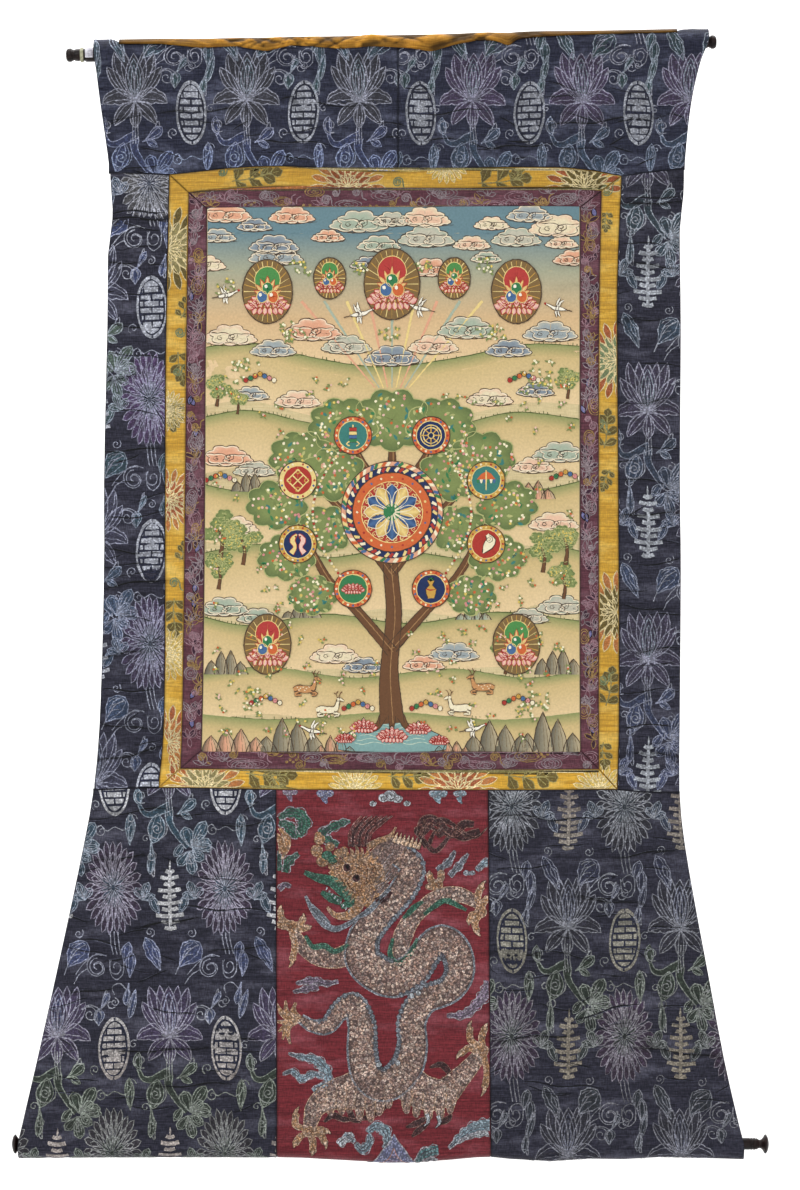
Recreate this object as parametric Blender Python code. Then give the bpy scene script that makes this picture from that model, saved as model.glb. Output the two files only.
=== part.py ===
# A hanging scroll painting: a painted canvas inside two mitred borders of silk, set in
# panels of brocade. A rod lies in a pocket along the top edge, a roller in a pocket
# along the bottom edge, and a silk cover is thrown back over the rod.
#
# Lengths are millimetres until a mesh is made. X runs to the viewer's right, Y away
# from the viewer and Z up, from the middle of the top rod's axis.
import math
from bisect import bisect_right
from collections import namedtuple

import bpy
from mathutils import Matrix, Vector

MM = 0.001

# Thickness of the cloths, and the room left between two pieces that meet.
BROCADE = 1.4
SILK = 1.0
GAP = 0.3

# How many strips of faces a side panel, the frame and the cover are wide, and how far
# apart the rows of each cloth lie.
SIDE_COLUMNS = 3
FRAME_COLUMNS = 16
COVER_COLUMNS = 22
BORDER_ROW = 26
SIDE_ROW = 34
PICTURE_ROW = 52
FOOT_ROW = 30
TOP_ROWS = (0, 0.06, 0.2, 0.34, 0.48, 0.62, 0.8, 1)

# Heights inside the frame and inside the foot, where an edge's rough place is read.
FRAME_MIDDLE = -450
FOOT_MIDDLE = -1000

# The rod in the top pocket, which hangs a little lower at its left end.
ROD_RADIUS = 11
ROD_LEFT, ROD_RIGHT = -321, 319.5
ROD_SLOPE = 0.0204
POCKET_DROP = 25

# A pocket's cloth leaves its stick this far round from the side away from the panel.
POCKET_LEAVES = math.radians(120)
POCKET_STEPS = 12
POCKET_TAIL = 3

# The roller in the bottom pocket, which hangs level.
ROLLER_RADIUS = 12
ROLLER_LEFT, ROLLER_RIGHT = -380.5, 377
ROLLER_HEIGHT = -1162
ROLLER_POCKET_RISE = 30

# The knobs sit on round tenons, which end the rod and the roller.
TENON_RADIUS = 3.5
TENON_LENGTH = 9
TURNED_SIDES = 20

# Seams that run down the cloth. The door is the piece in the middle of the foot.
TOP_SEAM = 6.5
DOOR_TOP = -786
DOOR_LEFT_TOP, DOOR_LEFT_FOOT = -123, -122
DOOR_RIGHT_TOP, DOOR_RIGHT_FOOT = 102, 104.5

# The cover behind the scroll.
COVER_LEFT, COVER_RIGHT = -289, 302
COVER_LENGTH = 750
COVER_LIP_STANDS_OFF = 1.2
COVER_LIP_TURNED_IN = math.radians(24)
COVER_LIP_FOLD = math.radians(3.4)

# The scroll's outer edges, from the top of the pocket to the bottom of the roller.
Edge = namedtuple("Edge", "height left right")
EDGES = (
    Edge(20, -314, 336),
    Edge(7, -316, 335.5),
    Edge(-12, -315, 328),
    Edge(-55, -310, 318),
    Edge(-118, -301, 311),
    Edge(-161, -297, 309),
    Edge(-182, -297, 306),
    Edge(-206, -301, 305.5),
    Edge(-288, -302, 306.5),
    Edge(-458, -305.5, 305.5),
    Edge(-543, -305.5, 306.5),
    Edge(-691, -309, 305.5),
    Edge(-755, -313, 305),
    Edge(-797, -318, 305.5),
    Edge(-840, -326, 310),
    Edge(-903, -339, 320.5),
    Edge(-988, -357.5, 336.5),
    Edge(-1073, -376.5, 352.5),
    Edge(-1150, -394, 370),
    Edge(-1185, -399, 378),
)

# The seams that run down the borders, from the frame's top corner to its bottom one.
Upright = namedtuple(
    "Upright", "height gold_left maroon_left picture_left picture_right maroon_right gold_right"
)
UPRIGHTS = (
    Upright(-135, -236, -215.5, -196.5, 199.5, 223, 243.5),
    Upright(-248, -238.5, -217.5, -196.5, 199.5, 220.5, 239),
    Upright(-335, -240, -218.5, -198, 199.5, 219.5, 239),
    Upright(-456, -240.5, -219.5, -198.5, 199.5, 219.5, 240),
    Upright(-670, -241, -222, -200.5, 199.5, 219.5, 241),
    Upright(-737, -243, -223.5, -202, 200, 219.5, 240.5),
    Upright(-785, -248, -226, -203, 200, 220, 239),
)

# The seams that run across above the picture; the first goes on past the frame.
AcrossTop = namedtuple("AcrossTop", "place gold maroon picture")
ACROSS_TOP = (
    AcrossTop(-302, -131.5, -156, -171),
    AcrossTop(-262, -132.5, -156, -171),
    AcrossTop(-235, -134, -154.5, -170.5),
    AcrossTop(-178, -127.5, -149, -169.5),
    AcrossTop(-113, -125, -146, -168.5),
    AcrossTop(-51, -129, -148.5, -169),
    AcrossTop(-2, -131, -149, -169),
    AcrossTop(63, -127.5, -148.5, -168.5),
    AcrossTop(136, -126, -147, -168),
    AcrossTop(201, -127.5, -148.5, -168.5),
    AcrossTop(243, -135.5, -153.5, -170.5),
    AcrossTop(262, -132.5, -154, -171),
    AcrossTop(312, -127, -154, -171),
)

# The seams that run across below the picture; the last goes on past the frame.
AcrossFoot = namedtuple("AcrossFoot", "place picture maroon gold")
ACROSS_FOOT = (
    AcrossFoot(-320, -744, -764, -786.5),
    AcrossFoot(-248, -744, -764, -784),
    AcrossFoot(-118, -745, -765, -786),
    AcrossFoot(-2, -745, -766, -786.5),
    AcrossFoot(83, -745, -765.5, -786.5),
    AcrossFoot(167, -745, -765, -786.5),
    AcrossFoot(240, -745, -764.5, -786),
    AcrossFoot(265, -745, -764.5, -788.5),
    AcrossFoot(310, -745, -764.5, -789.5),
)

# How far the bottom pocket sags below a pocket that hugs the roller.
Sag = namedtuple("Sag", "place drop")
ROLLER_SAG = (
    Sag(-399, 1.0),
    Sag(-300, 0.3),
    Sag(-108, 0.6),
    Sag(-45, 3.8),
    Sag(8, 6.0),
    Sag(50, 4.0),
    Sag(104, 0.0),
    Sag(146, 4.6),
    Sag(180, 3.8),
    Sag(231, 0.6),
    Sag(252, 2.6),
    Sag(275, 0.0),
    Sag(330, 1.2),
    Sag(378, 2.6),
)

# Where the cover's lower lip lies, as its height above or below the rod's axis.
Lip = namedtuple("Lip", "place above")
COVER_LIP = (
    Lip(-289, 9.0),
    Lip(-245, 9.0),
    Lip(-204, 4.7),
    Lip(-165, 6.0),
    Lip(-133, -0.6),
    Lip(-105, 6.0),
    Lip(-55, 0.5),
    Lip(-18, 2.6),
    Lip(20, -0.5),
    Lip(42, -4.9),
    Lip(66, 2.5),
    Lip(92, 6.5),
    Lip(122, 3.5),
    Lip(150, 8.3),
    Lip(185, 9.8),
    Lip(232, 9.3),
    Lip(302, 9.0),
)

# Creases left across the cloth by rolling it up. A ridge stands out along its line;
# a tuck steps, so that the cloth above its line laps over the cloth below.
Crease = namedtuple("Crease", "name left left_height right right_height rise spread kind")
CREASES = (
    Crease("left tuck", -302, -180, -240, -178, 2.6, 9, "tuck"),
    Crease("left 1", -300, -226, -242, -227, 1.6, 7, "tuck"),
    Crease("left 2", -296, -330, -240, -322, 1.8, 8, "ridge"),
    Crease("left 3", -304, -427, -240, -425, 1.4, 8, "tuck"),
    Crease("left 4", -292, -499, -241, -493, 1.6, 8, "ridge"),
    Crease("left 5", -300, -571, -241, -564, 2.0, 9, "tuck"),
    Crease("left 6", -308, -681, -250, -680, 1.8, 9, "ridge"),
    Crease("left 7", -296, -756, -246, -740, 1.6, 8, "tuck"),
    Crease("right tuck", 250, -163, 306, -162, 2.4, 9, "tuck"),
    Crease("right 1", 244, -229, 300, -232, 1.4, 8, "ridge"),
    Crease("right 2", 246, -496, 304, -492, 1.6, 8, "tuck"),
    Crease("right 3", 242, -720, 296, -717, 1.8, 8, "ridge"),
    Crease("right 4", 250, -744, 304, -748, 1.4, 7, "tuck"),
    Crease("foot left 1", -270, -934, -210, -924, 2.2, 9, "ridge"),
    Crease("foot left 2", -225, -912, -128, -914, 1.8, 9, "tuck"),
    Crease("foot left 3", -300, -1066, -200, -1060, 1.6, 10, "tuck"),
    Crease("foot right 1", 165, -818, 230, -816, 2.0, 8, "tuck"),
    Crease("foot right 2", 190, -1030, 262, -1012, 2.0, 10, "ridge"),
    Crease("top left", -240, -70, -150, -66, 1.4, 10, "ridge"),
    Crease("top right", 170, -78, 290, -70, 1.6, 10, "ridge"),
)

# Broad swells, where the cloth stands forward of the hanging plane or back from it.
Swell = namedtuple("Swell", "name place height half_width half_height rise")
SWELLS = (
    Swell("left edge curls forward", -306, -420, 34, 170, 3.0),
    Swell("left edge above the flare", -318, -700, 40, 110, 3.5),
    Swell("right edge curls forward", 308, -400, 32, 170, 2.6),
    Swell("right edge above the flare", 308, -660, 34, 120, 3.0),
    Swell("left flare stands forward", -300, -960, 42, 130, 5.0),
    Swell("left flare falls back", -225, -980, 34, 120, -3.0),
    Swell("left of the door", -150, -960, 44, 130, 2.6),
    Swell("door hollow", -10, -960, 60, 120, -2.4),
    Swell("right of the door", 140, -970, 42, 130, 3.0),
    Swell("right flare falls back", 220, -960, 36, 120, -3.0),
    Swell("right flare stands forward", 300, -950, 44, 130, 4.6),
    Swell("top left belly", -150, -86, 90, 30, 2.2),
    Swell("top right belly", 150, -88, 90, 30, 2.6),
    Swell("picture belly", 0, -455, 130, 190, 2.4),
)

# Soft folds down the cover behind the scroll, full at its hem.
Fold = namedtuple("Fold", "place back")
COVER_FOLDS = (
    Fold(-289, 4),
    Fold(-235, -2),
    Fold(-180, 5),
    Fold(-120, -1),
    Fold(-60, 6),
    Fold(0, 0),
    Fold(60, 5),
    Fold(125, -2),
    Fold(185, 6),
    Fold(245, 0),
    Fold(302, 4),
)

# Turned profiles, from the outer end inwards: distance along the axis and radius.
Turn = namedtuple("Turn", "along radius")
TOP_KNOB = (
    Turn(0, 3.0),
    Turn(0.8, 5.4),
    Turn(3.2, 7.2),
    Turn(6.0, 7.2),
    Turn(8.6, 6.0),
    Turn(12.5, 6.0),
    Turn(15.0, 8.3),
    Turn(19.5, 8.3),
    Turn(21.0, 7.6),
    Turn(34.0, 7.6),
)
BOTTOM_KNOB = (
    Turn(0, 3.4),
    Turn(1.4, 7.4),
    Turn(3.8, 10.1),
    Turn(5.2, 9.4),
    Turn(7.2, 5.8),
    Turn(9.6, 4.4),
    Turn(12.0, 5.2),
    Turn(14.0, 6.2),
    Turn(31.5, 6.2),
)

# Colours and finishes: red, green, blue, roughness and metallic value.
Finish = namedtuple("Finish", "red green blue roughness metallic")
NAVY = Finish(0.045, 0.05, 0.085, 0.7, 0)
GOLD = Finish(0.56, 0.36, 0.09, 0.5, 0)
MAROON = Finish(0.12, 0.05, 0.08, 0.6, 0)
RED = Finish(0.27, 0.03, 0.04, 0.65, 0)
CANVAS = Finish(0.55, 0.48, 0.3, 0.8, 0)
COVER = Finish(0.6, 0.34, 0.08, 0.4, 0)
DARK_WOOD = Finish(0.02, 0.012, 0.01, 0.35, 0)


def clear_scene():
    for thing in list(bpy.data.objects):
        bpy.data.objects.remove(thing, do_unlink=True)


def mix(a, b, share):
    return a + (b - a) * share


def ease(value, low, high):
    """0 up to low, 1 from high on, and a soft step between."""
    share = min(max((value - low) / (high - low), 0), 1)
    return share * share * (3 - 2 * share)


def through(rows, across, value):
    """A smooth curve through one column of a table, read against another."""
    rows = sorted(rows, key=lambda row: row._asdict()[across])
    places = [row._asdict()[across] for row in rows]
    values = [row._asdict()[value] for row in rows]
    last = len(rows) - 1
    slopes = []
    for i in range(last + 1):
        before, after = max(i - 1, 0), min(i + 1, last)
        slopes.append((values[after] - values[before]) / (places[after] - places[before]))

    def read(place):
        i = min(max(bisect_right(places, place) - 1, 0), last - 1)
        span = places[i + 1] - places[i]
        t = min(max((place - places[i]) / span, 0), 1)
        square, cube = t * t, t * t * t
        start = (2 * cube - 3 * square + 1) * values[i] + (cube - 2 * square + t) * span * slopes[i]
        end = (3 * square - 2 * cube) * values[i + 1] + (cube - square) * span * slopes[i + 1]
        return start + end

    return read


def corner(upright, across):
    """Where a seam that runs down meets one that runs across, as place and height."""
    height = across(upright(FRAME_MIDDLE))
    for _ in range(6):
        height = across(upright(height))
    return upright(height), height


def spread_out(first, last, count):
    return [mix(first, last, i / count) for i in range(count)]


def chorded(curve, knots):
    """The curve as straight runs between its knots, so that both its sides can match."""
    values = [curve(knot) for knot in knots]

    def read(place):
        i = min(max(bisect_right(knots, place) - 1, 0), len(knots) - 2)
        return mix(values[i], values[i + 1], (place - knots[i]) / (knots[i + 1] - knots[i]))

    return read


EDGE_LEFT = through(EDGES, "height", "left")
EDGE_RIGHT = through(EDGES, "height", "right")
GOLD_LEFT = through(UPRIGHTS, "height", "gold_left")
GOLD_RIGHT = through(UPRIGHTS, "height", "gold_right")
SAG_OF_POCKET = through(ROLLER_SAG, "place", "drop")


def long_seam(rows):
    """A seam from one outer edge to the other past the frame, with its knots."""
    curve = through(rows, "place", "gold")
    outer = [corner(EDGE_LEFT, curve)[0], corner(EDGE_RIGHT, curve)[0]]
    frame = [corner(GOLD_LEFT, curve)[0], corner(GOLD_RIGHT, curve)[0]]
    knots = spread_out(outer[0], frame[0], SIDE_COLUMNS)
    knots += spread_out(frame[0], frame[1], FRAME_COLUMNS)
    knots += spread_out(frame[1], outer[1], SIDE_COLUMNS) + [outer[1]]
    return chorded(curve, knots), knots


SEAM_ABOVE, KNOTS_ABOVE = long_seam(ACROSS_TOP)
SEAM_BELOW, KNOTS_BELOW = long_seam(ACROSS_FOOT)


def rod_height(place):
    return ROD_SLOPE * place


def down_door(height):
    return (height - DOOR_TOP) / (ROLLER_HEIGHT - DOOR_TOP)


def door_left(height):
    return mix(DOOR_LEFT_TOP, DOOR_LEFT_FOOT, down_door(height))


def door_right(height):
    return mix(DOOR_RIGHT_TOP, DOOR_RIGHT_FOOT, down_door(height))


def crease_rise(crease, place, height):
    """How far one crease lifts the cloth towards the viewer."""
    fades_over = 14
    tuck_peak = 1.65
    share = (place - crease.left) / (crease.right - crease.left)
    line = mix(crease.left_height, crease.right_height, share)
    past_end = max(crease.left - place, place - crease.right, 0)
    across = (height - line) / crease.spread
    rise = crease.rise * math.exp(-((past_end / fades_over) ** 2) - across * across)
    return rise if crease.kind == "ridge" else rise * across * tuck_peak


def swell_rise(swell, place, height):
    across = (place - swell.place) / swell.half_width
    up = (height - swell.height) / swell.half_height
    return swell.rise * math.exp(-across * across - up * up)


def lie(place, height):
    """The cloth's middle surface: its Y at a place across and a height.

    It settles flat towards the two pockets.
    """
    rise = sum(crease_rise(crease, place, height) for crease in CREASES)
    rise += sum(swell_rise(swell, place, height) for swell in SWELLS)
    below_rod = ease(rod_height(place) - POCKET_DROP - height, 0, 24)
    above_roller = ease(height - ROLLER_HEIGHT - ROLLER_POCKET_RISE, 0, 60)
    return -rise * below_rod * above_roller


def finish_of(name, finish):
    made = bpy.data.materials.get(name)
    if made is None:
        made = bpy.data.materials.new(name)
        made.use_nodes = True
        shader = made.node_tree.nodes["Principled BSDF"]
        shader.inputs["Base Color"].default_value = (finish.red, finish.green, finish.blue, 1)
        shader.inputs["Roughness"].default_value = finish.roughness
        shader.inputs["Metallic"].default_value = finish.metallic
    return made


def add_object(name, points, faces, material, smooth=True):
    mesh = bpy.data.meshes.new(name)
    mesh.from_pydata([Vector(point) * MM for point in points], [], faces)
    mesh.materials.append(material)
    if smooth:
        mesh.shade_smooth()
        mesh.set_sharp_from_angle(angle=math.radians(40))
    made = bpy.data.objects.new(name, mesh)
    bpy.context.scene.collection.objects.link(made)
    return made


def add_sheet(name, front, back, material):
    """A closed sheet between two grids of points, front[i][j] and back[i][j].

    i runs to the viewer's right and j down the sheet.
    """
    columns, stations = len(front), len(front[0])
    points = [point for column in front for point in column]
    points += [point for column in back for point in column]
    behind = columns * stations

    def at(i, j):
        return i * stations + j

    faces = []
    for i in range(columns - 1):
        for j in range(stations - 1):
            corners = (at(i, j), at(i, j + 1), at(i + 1, j + 1), at(i + 1, j))
            faces.append(corners)
            faces.append(tuple(behind + corner for corner in reversed(corners)))
    rim = [at(i, 0) for i in range(columns)]
    rim += [at(columns - 1, j) for j in range(1, stations)]
    rim += [at(i, stations - 1) for i in range(columns - 2, -1, -1)]
    rim += [at(0, j) for j in range(stations - 2, 0, -1)]
    for here, after in zip(rim, rim[1:] + rim[:1]):
        faces.append((here, after, behind + after, behind + here))
    return add_object(name, points, faces, material)


def levels(high, low, step, extra=()):
    """Heights from high down to low, about step apart, with extra ones kept."""
    closest = 5
    made = [high, low]
    for height in sorted(extra):
        if low < height < high and all(abs(height - other) > closest for other in made):
            made.append(height)
    count = math.ceil((high - low) / step)
    for i in range(1, count):
        height = mix(high, low, i / count)
        if all(abs(height - other) > step * 0.45 for other in made):
            made.append(height)
    return sorted(made, reverse=True)


def crease_levels(left, right):
    """The heights that the creases between two places need."""
    made = []
    for crease in CREASES:
        if crease.left < right and crease.right > left:
            middle = (crease.left_height + crease.right_height) / 2
            made += [middle + crease.spread, middle, middle - crease.spread]
    return made


def flat_point(left, right, share, height_at):
    """Where a column's line crosses a height that itself depends on the place."""
    place = 0
    for _ in range(4):
        height = height_at(place)
        place = mix(left(height), right(height), share)
    return place, height


def uniform(columns):
    return [i / columns for i in range(columns + 1)]


def shares_at(knots, left, right, seam):
    """The shares across a panel of those knots of its seam that lie between its edges."""
    first, last = corner(left, seam)[0], corner(right, seam)[0]
    inside = [knot for knot in knots if first + 3 < knot < last - 3]
    return [0] + [(knot - first) / (last - first) for knot in inside] + [1]


def flat_sheet(name, left, right, top, foot, columns, step, material):
    """A sheet between two upright edges and two level ones, on the common lie."""
    half_gap = GAP / 2
    first, last = left(FRAME_MIDDLE), right(FRAME_MIDDLE)
    middle = (first + last) / 2
    heights = levels(top(middle), foot(middle), step, crease_levels(first, last))
    downs = [(height - top(middle)) / (foot(middle) - top(middle)) for height in heights]
    front, back = [], []
    for share in uniform(columns):
        front_column, back_column = [], []
        for down in downs:
            place, height = flat_point(
                lambda z: left(z) + half_gap,
                lambda z: right(z) - half_gap,
                share,
                lambda x, down=down: mix(top(x) - half_gap, foot(x) + half_gap, down),
            )
            y = lie(place, height)
            front_column.append((place, y - BROCADE / 2, height))
            back_column.append((place, y + BROCADE / 2, height))
        front.append(front_column)
        back.append(back_column)
    return add_sheet(name, front, back, material)


def hermite(start, start_run, end, end_run, share):
    """A point on the smooth curve that leaves start along one run and meets end along another."""
    square, cube = share * share, share * share * share
    return (
        (2 * cube - 3 * square + 1) * start
        + (cube - 2 * square + share) * start_run
        + (3 * square - 2 * cube) * end
        + (cube - square) * end_run
    )


def pocket_section(radius, reach):
    """A teardrop round a stick, as (outer, inner) pairs of (y, away).

    away is the distance from the stick's axis on the side away from the panel. The
    section starts at the seam's back, goes round the stick and ends at its front.
    """
    middle = (radius + GAP) / math.cos(POCKET_LEAVES / POCKET_STEPS) + BROCADE / 2
    lean = POCKET_LEAVES - math.pi / 2
    leaves = Vector((middle * math.cos(lean), -middle * math.sin(lean)))
    run = Vector((-math.sin(lean), -math.cos(lean))) * reach
    down = Vector((0, -reach))
    tail = [
        hermite(leaves, run, Vector((0, -reach)), down, i / POCKET_TAIL)
        for i in range(1, POCKET_TAIL + 1)
    ]
    path = [Vector((point.x, point.y)) for point in reversed(tail)]
    path[0].x = BROCADE
    for i in range(POCKET_STEPS + 1):
        turn = mix(-lean, math.pi + lean, i / POCKET_STEPS)
        path.append(Vector((middle * math.cos(turn), middle * math.sin(turn))))
    path += [Vector((-point.x, point.y)) for point in tail]
    pairs = []
    for i, point in enumerate(path):
        along = (path[min(i + 1, len(path) - 1)] - path[max(i - 1, 0)]).normalized()
        if i == 0:
            along = Vector((0, 1))
        if i == len(path) - 1:
            along = Vector((0, -1))
        out = Vector((along.y, -along.x)) * BROCADE / 2
        pairs.append((point + out, point - out))
    return pairs


def pocket_sheet(name, left, right, pocket, heights, shares, material):
    """A panel whose end turns round a stick and is sewn to its own back.

    pocket(place) gives the loop's (outer, inner) points as (y, height) pairs, and
    heights(place) the heights of the flat stretch, from the loop's seam on.
    """
    loop_count = len(pocket(0))
    points, rings = [], []
    for share in shares:
        outer, inner = [], []
        for j in range(loop_count):
            for side, ring in ((0, outer), (1, inner)):
                place, height = flat_point(
                    left, right, share, lambda x, j=j, side=side: pocket(x)[j][side][1]
                )
                ring.append((place, pocket(place)[j][side][0], height))
        front, back = [], []
        for j in range(1, len(heights(0))):
            place, height = flat_point(left, right, share, lambda x, j=j: heights(x)[j])
            y = lie(place, height)
            front.append((place, y - BROCADE / 2, height))
            back.append((place, y + BROCADE / 2, height))
        start = len(points)
        points += outer + inner[:-1] + front + back
        ring_inner = [start + loop_count + j for j in range(loop_count - 1)]
        ring_inner.append(ring_inner[0])
        flat = start + loop_count * 2 - 1
        rings.append(
            {
                "outer": [start + j for j in range(loop_count)],
                "inner": ring_inner,
                "front": [start + loop_count - 1] + [flat + j for j in range(len(front))],
                "back": [start] + [flat + len(front) + j for j in range(len(back))],
            }
        )
    faces = []
    for here, after in zip(rings, rings[1:]):
        for key, turned in (("outer", False), ("inner", True), ("front", False), ("back", True)):
            for j in range(len(here[key]) - 1):
                corners = (here[key][j], here[key][j + 1], after[key][j + 1], after[key][j])
                faces.append(tuple(reversed(corners)) if turned else corners)
        faces.append((here["front"][-1], here["back"][-1], after["back"][-1], after["front"][-1]))
    for ring, turned in ((rings[0], False), (rings[-1], True)):
        caps = []
        for j in range(loop_count - 1):
            caps.append((ring["outer"][j], ring["inner"][j], ring["inner"][j + 1], ring["outer"][j + 1]))
        sewn = ring["inner"][-1]
        caps.append((ring["front"][0], sewn, ring["front"][1]))
        caps.append((sewn, ring["back"][1], ring["front"][1]))
        caps.append((sewn, ring["back"][0], ring["back"][1]))
        for j in range(1, len(ring["front"]) - 1):
            caps.append((ring["front"][j], ring["back"][j], ring["back"][j + 1], ring["front"][j + 1]))
        faces += [tuple(reversed(cap)) if turned else cap for cap in caps]
    return add_object(name, points, faces, material)


def top_panel(name, left, right, material):
    section = pocket_section(ROD_RADIUS, POCKET_DROP)
    shares = shares_at(KNOTS_ABOVE, left, right, SEAM_ABOVE)

    def pocket(place):
        rise = Vector((0, rod_height(place)))
        return [(outer + rise, inner + rise) for outer, inner in section]

    def heights(place):
        start = rod_height(place) - POCKET_DROP
        end = SEAM_ABOVE(place) + GAP / 2
        return [mix(start, end, down) for down in TOP_ROWS]

    return pocket_sheet(name, left, right, pocket, heights, shares, material)


def foot_panel(name, left, right, material):
    section = pocket_section(ROLLER_RADIUS, ROLLER_POCKET_RISE)
    shares = shares_at(KNOTS_BELOW, left, right, SEAM_BELOW)
    first, last = left(FOOT_MIDDLE), right(FOOT_MIDDLE)
    start, end = ROLLER_HEIGHT + ROLLER_POCKET_RISE, SEAM_BELOW((first + last) / 2)
    planned = levels(end, start + 5, FOOT_ROW, crease_levels(first, last))
    ups = [0] + [(start - height) / (start - end) for height in reversed(planned)]

    def hung(point, sag):
        return Vector((point.x, ROLLER_HEIGHT - point.y - sag * ease(point.y, 0, ROLLER_RADIUS)))

    def pocket(place):
        sag = SAG_OF_POCKET(place)
        return [(hung(outer, sag), hung(inner, sag)) for outer, inner in section]

    def heights(place):
        return [mix(start, SEAM_BELOW(place) - GAP / 2, up) for up in ups]

    made = pocket_sheet(name, left, right, pocket, heights, shares, material)
    made.data.flip_normals()
    return made


class Ring:
    """One rectangle of seams round the picture."""

    def __init__(self, left, right, top, foot):
        self.left = left
        self.right = right
        self.top = top
        self.foot = foot

    def edge(self, side):
        """A function along one side, from its left or top corner: share to (x, z)."""
        if side in ("left", "right"):
            upright = self.left if side == "left" else self.right
            high, low = corner(upright, self.top)[1], corner(upright, self.foot)[1]
            return lambda share: (upright(mix(high, low, share)), mix(high, low, share))
        across = self.top if side == "top" else self.foot
        start, end = corner(self.left, across)[0], corner(self.right, across)[0]
        return lambda share: (mix(start, end, share), across(mix(start, end, share)))


def border_strip(name, outer_ring, inner_ring, side, material):
    """A strip of a border between two rings, its ends cut on the mitre."""
    upright = side in ("left", "right")
    outer, inner = outer_ring.edge(side), inner_ring.edge(side)
    length = abs(inner(1)[1] - inner(0)[1]) if upright else abs(inner(1)[0] - inner(0)[0])
    width = math.dist(outer(0.5), inner(0.5))
    along = uniform(FRAME_COLUMNS)
    if upright:
        high, low = inner(0)[1], inner(1)[1]
        middle = inner(0.5)[0]
        heights = levels(high, low, BORDER_ROW, crease_levels(middle - 14, middle + 14))
        along = [(height - high) / (low - high) for height in heights]
    end_inset = 0.75 * GAP / length
    side_inset = GAP / 2 / width
    lines = []
    for across in (0, 0.5, 1):
        line = []
        for share in along:
            held = mix(end_inset, 1 - end_inset, share)
            a, b = outer(held), inner(held)
            cut = mix(side_inset, 1 - side_inset, across)
            line.append((mix(a[0], b[0], cut), mix(a[1], b[1], cut)))
        lines.append(line)
    if side in ("right", "foot"):
        lines.reverse()
    if not upright:
        lines = [list(column) for column in zip(*lines)]
    front = [[(x, lie(x, z) - BROCADE / 2, z) for x, z in line] for line in lines]
    back = [[(x, lie(x, z) + BROCADE / 2, z) for x, z in line] for line in lines]
    return add_sheet(name, front, back, material)


def cover_silk(material):
    """The silk cover: a turned lip in front of the rod, over it, and down behind.

    Round the rod its path is in (distance from the axis, turn forward from straight up).
    """
    pocket_outside = (ROD_RADIUS + GAP) / math.cos(POCKET_LEAVES / POCKET_STEPS) + BROCADE
    up_front, over_top, down_behind = 6, 5, 13
    half_step = math.pi / 4 / over_top
    inner_layer = (pocket_outside + GAP) / math.cos(half_step) + SILK / 2
    outer_layer = inner_layer + SILK + 2 * GAP
    off = COVER_LIP_STANDS_OFF
    above = through(COVER_LIP, "place", "above")
    folds = through(COVER_FOLDS, "place", "back")
    inner, outer = [], []
    for i in range(COVER_COLUMNS + 1):
        place = mix(COVER_LEFT, COVER_RIGHT, i / COVER_COLUMNS)
        lip = math.acos(above(place) / (outer_layer + off + SILK / 2))
        path = [(inner_layer + off, lip - COVER_LIP_TURNED_IN * share) for share in (1, 0.5, 0)]
        path.append(((inner_layer + outer_layer) / 2 + off, lip + COVER_LIP_FOLD))
        for j in range(up_front):
            turn = mix(lip, 0, j / up_front)
            settle = ease(lip - turn, COVER_LIP_TURNED_IN, lip)
            path.append((mix(outer_layer + off, inner_layer, settle), turn))
        path += [(inner_layer, -math.pi / 2 * j / over_top) for j in range(over_top + 1)]
        axis = rod_height(place)
        middle = [
            Vector((-radius * math.sin(turn), radius * math.cos(turn) + axis)) for radius, turn in path
        ]
        for j in range(1, down_behind + 1):
            height = mix(axis, -COVER_LENGTH, j / down_behind)
            swing = folds(place) * ease(-height, 10, 320)
            middle.append(Vector((inner_layer + swing, height)))
        inner_column, outer_column = [], []
        for j, point in enumerate(middle):
            along = middle[min(j + 1, len(middle) - 1)] - middle[max(j - 1, 0)]
            inward = Vector((along.y, -along.x)).normalized() * SILK / 2
            inner_column.append((place, *(point + inward)))
            outer_column.append((place, *(point - inward)))
        inner.append(inner_column)
        outer.append(outer_column)
    return add_sheet("cover_silk", inner, outer, material)


def turned(name, profile, start, direction, material):
    """A solid turned about an axis that runs from start along direction."""
    turn_to_axis = Vector((0, 0, 1)).rotation_difference(direction)
    frame = Matrix.LocRotScale(start, turn_to_axis, None)
    points, rings = [], []
    for turn in profile:
        if turn.radius == 0:
            rings.append([len(points)])
            points.append(frame @ Vector((0, 0, turn.along)))
            continue
        ring = []
        for k in range(TURNED_SIDES):
            angle = math.tau * k / TURNED_SIDES
            ring.append(len(points))
            x, y = turn.radius * math.cos(angle), turn.radius * math.sin(angle)
            points.append(frame @ Vector((x, y, turn.along)))
        rings.append(ring)
    faces = []
    for lower, upper in zip(rings, rings[1:]):
        for k in range(TURNED_SIDES):
            after = (k + 1) % TURNED_SIDES
            if len(lower) == 1:
                faces.append((lower[0], upper[after], upper[k]))
            elif len(upper) == 1:
                faces.append((lower[k], lower[after], upper[0]))
            else:
                faces.append((lower[k], lower[after], upper[after], upper[k]))
    return add_object(name, points, faces, material)


def stick(name, radius, start, end, material):
    """A stick with a tenon at each end."""
    length = (end - start).length
    profile = (
        Turn(0, 0),
        Turn(0, TENON_RADIUS),
        Turn(TENON_LENGTH, TENON_RADIUS),
        Turn(TENON_LENGTH, radius),
        Turn(length - TENON_LENGTH, radius),
        Turn(length - TENON_LENGTH, TENON_RADIUS),
        Turn(length, TENON_RADIUS),
        Turn(length, 0),
    )
    turned(name, profile, start, end - start, material)


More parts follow.
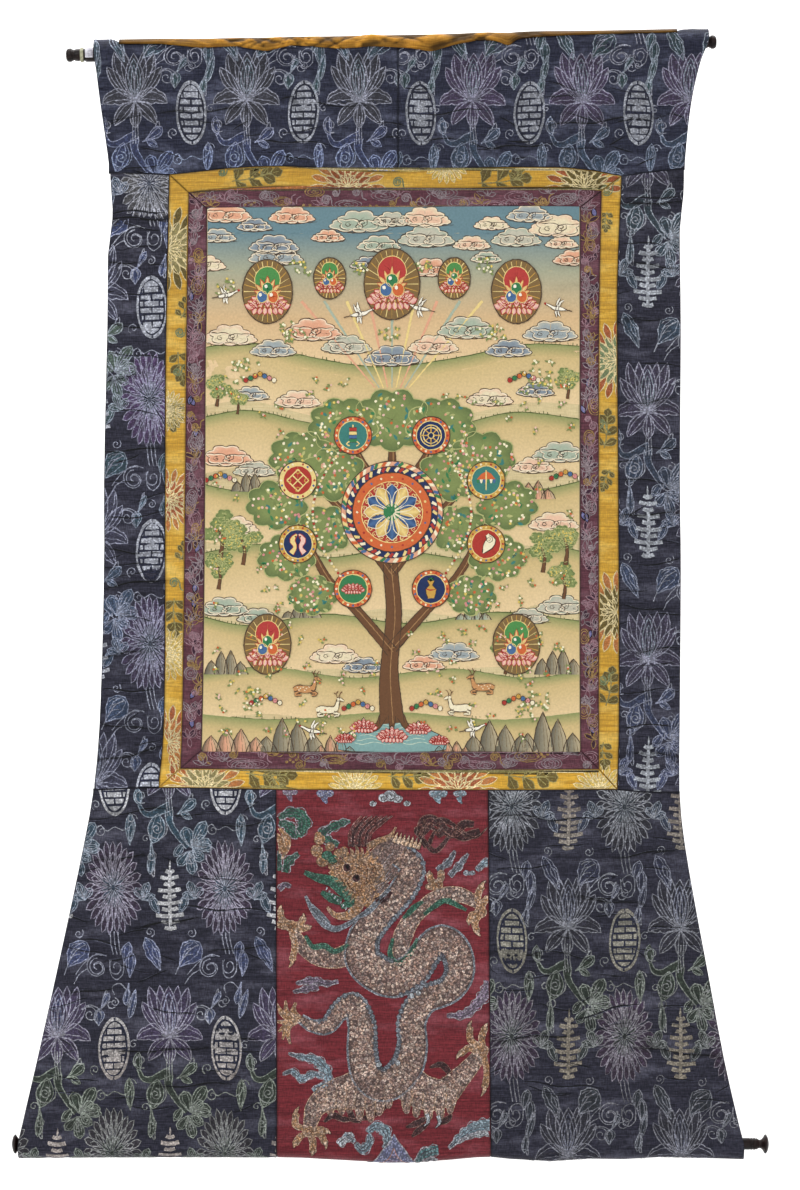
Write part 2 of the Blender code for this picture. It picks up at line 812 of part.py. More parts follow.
def knob(name, outline, tip, far_tip, material):
    """A knob with a socket, pushed on to the tenon that ends at tip."""
    inwards = (far_tip - tip).normalized()
    length = outline[-1].along
    socket = TENON_RADIUS + 1.15 * GAP
    profile = (Turn(0, 0),) + outline + (
        Turn(length, socket),
        Turn(length - TENON_LENGTH, socket),
        Turn(length - TENON_LENGTH, 0),
    )
    turned(name, profile, tip + inwards * (TENON_LENGTH - GAP - length), inwards, material)


def build():
    clear_scene()
    navy = finish_of("navy_brocade", NAVY)
    gold = finish_of("gold_brocade", GOLD)
    maroon = finish_of("maroon_brocade", MAROON)
    red = finish_of("red_brocade", RED)
    canvas = finish_of("painted_canvas", CANVAS)
    cover = finish_of("gold_silk", COVER)
    wood = finish_of("dark_wood", DARK_WOOD)

    outer = Ring(GOLD_LEFT, GOLD_RIGHT, SEAM_ABOVE, SEAM_BELOW)
    middle, inner = [
        Ring(
            through(UPRIGHTS, "height", cloth + "_left"),
            through(UPRIGHTS, "height", cloth + "_right"),
            through(ACROSS_TOP, "place", cloth),
            through(ACROSS_FOOT, "place", cloth),
        )
        for cloth in ("maroon", "picture")
    ]

    def seam(place, side):
        """A seam's edge on one of its two panels: side is -1 on the left one, 1 on the right."""
        return lambda height: place(height) + side * GAP / 2

    def top_seam(height):
        return TOP_SEAM

    top_panel("top_panel_left", EDGE_LEFT, seam(top_seam, -1), navy)
    top_panel("top_panel_right", seam(top_seam, 1), EDGE_RIGHT, navy)
    for side, left, right in (("left", EDGE_LEFT, GOLD_LEFT), ("right", GOLD_RIGHT, EDGE_RIGHT)):
        flat_sheet(
            "side_panel_" + side,
            left,
            right,
            SEAM_ABOVE,
            SEAM_BELOW,
            SIDE_COLUMNS,
            SIDE_ROW,
            navy,
        )
    foot_panel("bottom_panel_left", EDGE_LEFT, seam(door_left, -1), navy)
    foot_panel("door_panel", seam(door_left, 1), seam(door_right, -1), red)
    foot_panel("bottom_panel_right", seam(door_right, 1), EDGE_RIGHT, navy)
    for side in ("top", "foot", "left", "right"):
        place = "bottom" if side == "foot" else side
        border_strip("gold_border_" + place, outer, middle, side, gold)
        border_strip("maroon_border_" + place, middle, inner, side, maroon)
    flat_sheet(
        "picture_canvas",
        inner.left,
        inner.right,
        inner.top,
        inner.foot,
        FRAME_COLUMNS,
        PICTURE_ROW,
        canvas,
    )
    cover_silk(cover)
    rod_start = Vector((ROD_LEFT, 0, rod_height(ROD_LEFT)))
    rod_end = Vector((ROD_RIGHT, 0, rod_height(ROD_RIGHT)))
    stick("top_rod", ROD_RADIUS, rod_start, rod_end, wood)
    knob("top_knob_left", TOP_KNOB, rod_start, rod_end, wood)
    knob("top_knob_right", TOP_KNOB, rod_end, rod_start, wood)
    roller_start = Vector((ROLLER_LEFT, 0, ROLLER_HEIGHT))
    roller_end = Vector((ROLLER_RIGHT, 0, ROLLER_HEIGHT))
    stick("bottom_roller", ROLLER_RADIUS, roller_start, roller_end, wood)
    knob("bottom_knob_left", BOTTOM_KNOB, roller_start, roller_end, wood)
    knob("bottom_knob_right", BOTTOM_KNOB, roller_end, roller_start, wood)


build()
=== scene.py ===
import math
import random

import bmesh
import bpy
import numpy as np
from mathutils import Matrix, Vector
from mathutils.bvhtree import BVHTree


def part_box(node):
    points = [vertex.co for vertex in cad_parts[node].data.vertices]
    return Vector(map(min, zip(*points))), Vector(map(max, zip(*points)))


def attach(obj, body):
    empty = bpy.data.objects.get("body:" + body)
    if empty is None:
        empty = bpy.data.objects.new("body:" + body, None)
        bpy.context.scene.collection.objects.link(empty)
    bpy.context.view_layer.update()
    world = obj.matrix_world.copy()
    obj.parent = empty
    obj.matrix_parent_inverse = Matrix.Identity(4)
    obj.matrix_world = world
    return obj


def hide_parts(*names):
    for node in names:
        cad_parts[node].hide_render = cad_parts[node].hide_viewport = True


# A hanging scroll painting: canvas in two silk borders, navy brocade, a red door piece.
# Sizes are millimetres on the flat cloth; across is X, height is Z, and both turn into
# metres when a mesh is made. Height 0 is the middle of the top rod's axis.

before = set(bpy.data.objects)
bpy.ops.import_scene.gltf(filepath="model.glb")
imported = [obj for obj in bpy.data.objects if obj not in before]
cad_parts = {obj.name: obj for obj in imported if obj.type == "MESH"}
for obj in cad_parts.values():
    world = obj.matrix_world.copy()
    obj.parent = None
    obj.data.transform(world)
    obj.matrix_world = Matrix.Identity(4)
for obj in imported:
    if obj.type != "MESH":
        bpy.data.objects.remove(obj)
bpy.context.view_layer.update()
mm = 0.001
print("frame loaded:", len(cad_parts), "nodes")


def mix(a, b, share):
    return a + (b - a) * share


def ease(value, low, high):
    share = np.clip((value - low) / (high - low), 0, 1)
    return share * share * (3 - 2 * share)


def linear(hexColour):
    # sRGB hex to the linear values that Blender's sockets hold
    made = []
    for i in (1, 3, 5):
        value = int(hexColour[i:i + 2], 16) / 255
        made.append(value / 12.92 if value <= 0.04045 else ((value + 0.055) / 1.055) ** 2.4)
    return (*made, 1.0)


def setInputs(tree, node, inputs):
    # a socket is linked, and a value is set
    for socket, value in inputs.items():
        if isinstance(value, bpy.types.NodeSocket):
            tree.links.new(value, node.inputs[socket])
        else:
            node.inputs[socket].default_value = value


def addNode(tree, kind, inputs=None, **settings):
    made = tree.nodes.new(kind)
    for name, value in settings.items():
        setattr(made, name, value)
    setInputs(tree, made, inputs or {})
    return made


def newMaterial(name):
    made = bpy.data.materials.new(name)
    made.use_nodes = True
    return made, made.node_tree, made.node_tree.nodes["Principled BSDF"]


def crossed(a, b):
    return a[..., 0] * b[..., 1] - a[..., 1] * b[..., 0]


def makeObject(name, points, faces, material, colours=None, flat=None):
    # points in millimetres; colours and flat places are given for each point
    mesh = bpy.data.meshes.new(name)
    mesh.from_pydata((np.asarray(points) * mm).tolist(), [], faces)
    mesh.materials.append(material)
    mesh.shade_smooth()
    if colours is not None:
        layer = mesh.color_attributes.new("thread", "FLOAT_COLOR", "POINT")
        layer.data.foreach_set("color", np.asarray(colours, np.float32).ravel())
    if flat is not None:
        corners = np.empty(len(mesh.loops), np.int32)
        mesh.loops.foreach_get("vertex_index", corners)
        places = np.asarray(flat, np.float32)[corners] * mm
        mesh.uv_layers.new(name="flat").data.foreach_set("uv", places.ravel())
    made = bpy.data.objects.new(name, mesh)
    bpy.context.scene.collection.objects.link(made)
    return made


def meshOf(name):
    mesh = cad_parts[name].data
    points = np.array([vertex.co for vertex in mesh.vertices]) / mm
    edges = np.array([edge.vertices for edge in mesh.edges])
    return points, edges


def outlineOf(name, along):
    # the node's lowest and highest place across, at each place along (0 is X, 2 is Z)
    across = 2 - along
    points, edges = meshOf(name)
    start, end = points[edges[:, 0]], points[edges[:, 1]]
    places = np.linspace(points[:, along].min() + 0.02, points[:, along].max() - 0.02, 260)
    lows, highs = [], []
    for place in places:
        crosses = (start[:, along] - place) * (end[:, along] - place) < 0
        a, b = start[crosses], end[crosses]
        share = (place - a[:, along]) / (b[:, along] - a[:, along])
        found = mix(a[:, across], b[:, across], share)
        lows.append(found.min())
        highs.append(found.max())
    return (lambda p: np.interp(p, places, lows)), (lambda p: np.interp(p, places, highs))


rodPoints = meshOf("top_rod")[0]
rodEnds = [rodPoints[rodPoints[:, 0] < rodPoints[:, 0].min() + 1].mean(0)]
rodEnds.append(rodPoints[rodPoints[:, 0] > rodPoints[:, 0].max() - 1].mean(0))
rollerHeight = meshOf("bottom_roller")[0][:, 2].mean()


def rodHeight(place):
    return np.interp(place, [rodEnds[0][0], rodEnds[1][0]], [rodEnds[0][2], rodEnds[1][2]])


pockets = {
    "rodRadius": 12.9,       # outside of the cloth round the top rod
    "rollerRadius": 13.9,
    "topReach": 25.0,        # from the rod's axis down to the pocket's seam
    "footReach": 30.0,
    "leaves": math.radians(30),  # how far below level the cloth leaves the stick
    "halfCloth": 0.7,
    "openLeft": 3.3,         # how far the pocket's open ends stand off the stick
    "openRight": 1.6,
    "openLeftFrom": (-297, -289.5),
    "openRightFrom": (302, 308),
    "settles": 16,           # from a pocket's seam to where the cloth hangs as it lies
}


def pocketPath(radius, reach):
    # the cloth's outer face round a stick: arc length, Y, and distance from the axis away
    # from the panel, from the seam in front over to the seam behind
    lean, front = pockets["leaves"], pockets["halfCloth"]
    turns = np.linspace(math.pi + lean, -lean, 60)
    loop = np.stack([radius * np.cos(turns), radius * np.sin(turns)], 1)
    share = np.linspace(0, 1, 16)[:, None]
    tails = []
    for corner, side, end in ((loop[0], -1, -front), (loop[-1], 1, 3 * front)):
        run = np.array([-side * math.sin(lean), -math.cos(lean)]) * reach
        stop, stopRun = np.array([end, -reach]), np.array([0.0, -reach])
        tails.append((2 * share ** 3 - 3 * share ** 2 + 1) * corner
                     + (share ** 3 - 2 * share ** 2 + share) * run
                     + (3 * share ** 2 - 2 * share ** 3) * stop + (share ** 3 - share ** 2) * stopRun)
    path = np.concatenate([tails[0][:0:-1], loop, tails[1][1:]])
    arc = np.concatenate([[0], np.cumsum(np.linalg.norm(np.diff(path, axis=0), axis=1))])
    return arc, path[:, 0], path[:, 1]


topPath = pocketPath(pockets["rodRadius"], pockets["topReach"])
footPath = pocketPath(pockets["rollerRadius"], pockets["footReach"])
topLength, footLength = topPath[0][-1], footPath[0][-1]
footSeam = rollerHeight + pockets["footReach"]
footNodes = ("bottom_panel_left", "door_panel", "bottom_panel_right")
footLows = [outlineOf(name, 0)[0] for name in footNodes]
footSplits = [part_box(name)[1].x / mm for name in footNodes[:2]]


def footSag(place):
    low = np.select([place < footSplits[0], place < footSplits[1]],
                    [footLows[0](place), footLows[1](place)], footLows[2](place))
    return np.maximum(rollerHeight - pockets["rollerRadius"] - low, 0)


# Creases left by rolling the scroll: across, height, to across, to height, rise, spread.
# A rise over nought is a ridge, under it a trough; a tuck's cloth steps at its line.
creases = (
    (-302, -175, -241, -172, 1.2, 2.6), (-300, -181, -240, -180, -1.6, 2.4),
    (-300, -228, -268, -226, -0.9, 2.6), (-292, -262, -246, -258, 0.7, 3.0),
    (-303, -291, -262, -296, -0.8, 2.6), (-296, -322, -242, -330, 0.8, 3.4),
    (-305, -352, -260, -346, -0.7, 2.6), (-300, -383, -244, -388, 0.6, 3.0),
    (-305, -428, -246, -424, -1.0, 2.8), (-303, -462, -270, -458, 0.7, 2.6),
    (-306, -499, -243, -493, 0.9, 3.0), (-304, -531, -262, -536, -0.8, 2.6),
    (-306, -571, -243, -564, -1.1, 3.0), (-300, -602, -252, -607, 0.7, 2.8),
    (-309, -646, -262, -640, -0.8, 2.8), (-309, -681, -246, -680, 1.0, 3.0),
    (-312, -716, -258, -722, -0.8, 2.6), (-310, -756, -246, -742, -1.0, 3.0),
    (248, -159, 308, -158, 1.1, 2.6), (246, -165, 308, -163, -1.5, 2.4),
    (244, -205, 290, -210, 0.7, 2.8), (256, -229, 305, -233, -0.8, 2.6),
    (246, -290, 286, -286, -0.7, 2.8), (262, -332, 306, -338, 0.7, 2.8),
    (244, -377, 300, -372, -0.8, 3.0), (266, -422, 306, -426, 0.7, 2.6),
    (244, -456, 292, -462, -0.7, 2.6), (244, -496, 304, -492, -1.0, 3.0),
    (262, -548, 306, -542, 0.8, 2.8), (244, -590, 288, -596, -0.8, 2.8),
    (258, -640, 306, -636, -0.8, 3.0), (244, -684, 290, -680, 0.7, 2.8),
    (242, -720, 300, -717, 0.9, 2.8), (246, -746, 304, -750, -1.0, 2.6),
    (-296, -812, -240, -806, -0.8, 3.0), (-180, -826, -128, -820, -0.7, 3.0),
    (-318, -862, -262, -856, -0.9, 3.0), (-214, -878, -150, -884, 0.7, 3.2),
    (-270, -932, -205, -922, -1.3, 3.0), (-228, -911, -128, -914, 1.1, 3.0),
    (-330, -944, -286, -952, 0.9, 3.2), (-196, -958, -132, -952, -0.7, 3.0),
    (-346, -1004, -296, -996, -0.9, 3.2), (-262, -1018, -200, -1026, 0.8, 3.2),
    (-300, -1066, -196, -1060, -1.1, 3.2), (-180, -1046, -126, -1052, -0.8, 3.0),
    (-366, -1088, -310, -1096, 0.8, 3.2), (-250, -1102, -170, -1098, -0.8, 3.2),
    (112, -812, 166, -818, -0.8, 3.0), (165, -818, 232, -816, 1.2, 3.0),
    (236, -858, 300, -850, -0.8, 3.0), (110, -872, 168, -866, 0.7, 3.0),
    (196, -900, 262, -908, -0.9, 3.2), (268, -934, 322, -928, 0.8, 3.2),
    (108, -958, 160, -964, -0.9, 3.2), (190, -1030, 262, -1012, 1.3, 3.4),
    (112, -1052, 190, -1046, -0.9, 3.2), (262, -1060, 344, -1070, -0.9, 3.2),
    (140, -1096, 226, -1104, 0.8, 3.2), (-110, -868, -40, -862, -0.5, 3.0),
    (20, -900, 98, -906, 0.5, 3.2), (-112, -1000, -60, -1006, -0.5, 3.0),
    (30, -1040, 100, -1034, -0.6, 3.0), (-112, -1096, -30, -1090, 0.5, 3.2),
    (-250, -68, -150, -64, -0.7, 3.4), (-160, -96, -60, -102, 0.5, 3.4),
    (-100, -58, -20, -62, -0.6, 3.0), (30, -70, 110, -64, 0.6, 3.2),
    (160, -82, 290, -72, -0.8, 3.4), (90, -106, 180, -102, -0.5, 3.2),
)
clothNodes = [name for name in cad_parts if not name.startswith(("cover", "top_rod", "bottom_r"))
              and "knob" not in name]
lie = {
    "cell": 2.5,                 # of the grid that the lie is read on
    "across": (-405, 406),
    "high": (-1195, 31),
    "fineCreases": 420,
    "quiet": (196, -742, -172),  # the painting's half width, foot and top, where creases are faint
    "sides": (238, 246, 0.08),   # the sides, drawn paler as painted light: from, to, how much paler
    "sidesHigh": (-760, -165),
}
paintedLightFall = (  # height, tone: painted light and shade, paler at the foot and much paler in the strip under the borders, darker at the top
    (-1200, 1.05), (-789, 1.05), (-785, 1.24), (-767, 1.24), (-764, 0.93), (-745, 0.93), (-742, 1.0),
    (-170, 1.0), (-150, 0.87),
)


def readLie():
    # the front of the solid's folds on a grid, smoothed, then creased
    points, triangles = [], []
    for name in clothNodes:
        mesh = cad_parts[name].data
        start = len(points)
        points += [vertex.co / mm for vertex in mesh.vertices]
        triangles += [[start + i for i in face.vertices] for face in mesh.polygons]
    tree = BVHTree.FromPolygons(points, triangles)
    xs, zs = np.arange(*lie["across"], lie["cell"]), np.arange(*lie["high"], lie["cell"])
    front = np.full((len(xs), len(zs)), -pockets["halfCloth"])
    for j, z in enumerate(zs):
        if footSeam < z < -pockets["topReach"] + 6:
            row = [tree.ray_cast(Vector((x, -100, z)), Vector((0, 1, 0)))[0] for x in xs]
            hit = np.array([found is not None for found in row])
            front[:, j] = np.interp(xs, xs[hit], [found.y for found in row if found is not None])
    blur = np.exp(-np.square(np.arange(-6, 7) / 2.2))
    blur /= blur.sum()
    for axis in (0, 1):
        front = np.apply_along_axis(lambda a: np.convolve(np.pad(a, 6, "edge"), blur, "valid"), axis, front)
    x, z = np.meshgrid(xs, zs, indexing="ij")
    # painted light and shade, later multiplied into the colour of the cloth and its figures: paler sides and
    # foot, a darker top, darker crease hollows and paler ridges
    shade = np.ones_like(front)
    crumple = random.Random(7)
    near, far, paler = lie["sides"]
    lowest, highest = lie["sidesHigh"]
    shade *= np.where((z < highest) & (z > lowest), 1 + paler * ease(np.abs(x), near, far), 1)
    shade *= np.interp(z, *zip(*paintedLightFall))
    half, foot, top = lie["quiet"]
    lines = list(creases)
    for _ in range(lie["fineCreases"]):  # mostly level, as rolling leaves them
        cx, cz = crumple.uniform(-390, 390), crumple.uniform(-1130, -40)
        inside = abs(cx) < half and foot < cz < top
        run, lean = crumple.uniform(7, 26), crumple.uniform(-6, 6)
        deep = crumple.choice((-1, 1)) * crumple.uniform(0.10, 0.42) * (0.15 if inside else 1)
        lines.append((cx - run, cz - lean, cx + run, cz + lean, deep, crumple.uniform(2.2, 4.6)))
    for x0, z0, x1, z1, rise, spread in lines:
        near = (x > x0 - 18) & (x < x1 + 18) & (np.abs(z - (z0 + z1) / 2) < spread * 3 + abs(z1 - z0) + 4)
        px, pz = x[near], z[near]
        share = (px - x0) / (x1 - x0)
        wander = 1.3 * np.sin(px / 9.0 + z0)
        off = (pz - mix(z0, z1, np.clip(share, 0, 1)) - wander) / spread
        past = np.maximum(np.maximum(x0 - px, px - x1), 0) / 8
        front[near] -= rise * np.exp(-off * off - past * past)
        # painted shade in a hollow, painted highlight on a ridge
        creaseShade = max(-0.8, 0.66 * rise) if rise < 0 else 0.3 * rise
        shade[near] *= 1 + creaseShade * np.exp(-1.7 * off * off - past * past)
    return xs, zs, front, shade, lines


gridX, gridZ, lieGrid, shadeGrid, foldLines = readLie()
print("cloth's lie read from the frame, with", len(creases), "main creases")


def readGrid(grid, place, height):
    fx = np.clip((place - gridX[0]) / (gridX[1] - gridX[0]), 0, len(gridX) - 1.001)
    fz = np.clip((height - gridZ[0]) / (gridZ[1] - gridZ[0]), 0, len(gridZ) - 1.001)
    i, j = fx.astype(int), fz.astype(int)
    fx, fz = fx - i, fz - j
    return mix(mix(grid[i, j], grid[i + 1, j], fx), mix(grid[i, j + 1], grid[i + 1, j + 1], fx), fz)


def lieAt(place, height):
    settle = ease(rodHeight(place) - pockets["topReach"] - height, 0, pockets["settles"])
    settle = settle * ease(height - footSeam, 0, pockets["settles"])
    return mix(-pockets["halfCloth"], readGrid(lieGrid, place, height), settle)


def hang(place, height):
    # flat place to hung place; past a pocket's seam the height is measured round the pocket
    place, height = np.broadcast_arrays(np.asarray(place, float), np.asarray(height, float))
    axis = rodHeight(place)
    up = height - (axis - pockets["topReach"])
    down = footSeam - height
    y = lieAt(place, height)
    z = height.copy()
    aside, above = np.interp(up, topPath[0], topPath[1]), np.interp(up, topPath[0], topPath[2])
    opened = (mix(pockets["openLeft"], 0, ease(place, *pockets["openLeftFrom"]))
              + mix(0, pockets["openRight"], ease(place, *pockets["openRightFrom"])))
    swollen = 1 + opened / pockets["rodRadius"] * ease(above, -16, 2)
    y = np.where(up > 0, aside * swollen, y)
    z = np.where(up > 0, axis + above * swollen, z)
    away = np.interp(down, footPath[0], footPath[2])
    y = np.where(down > 0, np.interp(down, footPath[0], footPath[1]), y)
    sag = footSag(place) * ease(away, 0, 13)
    z = np.where(down > 0, rollerHeight - away - sag, z)
    return np.stack([place, y, z], -1)


def hangLifted(place, height, lift):
    # lift is how far the point stands off the cloth's face
    reach = 0.6
    across = hang(place + reach, height) - hang(place - reach, height)
    along = hang(place, height + reach) - hang(place, height - reach)
    normal = np.cross(across, along)
    normal /= np.maximum(np.linalg.norm(normal, axis=-1, keepdims=True), 1e-9)
    return hang(place, height) + normal * np.asarray(lift)[..., None]


def wovenCloth(name, warp, weft, streak, values):
    # plain or satin silk: a fine weave, darker in its creases and at its sewn edges as painted shade, paler
    # on ridges as painted highlight, with a cooler streak where rolling has rubbed it, and a soft sheen at
    # the edges
    made, tree, shader = newMaterial(name)
    flat = addNode(tree, "ShaderNodeUVMap", uv_map="flat").outputs[0]
    pitch = values["threadMm"] * mm
    weave = []
    for turn in (0, math.pi / 2):
        turned = addNode(tree, "ShaderNodeMapping", {"Vector": flat, "Rotation": (0, 0, turn)}).outputs[0]
        weave.append(addNode(tree, "ShaderNodeTexWave", {
            "Vector": turned, "Scale": 1 / (pitch * math.pi), "Distortion": 1.2,
            "Detail": 1.0, "Detail Scale": 2.0}, wave_type="BANDS", bands_direction="X").outputs["Fac"])
    threads = addNode(tree, "ShaderNodeMath", {0: weave[0], 1: weave[1]}, operation="MULTIPLY").outputs[0]
    slubs = addNode(tree, "ShaderNodeMapping", {"Vector": flat, "Scale": (24, 560, 1)}).outputs[0]
    slubbed = addNode(tree, "ShaderNodeTexNoise", {"Vector": slubs, "Scale": 1.0, "Detail": 3.0}).outputs[
        "Fac"]
    slub = addNode(tree, "ShaderNodeMapRange", {"Value": slubbed, "From Min": 0.3,
                   "From Max": 0.7}).outputs[0]
    cloudAt = addNode(tree, "ShaderNodeMapping", {"Vector": flat, "Scale": (14, 46, 1)}).outputs[0]
    cloud = addNode(tree, "ShaderNodeTexNoise", {"Vector": cloudAt, "Scale": 1.0, "Detail": 5.0,
                    "Roughness": 0.62}).outputs["Fac"]
    rubbed = addNode(tree, "ShaderNodeMapRange", {"Value": cloud, "From Min": 0.5, "From Max": 0.72,
                     "To Max": values["rubbed"]}).outputs[0]
    base = addNode(tree, "ShaderNodeMix", {0: slub, 6: linear(warp), 7: linear(weft)},
                   data_type="RGBA").outputs[2]
    worn = addNode(tree, "ShaderNodeMix", {0: rubbed, 6: base, 7: linear(streak)},
                   data_type="RGBA").outputs[2]
    picks = []
    for scale in ((150, 820, 1), (820, 170, 1)):
        at = addNode(tree, "ShaderNodeMapping", {"Vector": flat, "Scale": scale}).outputs[0]
        picks.append(addNode(tree, "ShaderNodeTexNoise",
                             {"Vector": at, "Scale": 1.0, "Detail": 2.0}).outputs["Fac"])
    pick = addNode(tree, "ShaderNodeMath", {0: picks[0], 1: picks[1]}, operation="MULTIPLY").outputs[0]
    grain = addNode(tree, "ShaderNodeMapRange", {
        "Value": pick, "From Min": 0.14, "From Max": 0.36, "To Min": 1 - values["grain"],
        "To Max": 1 + values["grain"]}).outputs[0]
    worn = addNode(tree, "ShaderNodeMix", {0: 1.0, 6: worn, 7: grain}, data_type="RGBA",
                   blend_type="MULTIPLY").outputs[2]
    # the edge attribute carries painted light and shade: shade along sewn edges and in creases and folds,
    # light on ridges and sides
    edge = addNode(tree, "ShaderNodeAttribute", attribute_name="edge").outputs["Fac"]
    dark = addNode(tree, "ShaderNodeMapRange", {"Value": edge, "From Max": 1.0, "To Min": values["seam"],
                   "To Max": 1.0}, clamp=False).outputs[0]
    sewn = addNode(tree, "ShaderNodeMix", {0: 1.0, 6: worn, 7: dark}, data_type="RGBA",
                   blend_type="MULTIPLY").outputs[2]
    height = addNode(tree, "ShaderNodeMath", {0: threads, 1: slub}, operation="ADD").outputs[0]
    bump = addNode(tree, "ShaderNodeBump", {"Height": height, "Strength": values["bump"],
                   "Distance": pitch * 0.5}).outputs[0]
    setInputs(tree, shader, {
        "Base Color": sewn, "Normal": bump, "Roughness": values["roughness"],
        "Specular IOR Level": values["gloss"], "Sheen Weight": values["sheen"], "Sheen Roughness": 0.4})
    return made


def threadMaterial(name, values):
    # floats of thread over the ground: their colour is on the mesh. The ties that hold a float
    # down break it into short bright beads, some of them grey, and rubbing has dulled it in patches
    made, tree, shader = newMaterial(name)
    thread = addNode(tree, "ShaderNodeVertexColor", layer_name="thread").outputs[0]
    flat = addNode(tree, "ShaderNodeUVMap", uv_map="flat").outputs[0]
    bead = addNode(tree, "ShaderNodeTexVoronoi",
                   {"Vector": flat, "Scale": 1 / (values["beadMm"] * mm)}).outputs[0]
    light = addNode(tree, "ShaderNodeMapRange", {"Value": bead, "From Min": 0.12, "From Max": 0.6,
                    "To Min": values["bright"], "To Max": values["dark"]}).outputs[0]
    pickAt = addNode(tree, "ShaderNodeMapping", {"Vector": flat, "Scale": (190, 760, 1)}).outputs[0]
    pick = addNode(tree, "ShaderNodeTexNoise", {"Vector": pickAt, "Scale": 1.0, "Detail": 2.0}).outputs["Fac"]
    worn = addNode(tree, "ShaderNodeTexNoise", {"Vector": flat, "Scale": 46.0, "Detail": 3.0}).outputs["Fac"]
    both = addNode(tree, "ShaderNodeMath", {0: pick, 1: worn}, operation="MULTIPLY").outputs[0]
    dull = addNode(tree, "ShaderNodeMapRange", {"Value": both, "From Min": 0.14, "From Max": 0.36,
                   "To Min": 1 - values["worn"], "To Max": 1 + values["worn"]}).outputs[0]
    shade = addNode(tree, "ShaderNodeMath", {0: light, 1: dull}, operation="MULTIPLY").outputs[0]
    chance = addNode(tree, "ShaderNodeTexVoronoi",
                     {"Vector": flat, "Scale": 0.8 / (values["beadMm"] * mm)}).outputs[1]
    other = addNode(tree, "ShaderNodeMapRange", {"Value": chance, "From Min": 0.3, "From Max": 0.9,
                    "To Max": values["mixed"]}).outputs[0]
    grey = addNode(tree, "ShaderNodeHueSaturation", {"Color": thread, "Saturation": 0.15,
                   "Value": 1.15}).outputs[0]
    plied = addNode(tree, "ShaderNodeMix", {0: other, 6: thread, 7: grey}, data_type="RGBA").outputs[2]
    tint = addNode(tree, "ShaderNodeMix", {0: 1.0, 6: plied, 7: shade}, data_type="RGBA",
                   blend_type="MULTIPLY").outputs[2]
    bumped = addNode(tree, "ShaderNodeBump", {"Height": bead, "Strength": values["bump"],
                     "Distance": 0.3 * mm}, invert=True).outputs[0]
    setInputs(tree, shader, {"Base Color": tint, "Normal": bumped, "Roughness": 0.55,
                             "Specular IOR Level": 0.2})
    return made


def paintMaterial(name):
    # ground minerals in glue on sized cotton: matt, with faint brush marks
    made, tree, shader = newMaterial(name)
    thread = addNode(tree, "ShaderNodeVertexColor", layer_name="thread").outputs[0]
    flat = addNode(tree, "ShaderNodeUVMap", uv_map="flat").outputs[0]
    brushed = addNode(tree, "ShaderNodeTexNoise", {"Vector": flat, "Scale": 420.0, "Detail": 3.0}).outputs[
        "Fac"]
    shade = addNode(tree, "ShaderNodeMapRange", {"Value": brushed, "From Min": 0.3, "From Max": 0.7,
                    "To Min": 0.95, "To Max": 1.12}).outputs[0]
    tint = addNode(tree, "ShaderNodeMix", {0: 1.0, 6: thread, 7: shade}, data_type="RGBA",
                   blend_type="MULTIPLY").outputs[2]
    bumped = addNode(tree, "ShaderNodeBump", {"Height": brushed, "Strength": 0.15,
                     "Distance": 0.2 * mm}).outputs[0]
    setInputs(tree, shader, {"Base Color": tint, "Normal": bumped, "Roughness": 0.82,
                             "Specular IOR Level": 0.2})
    return made


navyBrocade = wovenCloth("silk brocade, navy ground", "#1c1e31", "#363949", "#666a80",
                         {"threadMm": 0.9, "rubbed": 0.8, "seam": 0.25, "grain": 0.42, "bump": 0.5,
                          "roughness": 0.62, "sheen": 0.05, "gloss": 0.16})
slateBrocade = wovenCloth("silk brocade, slate ground", "#1e1e29", "#353542", "#5d5d6c",
                          {"threadMm": 0.9, "rubbed": 0.75, "seam": 0.25, "grain": 0.42, "bump": 0.5,
                          "roughness": 0.62, "sheen": 0.04, "gloss": 0.14})
goldSatin = wovenCloth("silk satin, gold", "#a87b1c", "#d6a736", "#eccb6c", {
    "threadMm": 0.7, "rubbed": 0.7, "seam": 0.3, "grain": 0.16, "bump": 0.3, "roughness": 0.42, "sheen": 0.08,
    "gloss": 0.3})
maroonSatin = wovenCloth("silk satin, maroon", "#4a2530", "#663a45", "#85606a", {
    "threadMm": 0.7, "rubbed": 0.7, "seam": 0.25, "grain": 0.3, "bump": 0.3, "roughness": 0.45, "sheen": 0.05,
    "gloss": 0.2})
redSatin = wovenCloth("silk satin, deep red", "#571a22", "#7a2b32", "#95525c", {
    "threadMm": 0.8, "rubbed": 0.75, "seam": 0.3, "grain": 0.3, "bump": 0.4, "roughness": 0.5, "sheen": 0.05,
    "gloss": 0.18})
coverSilk = wovenCloth("silk habotai, old gold", "#86591a", "#b5832f", "#6a4a1d",
                       {"threadMm": 0.6, "rubbed": 0.35, "seam": 0.15, "grain": 0.14, "bump": 0.25,
                        "roughness": 0.6, "sheen": 0.0, "gloss": 0.12})


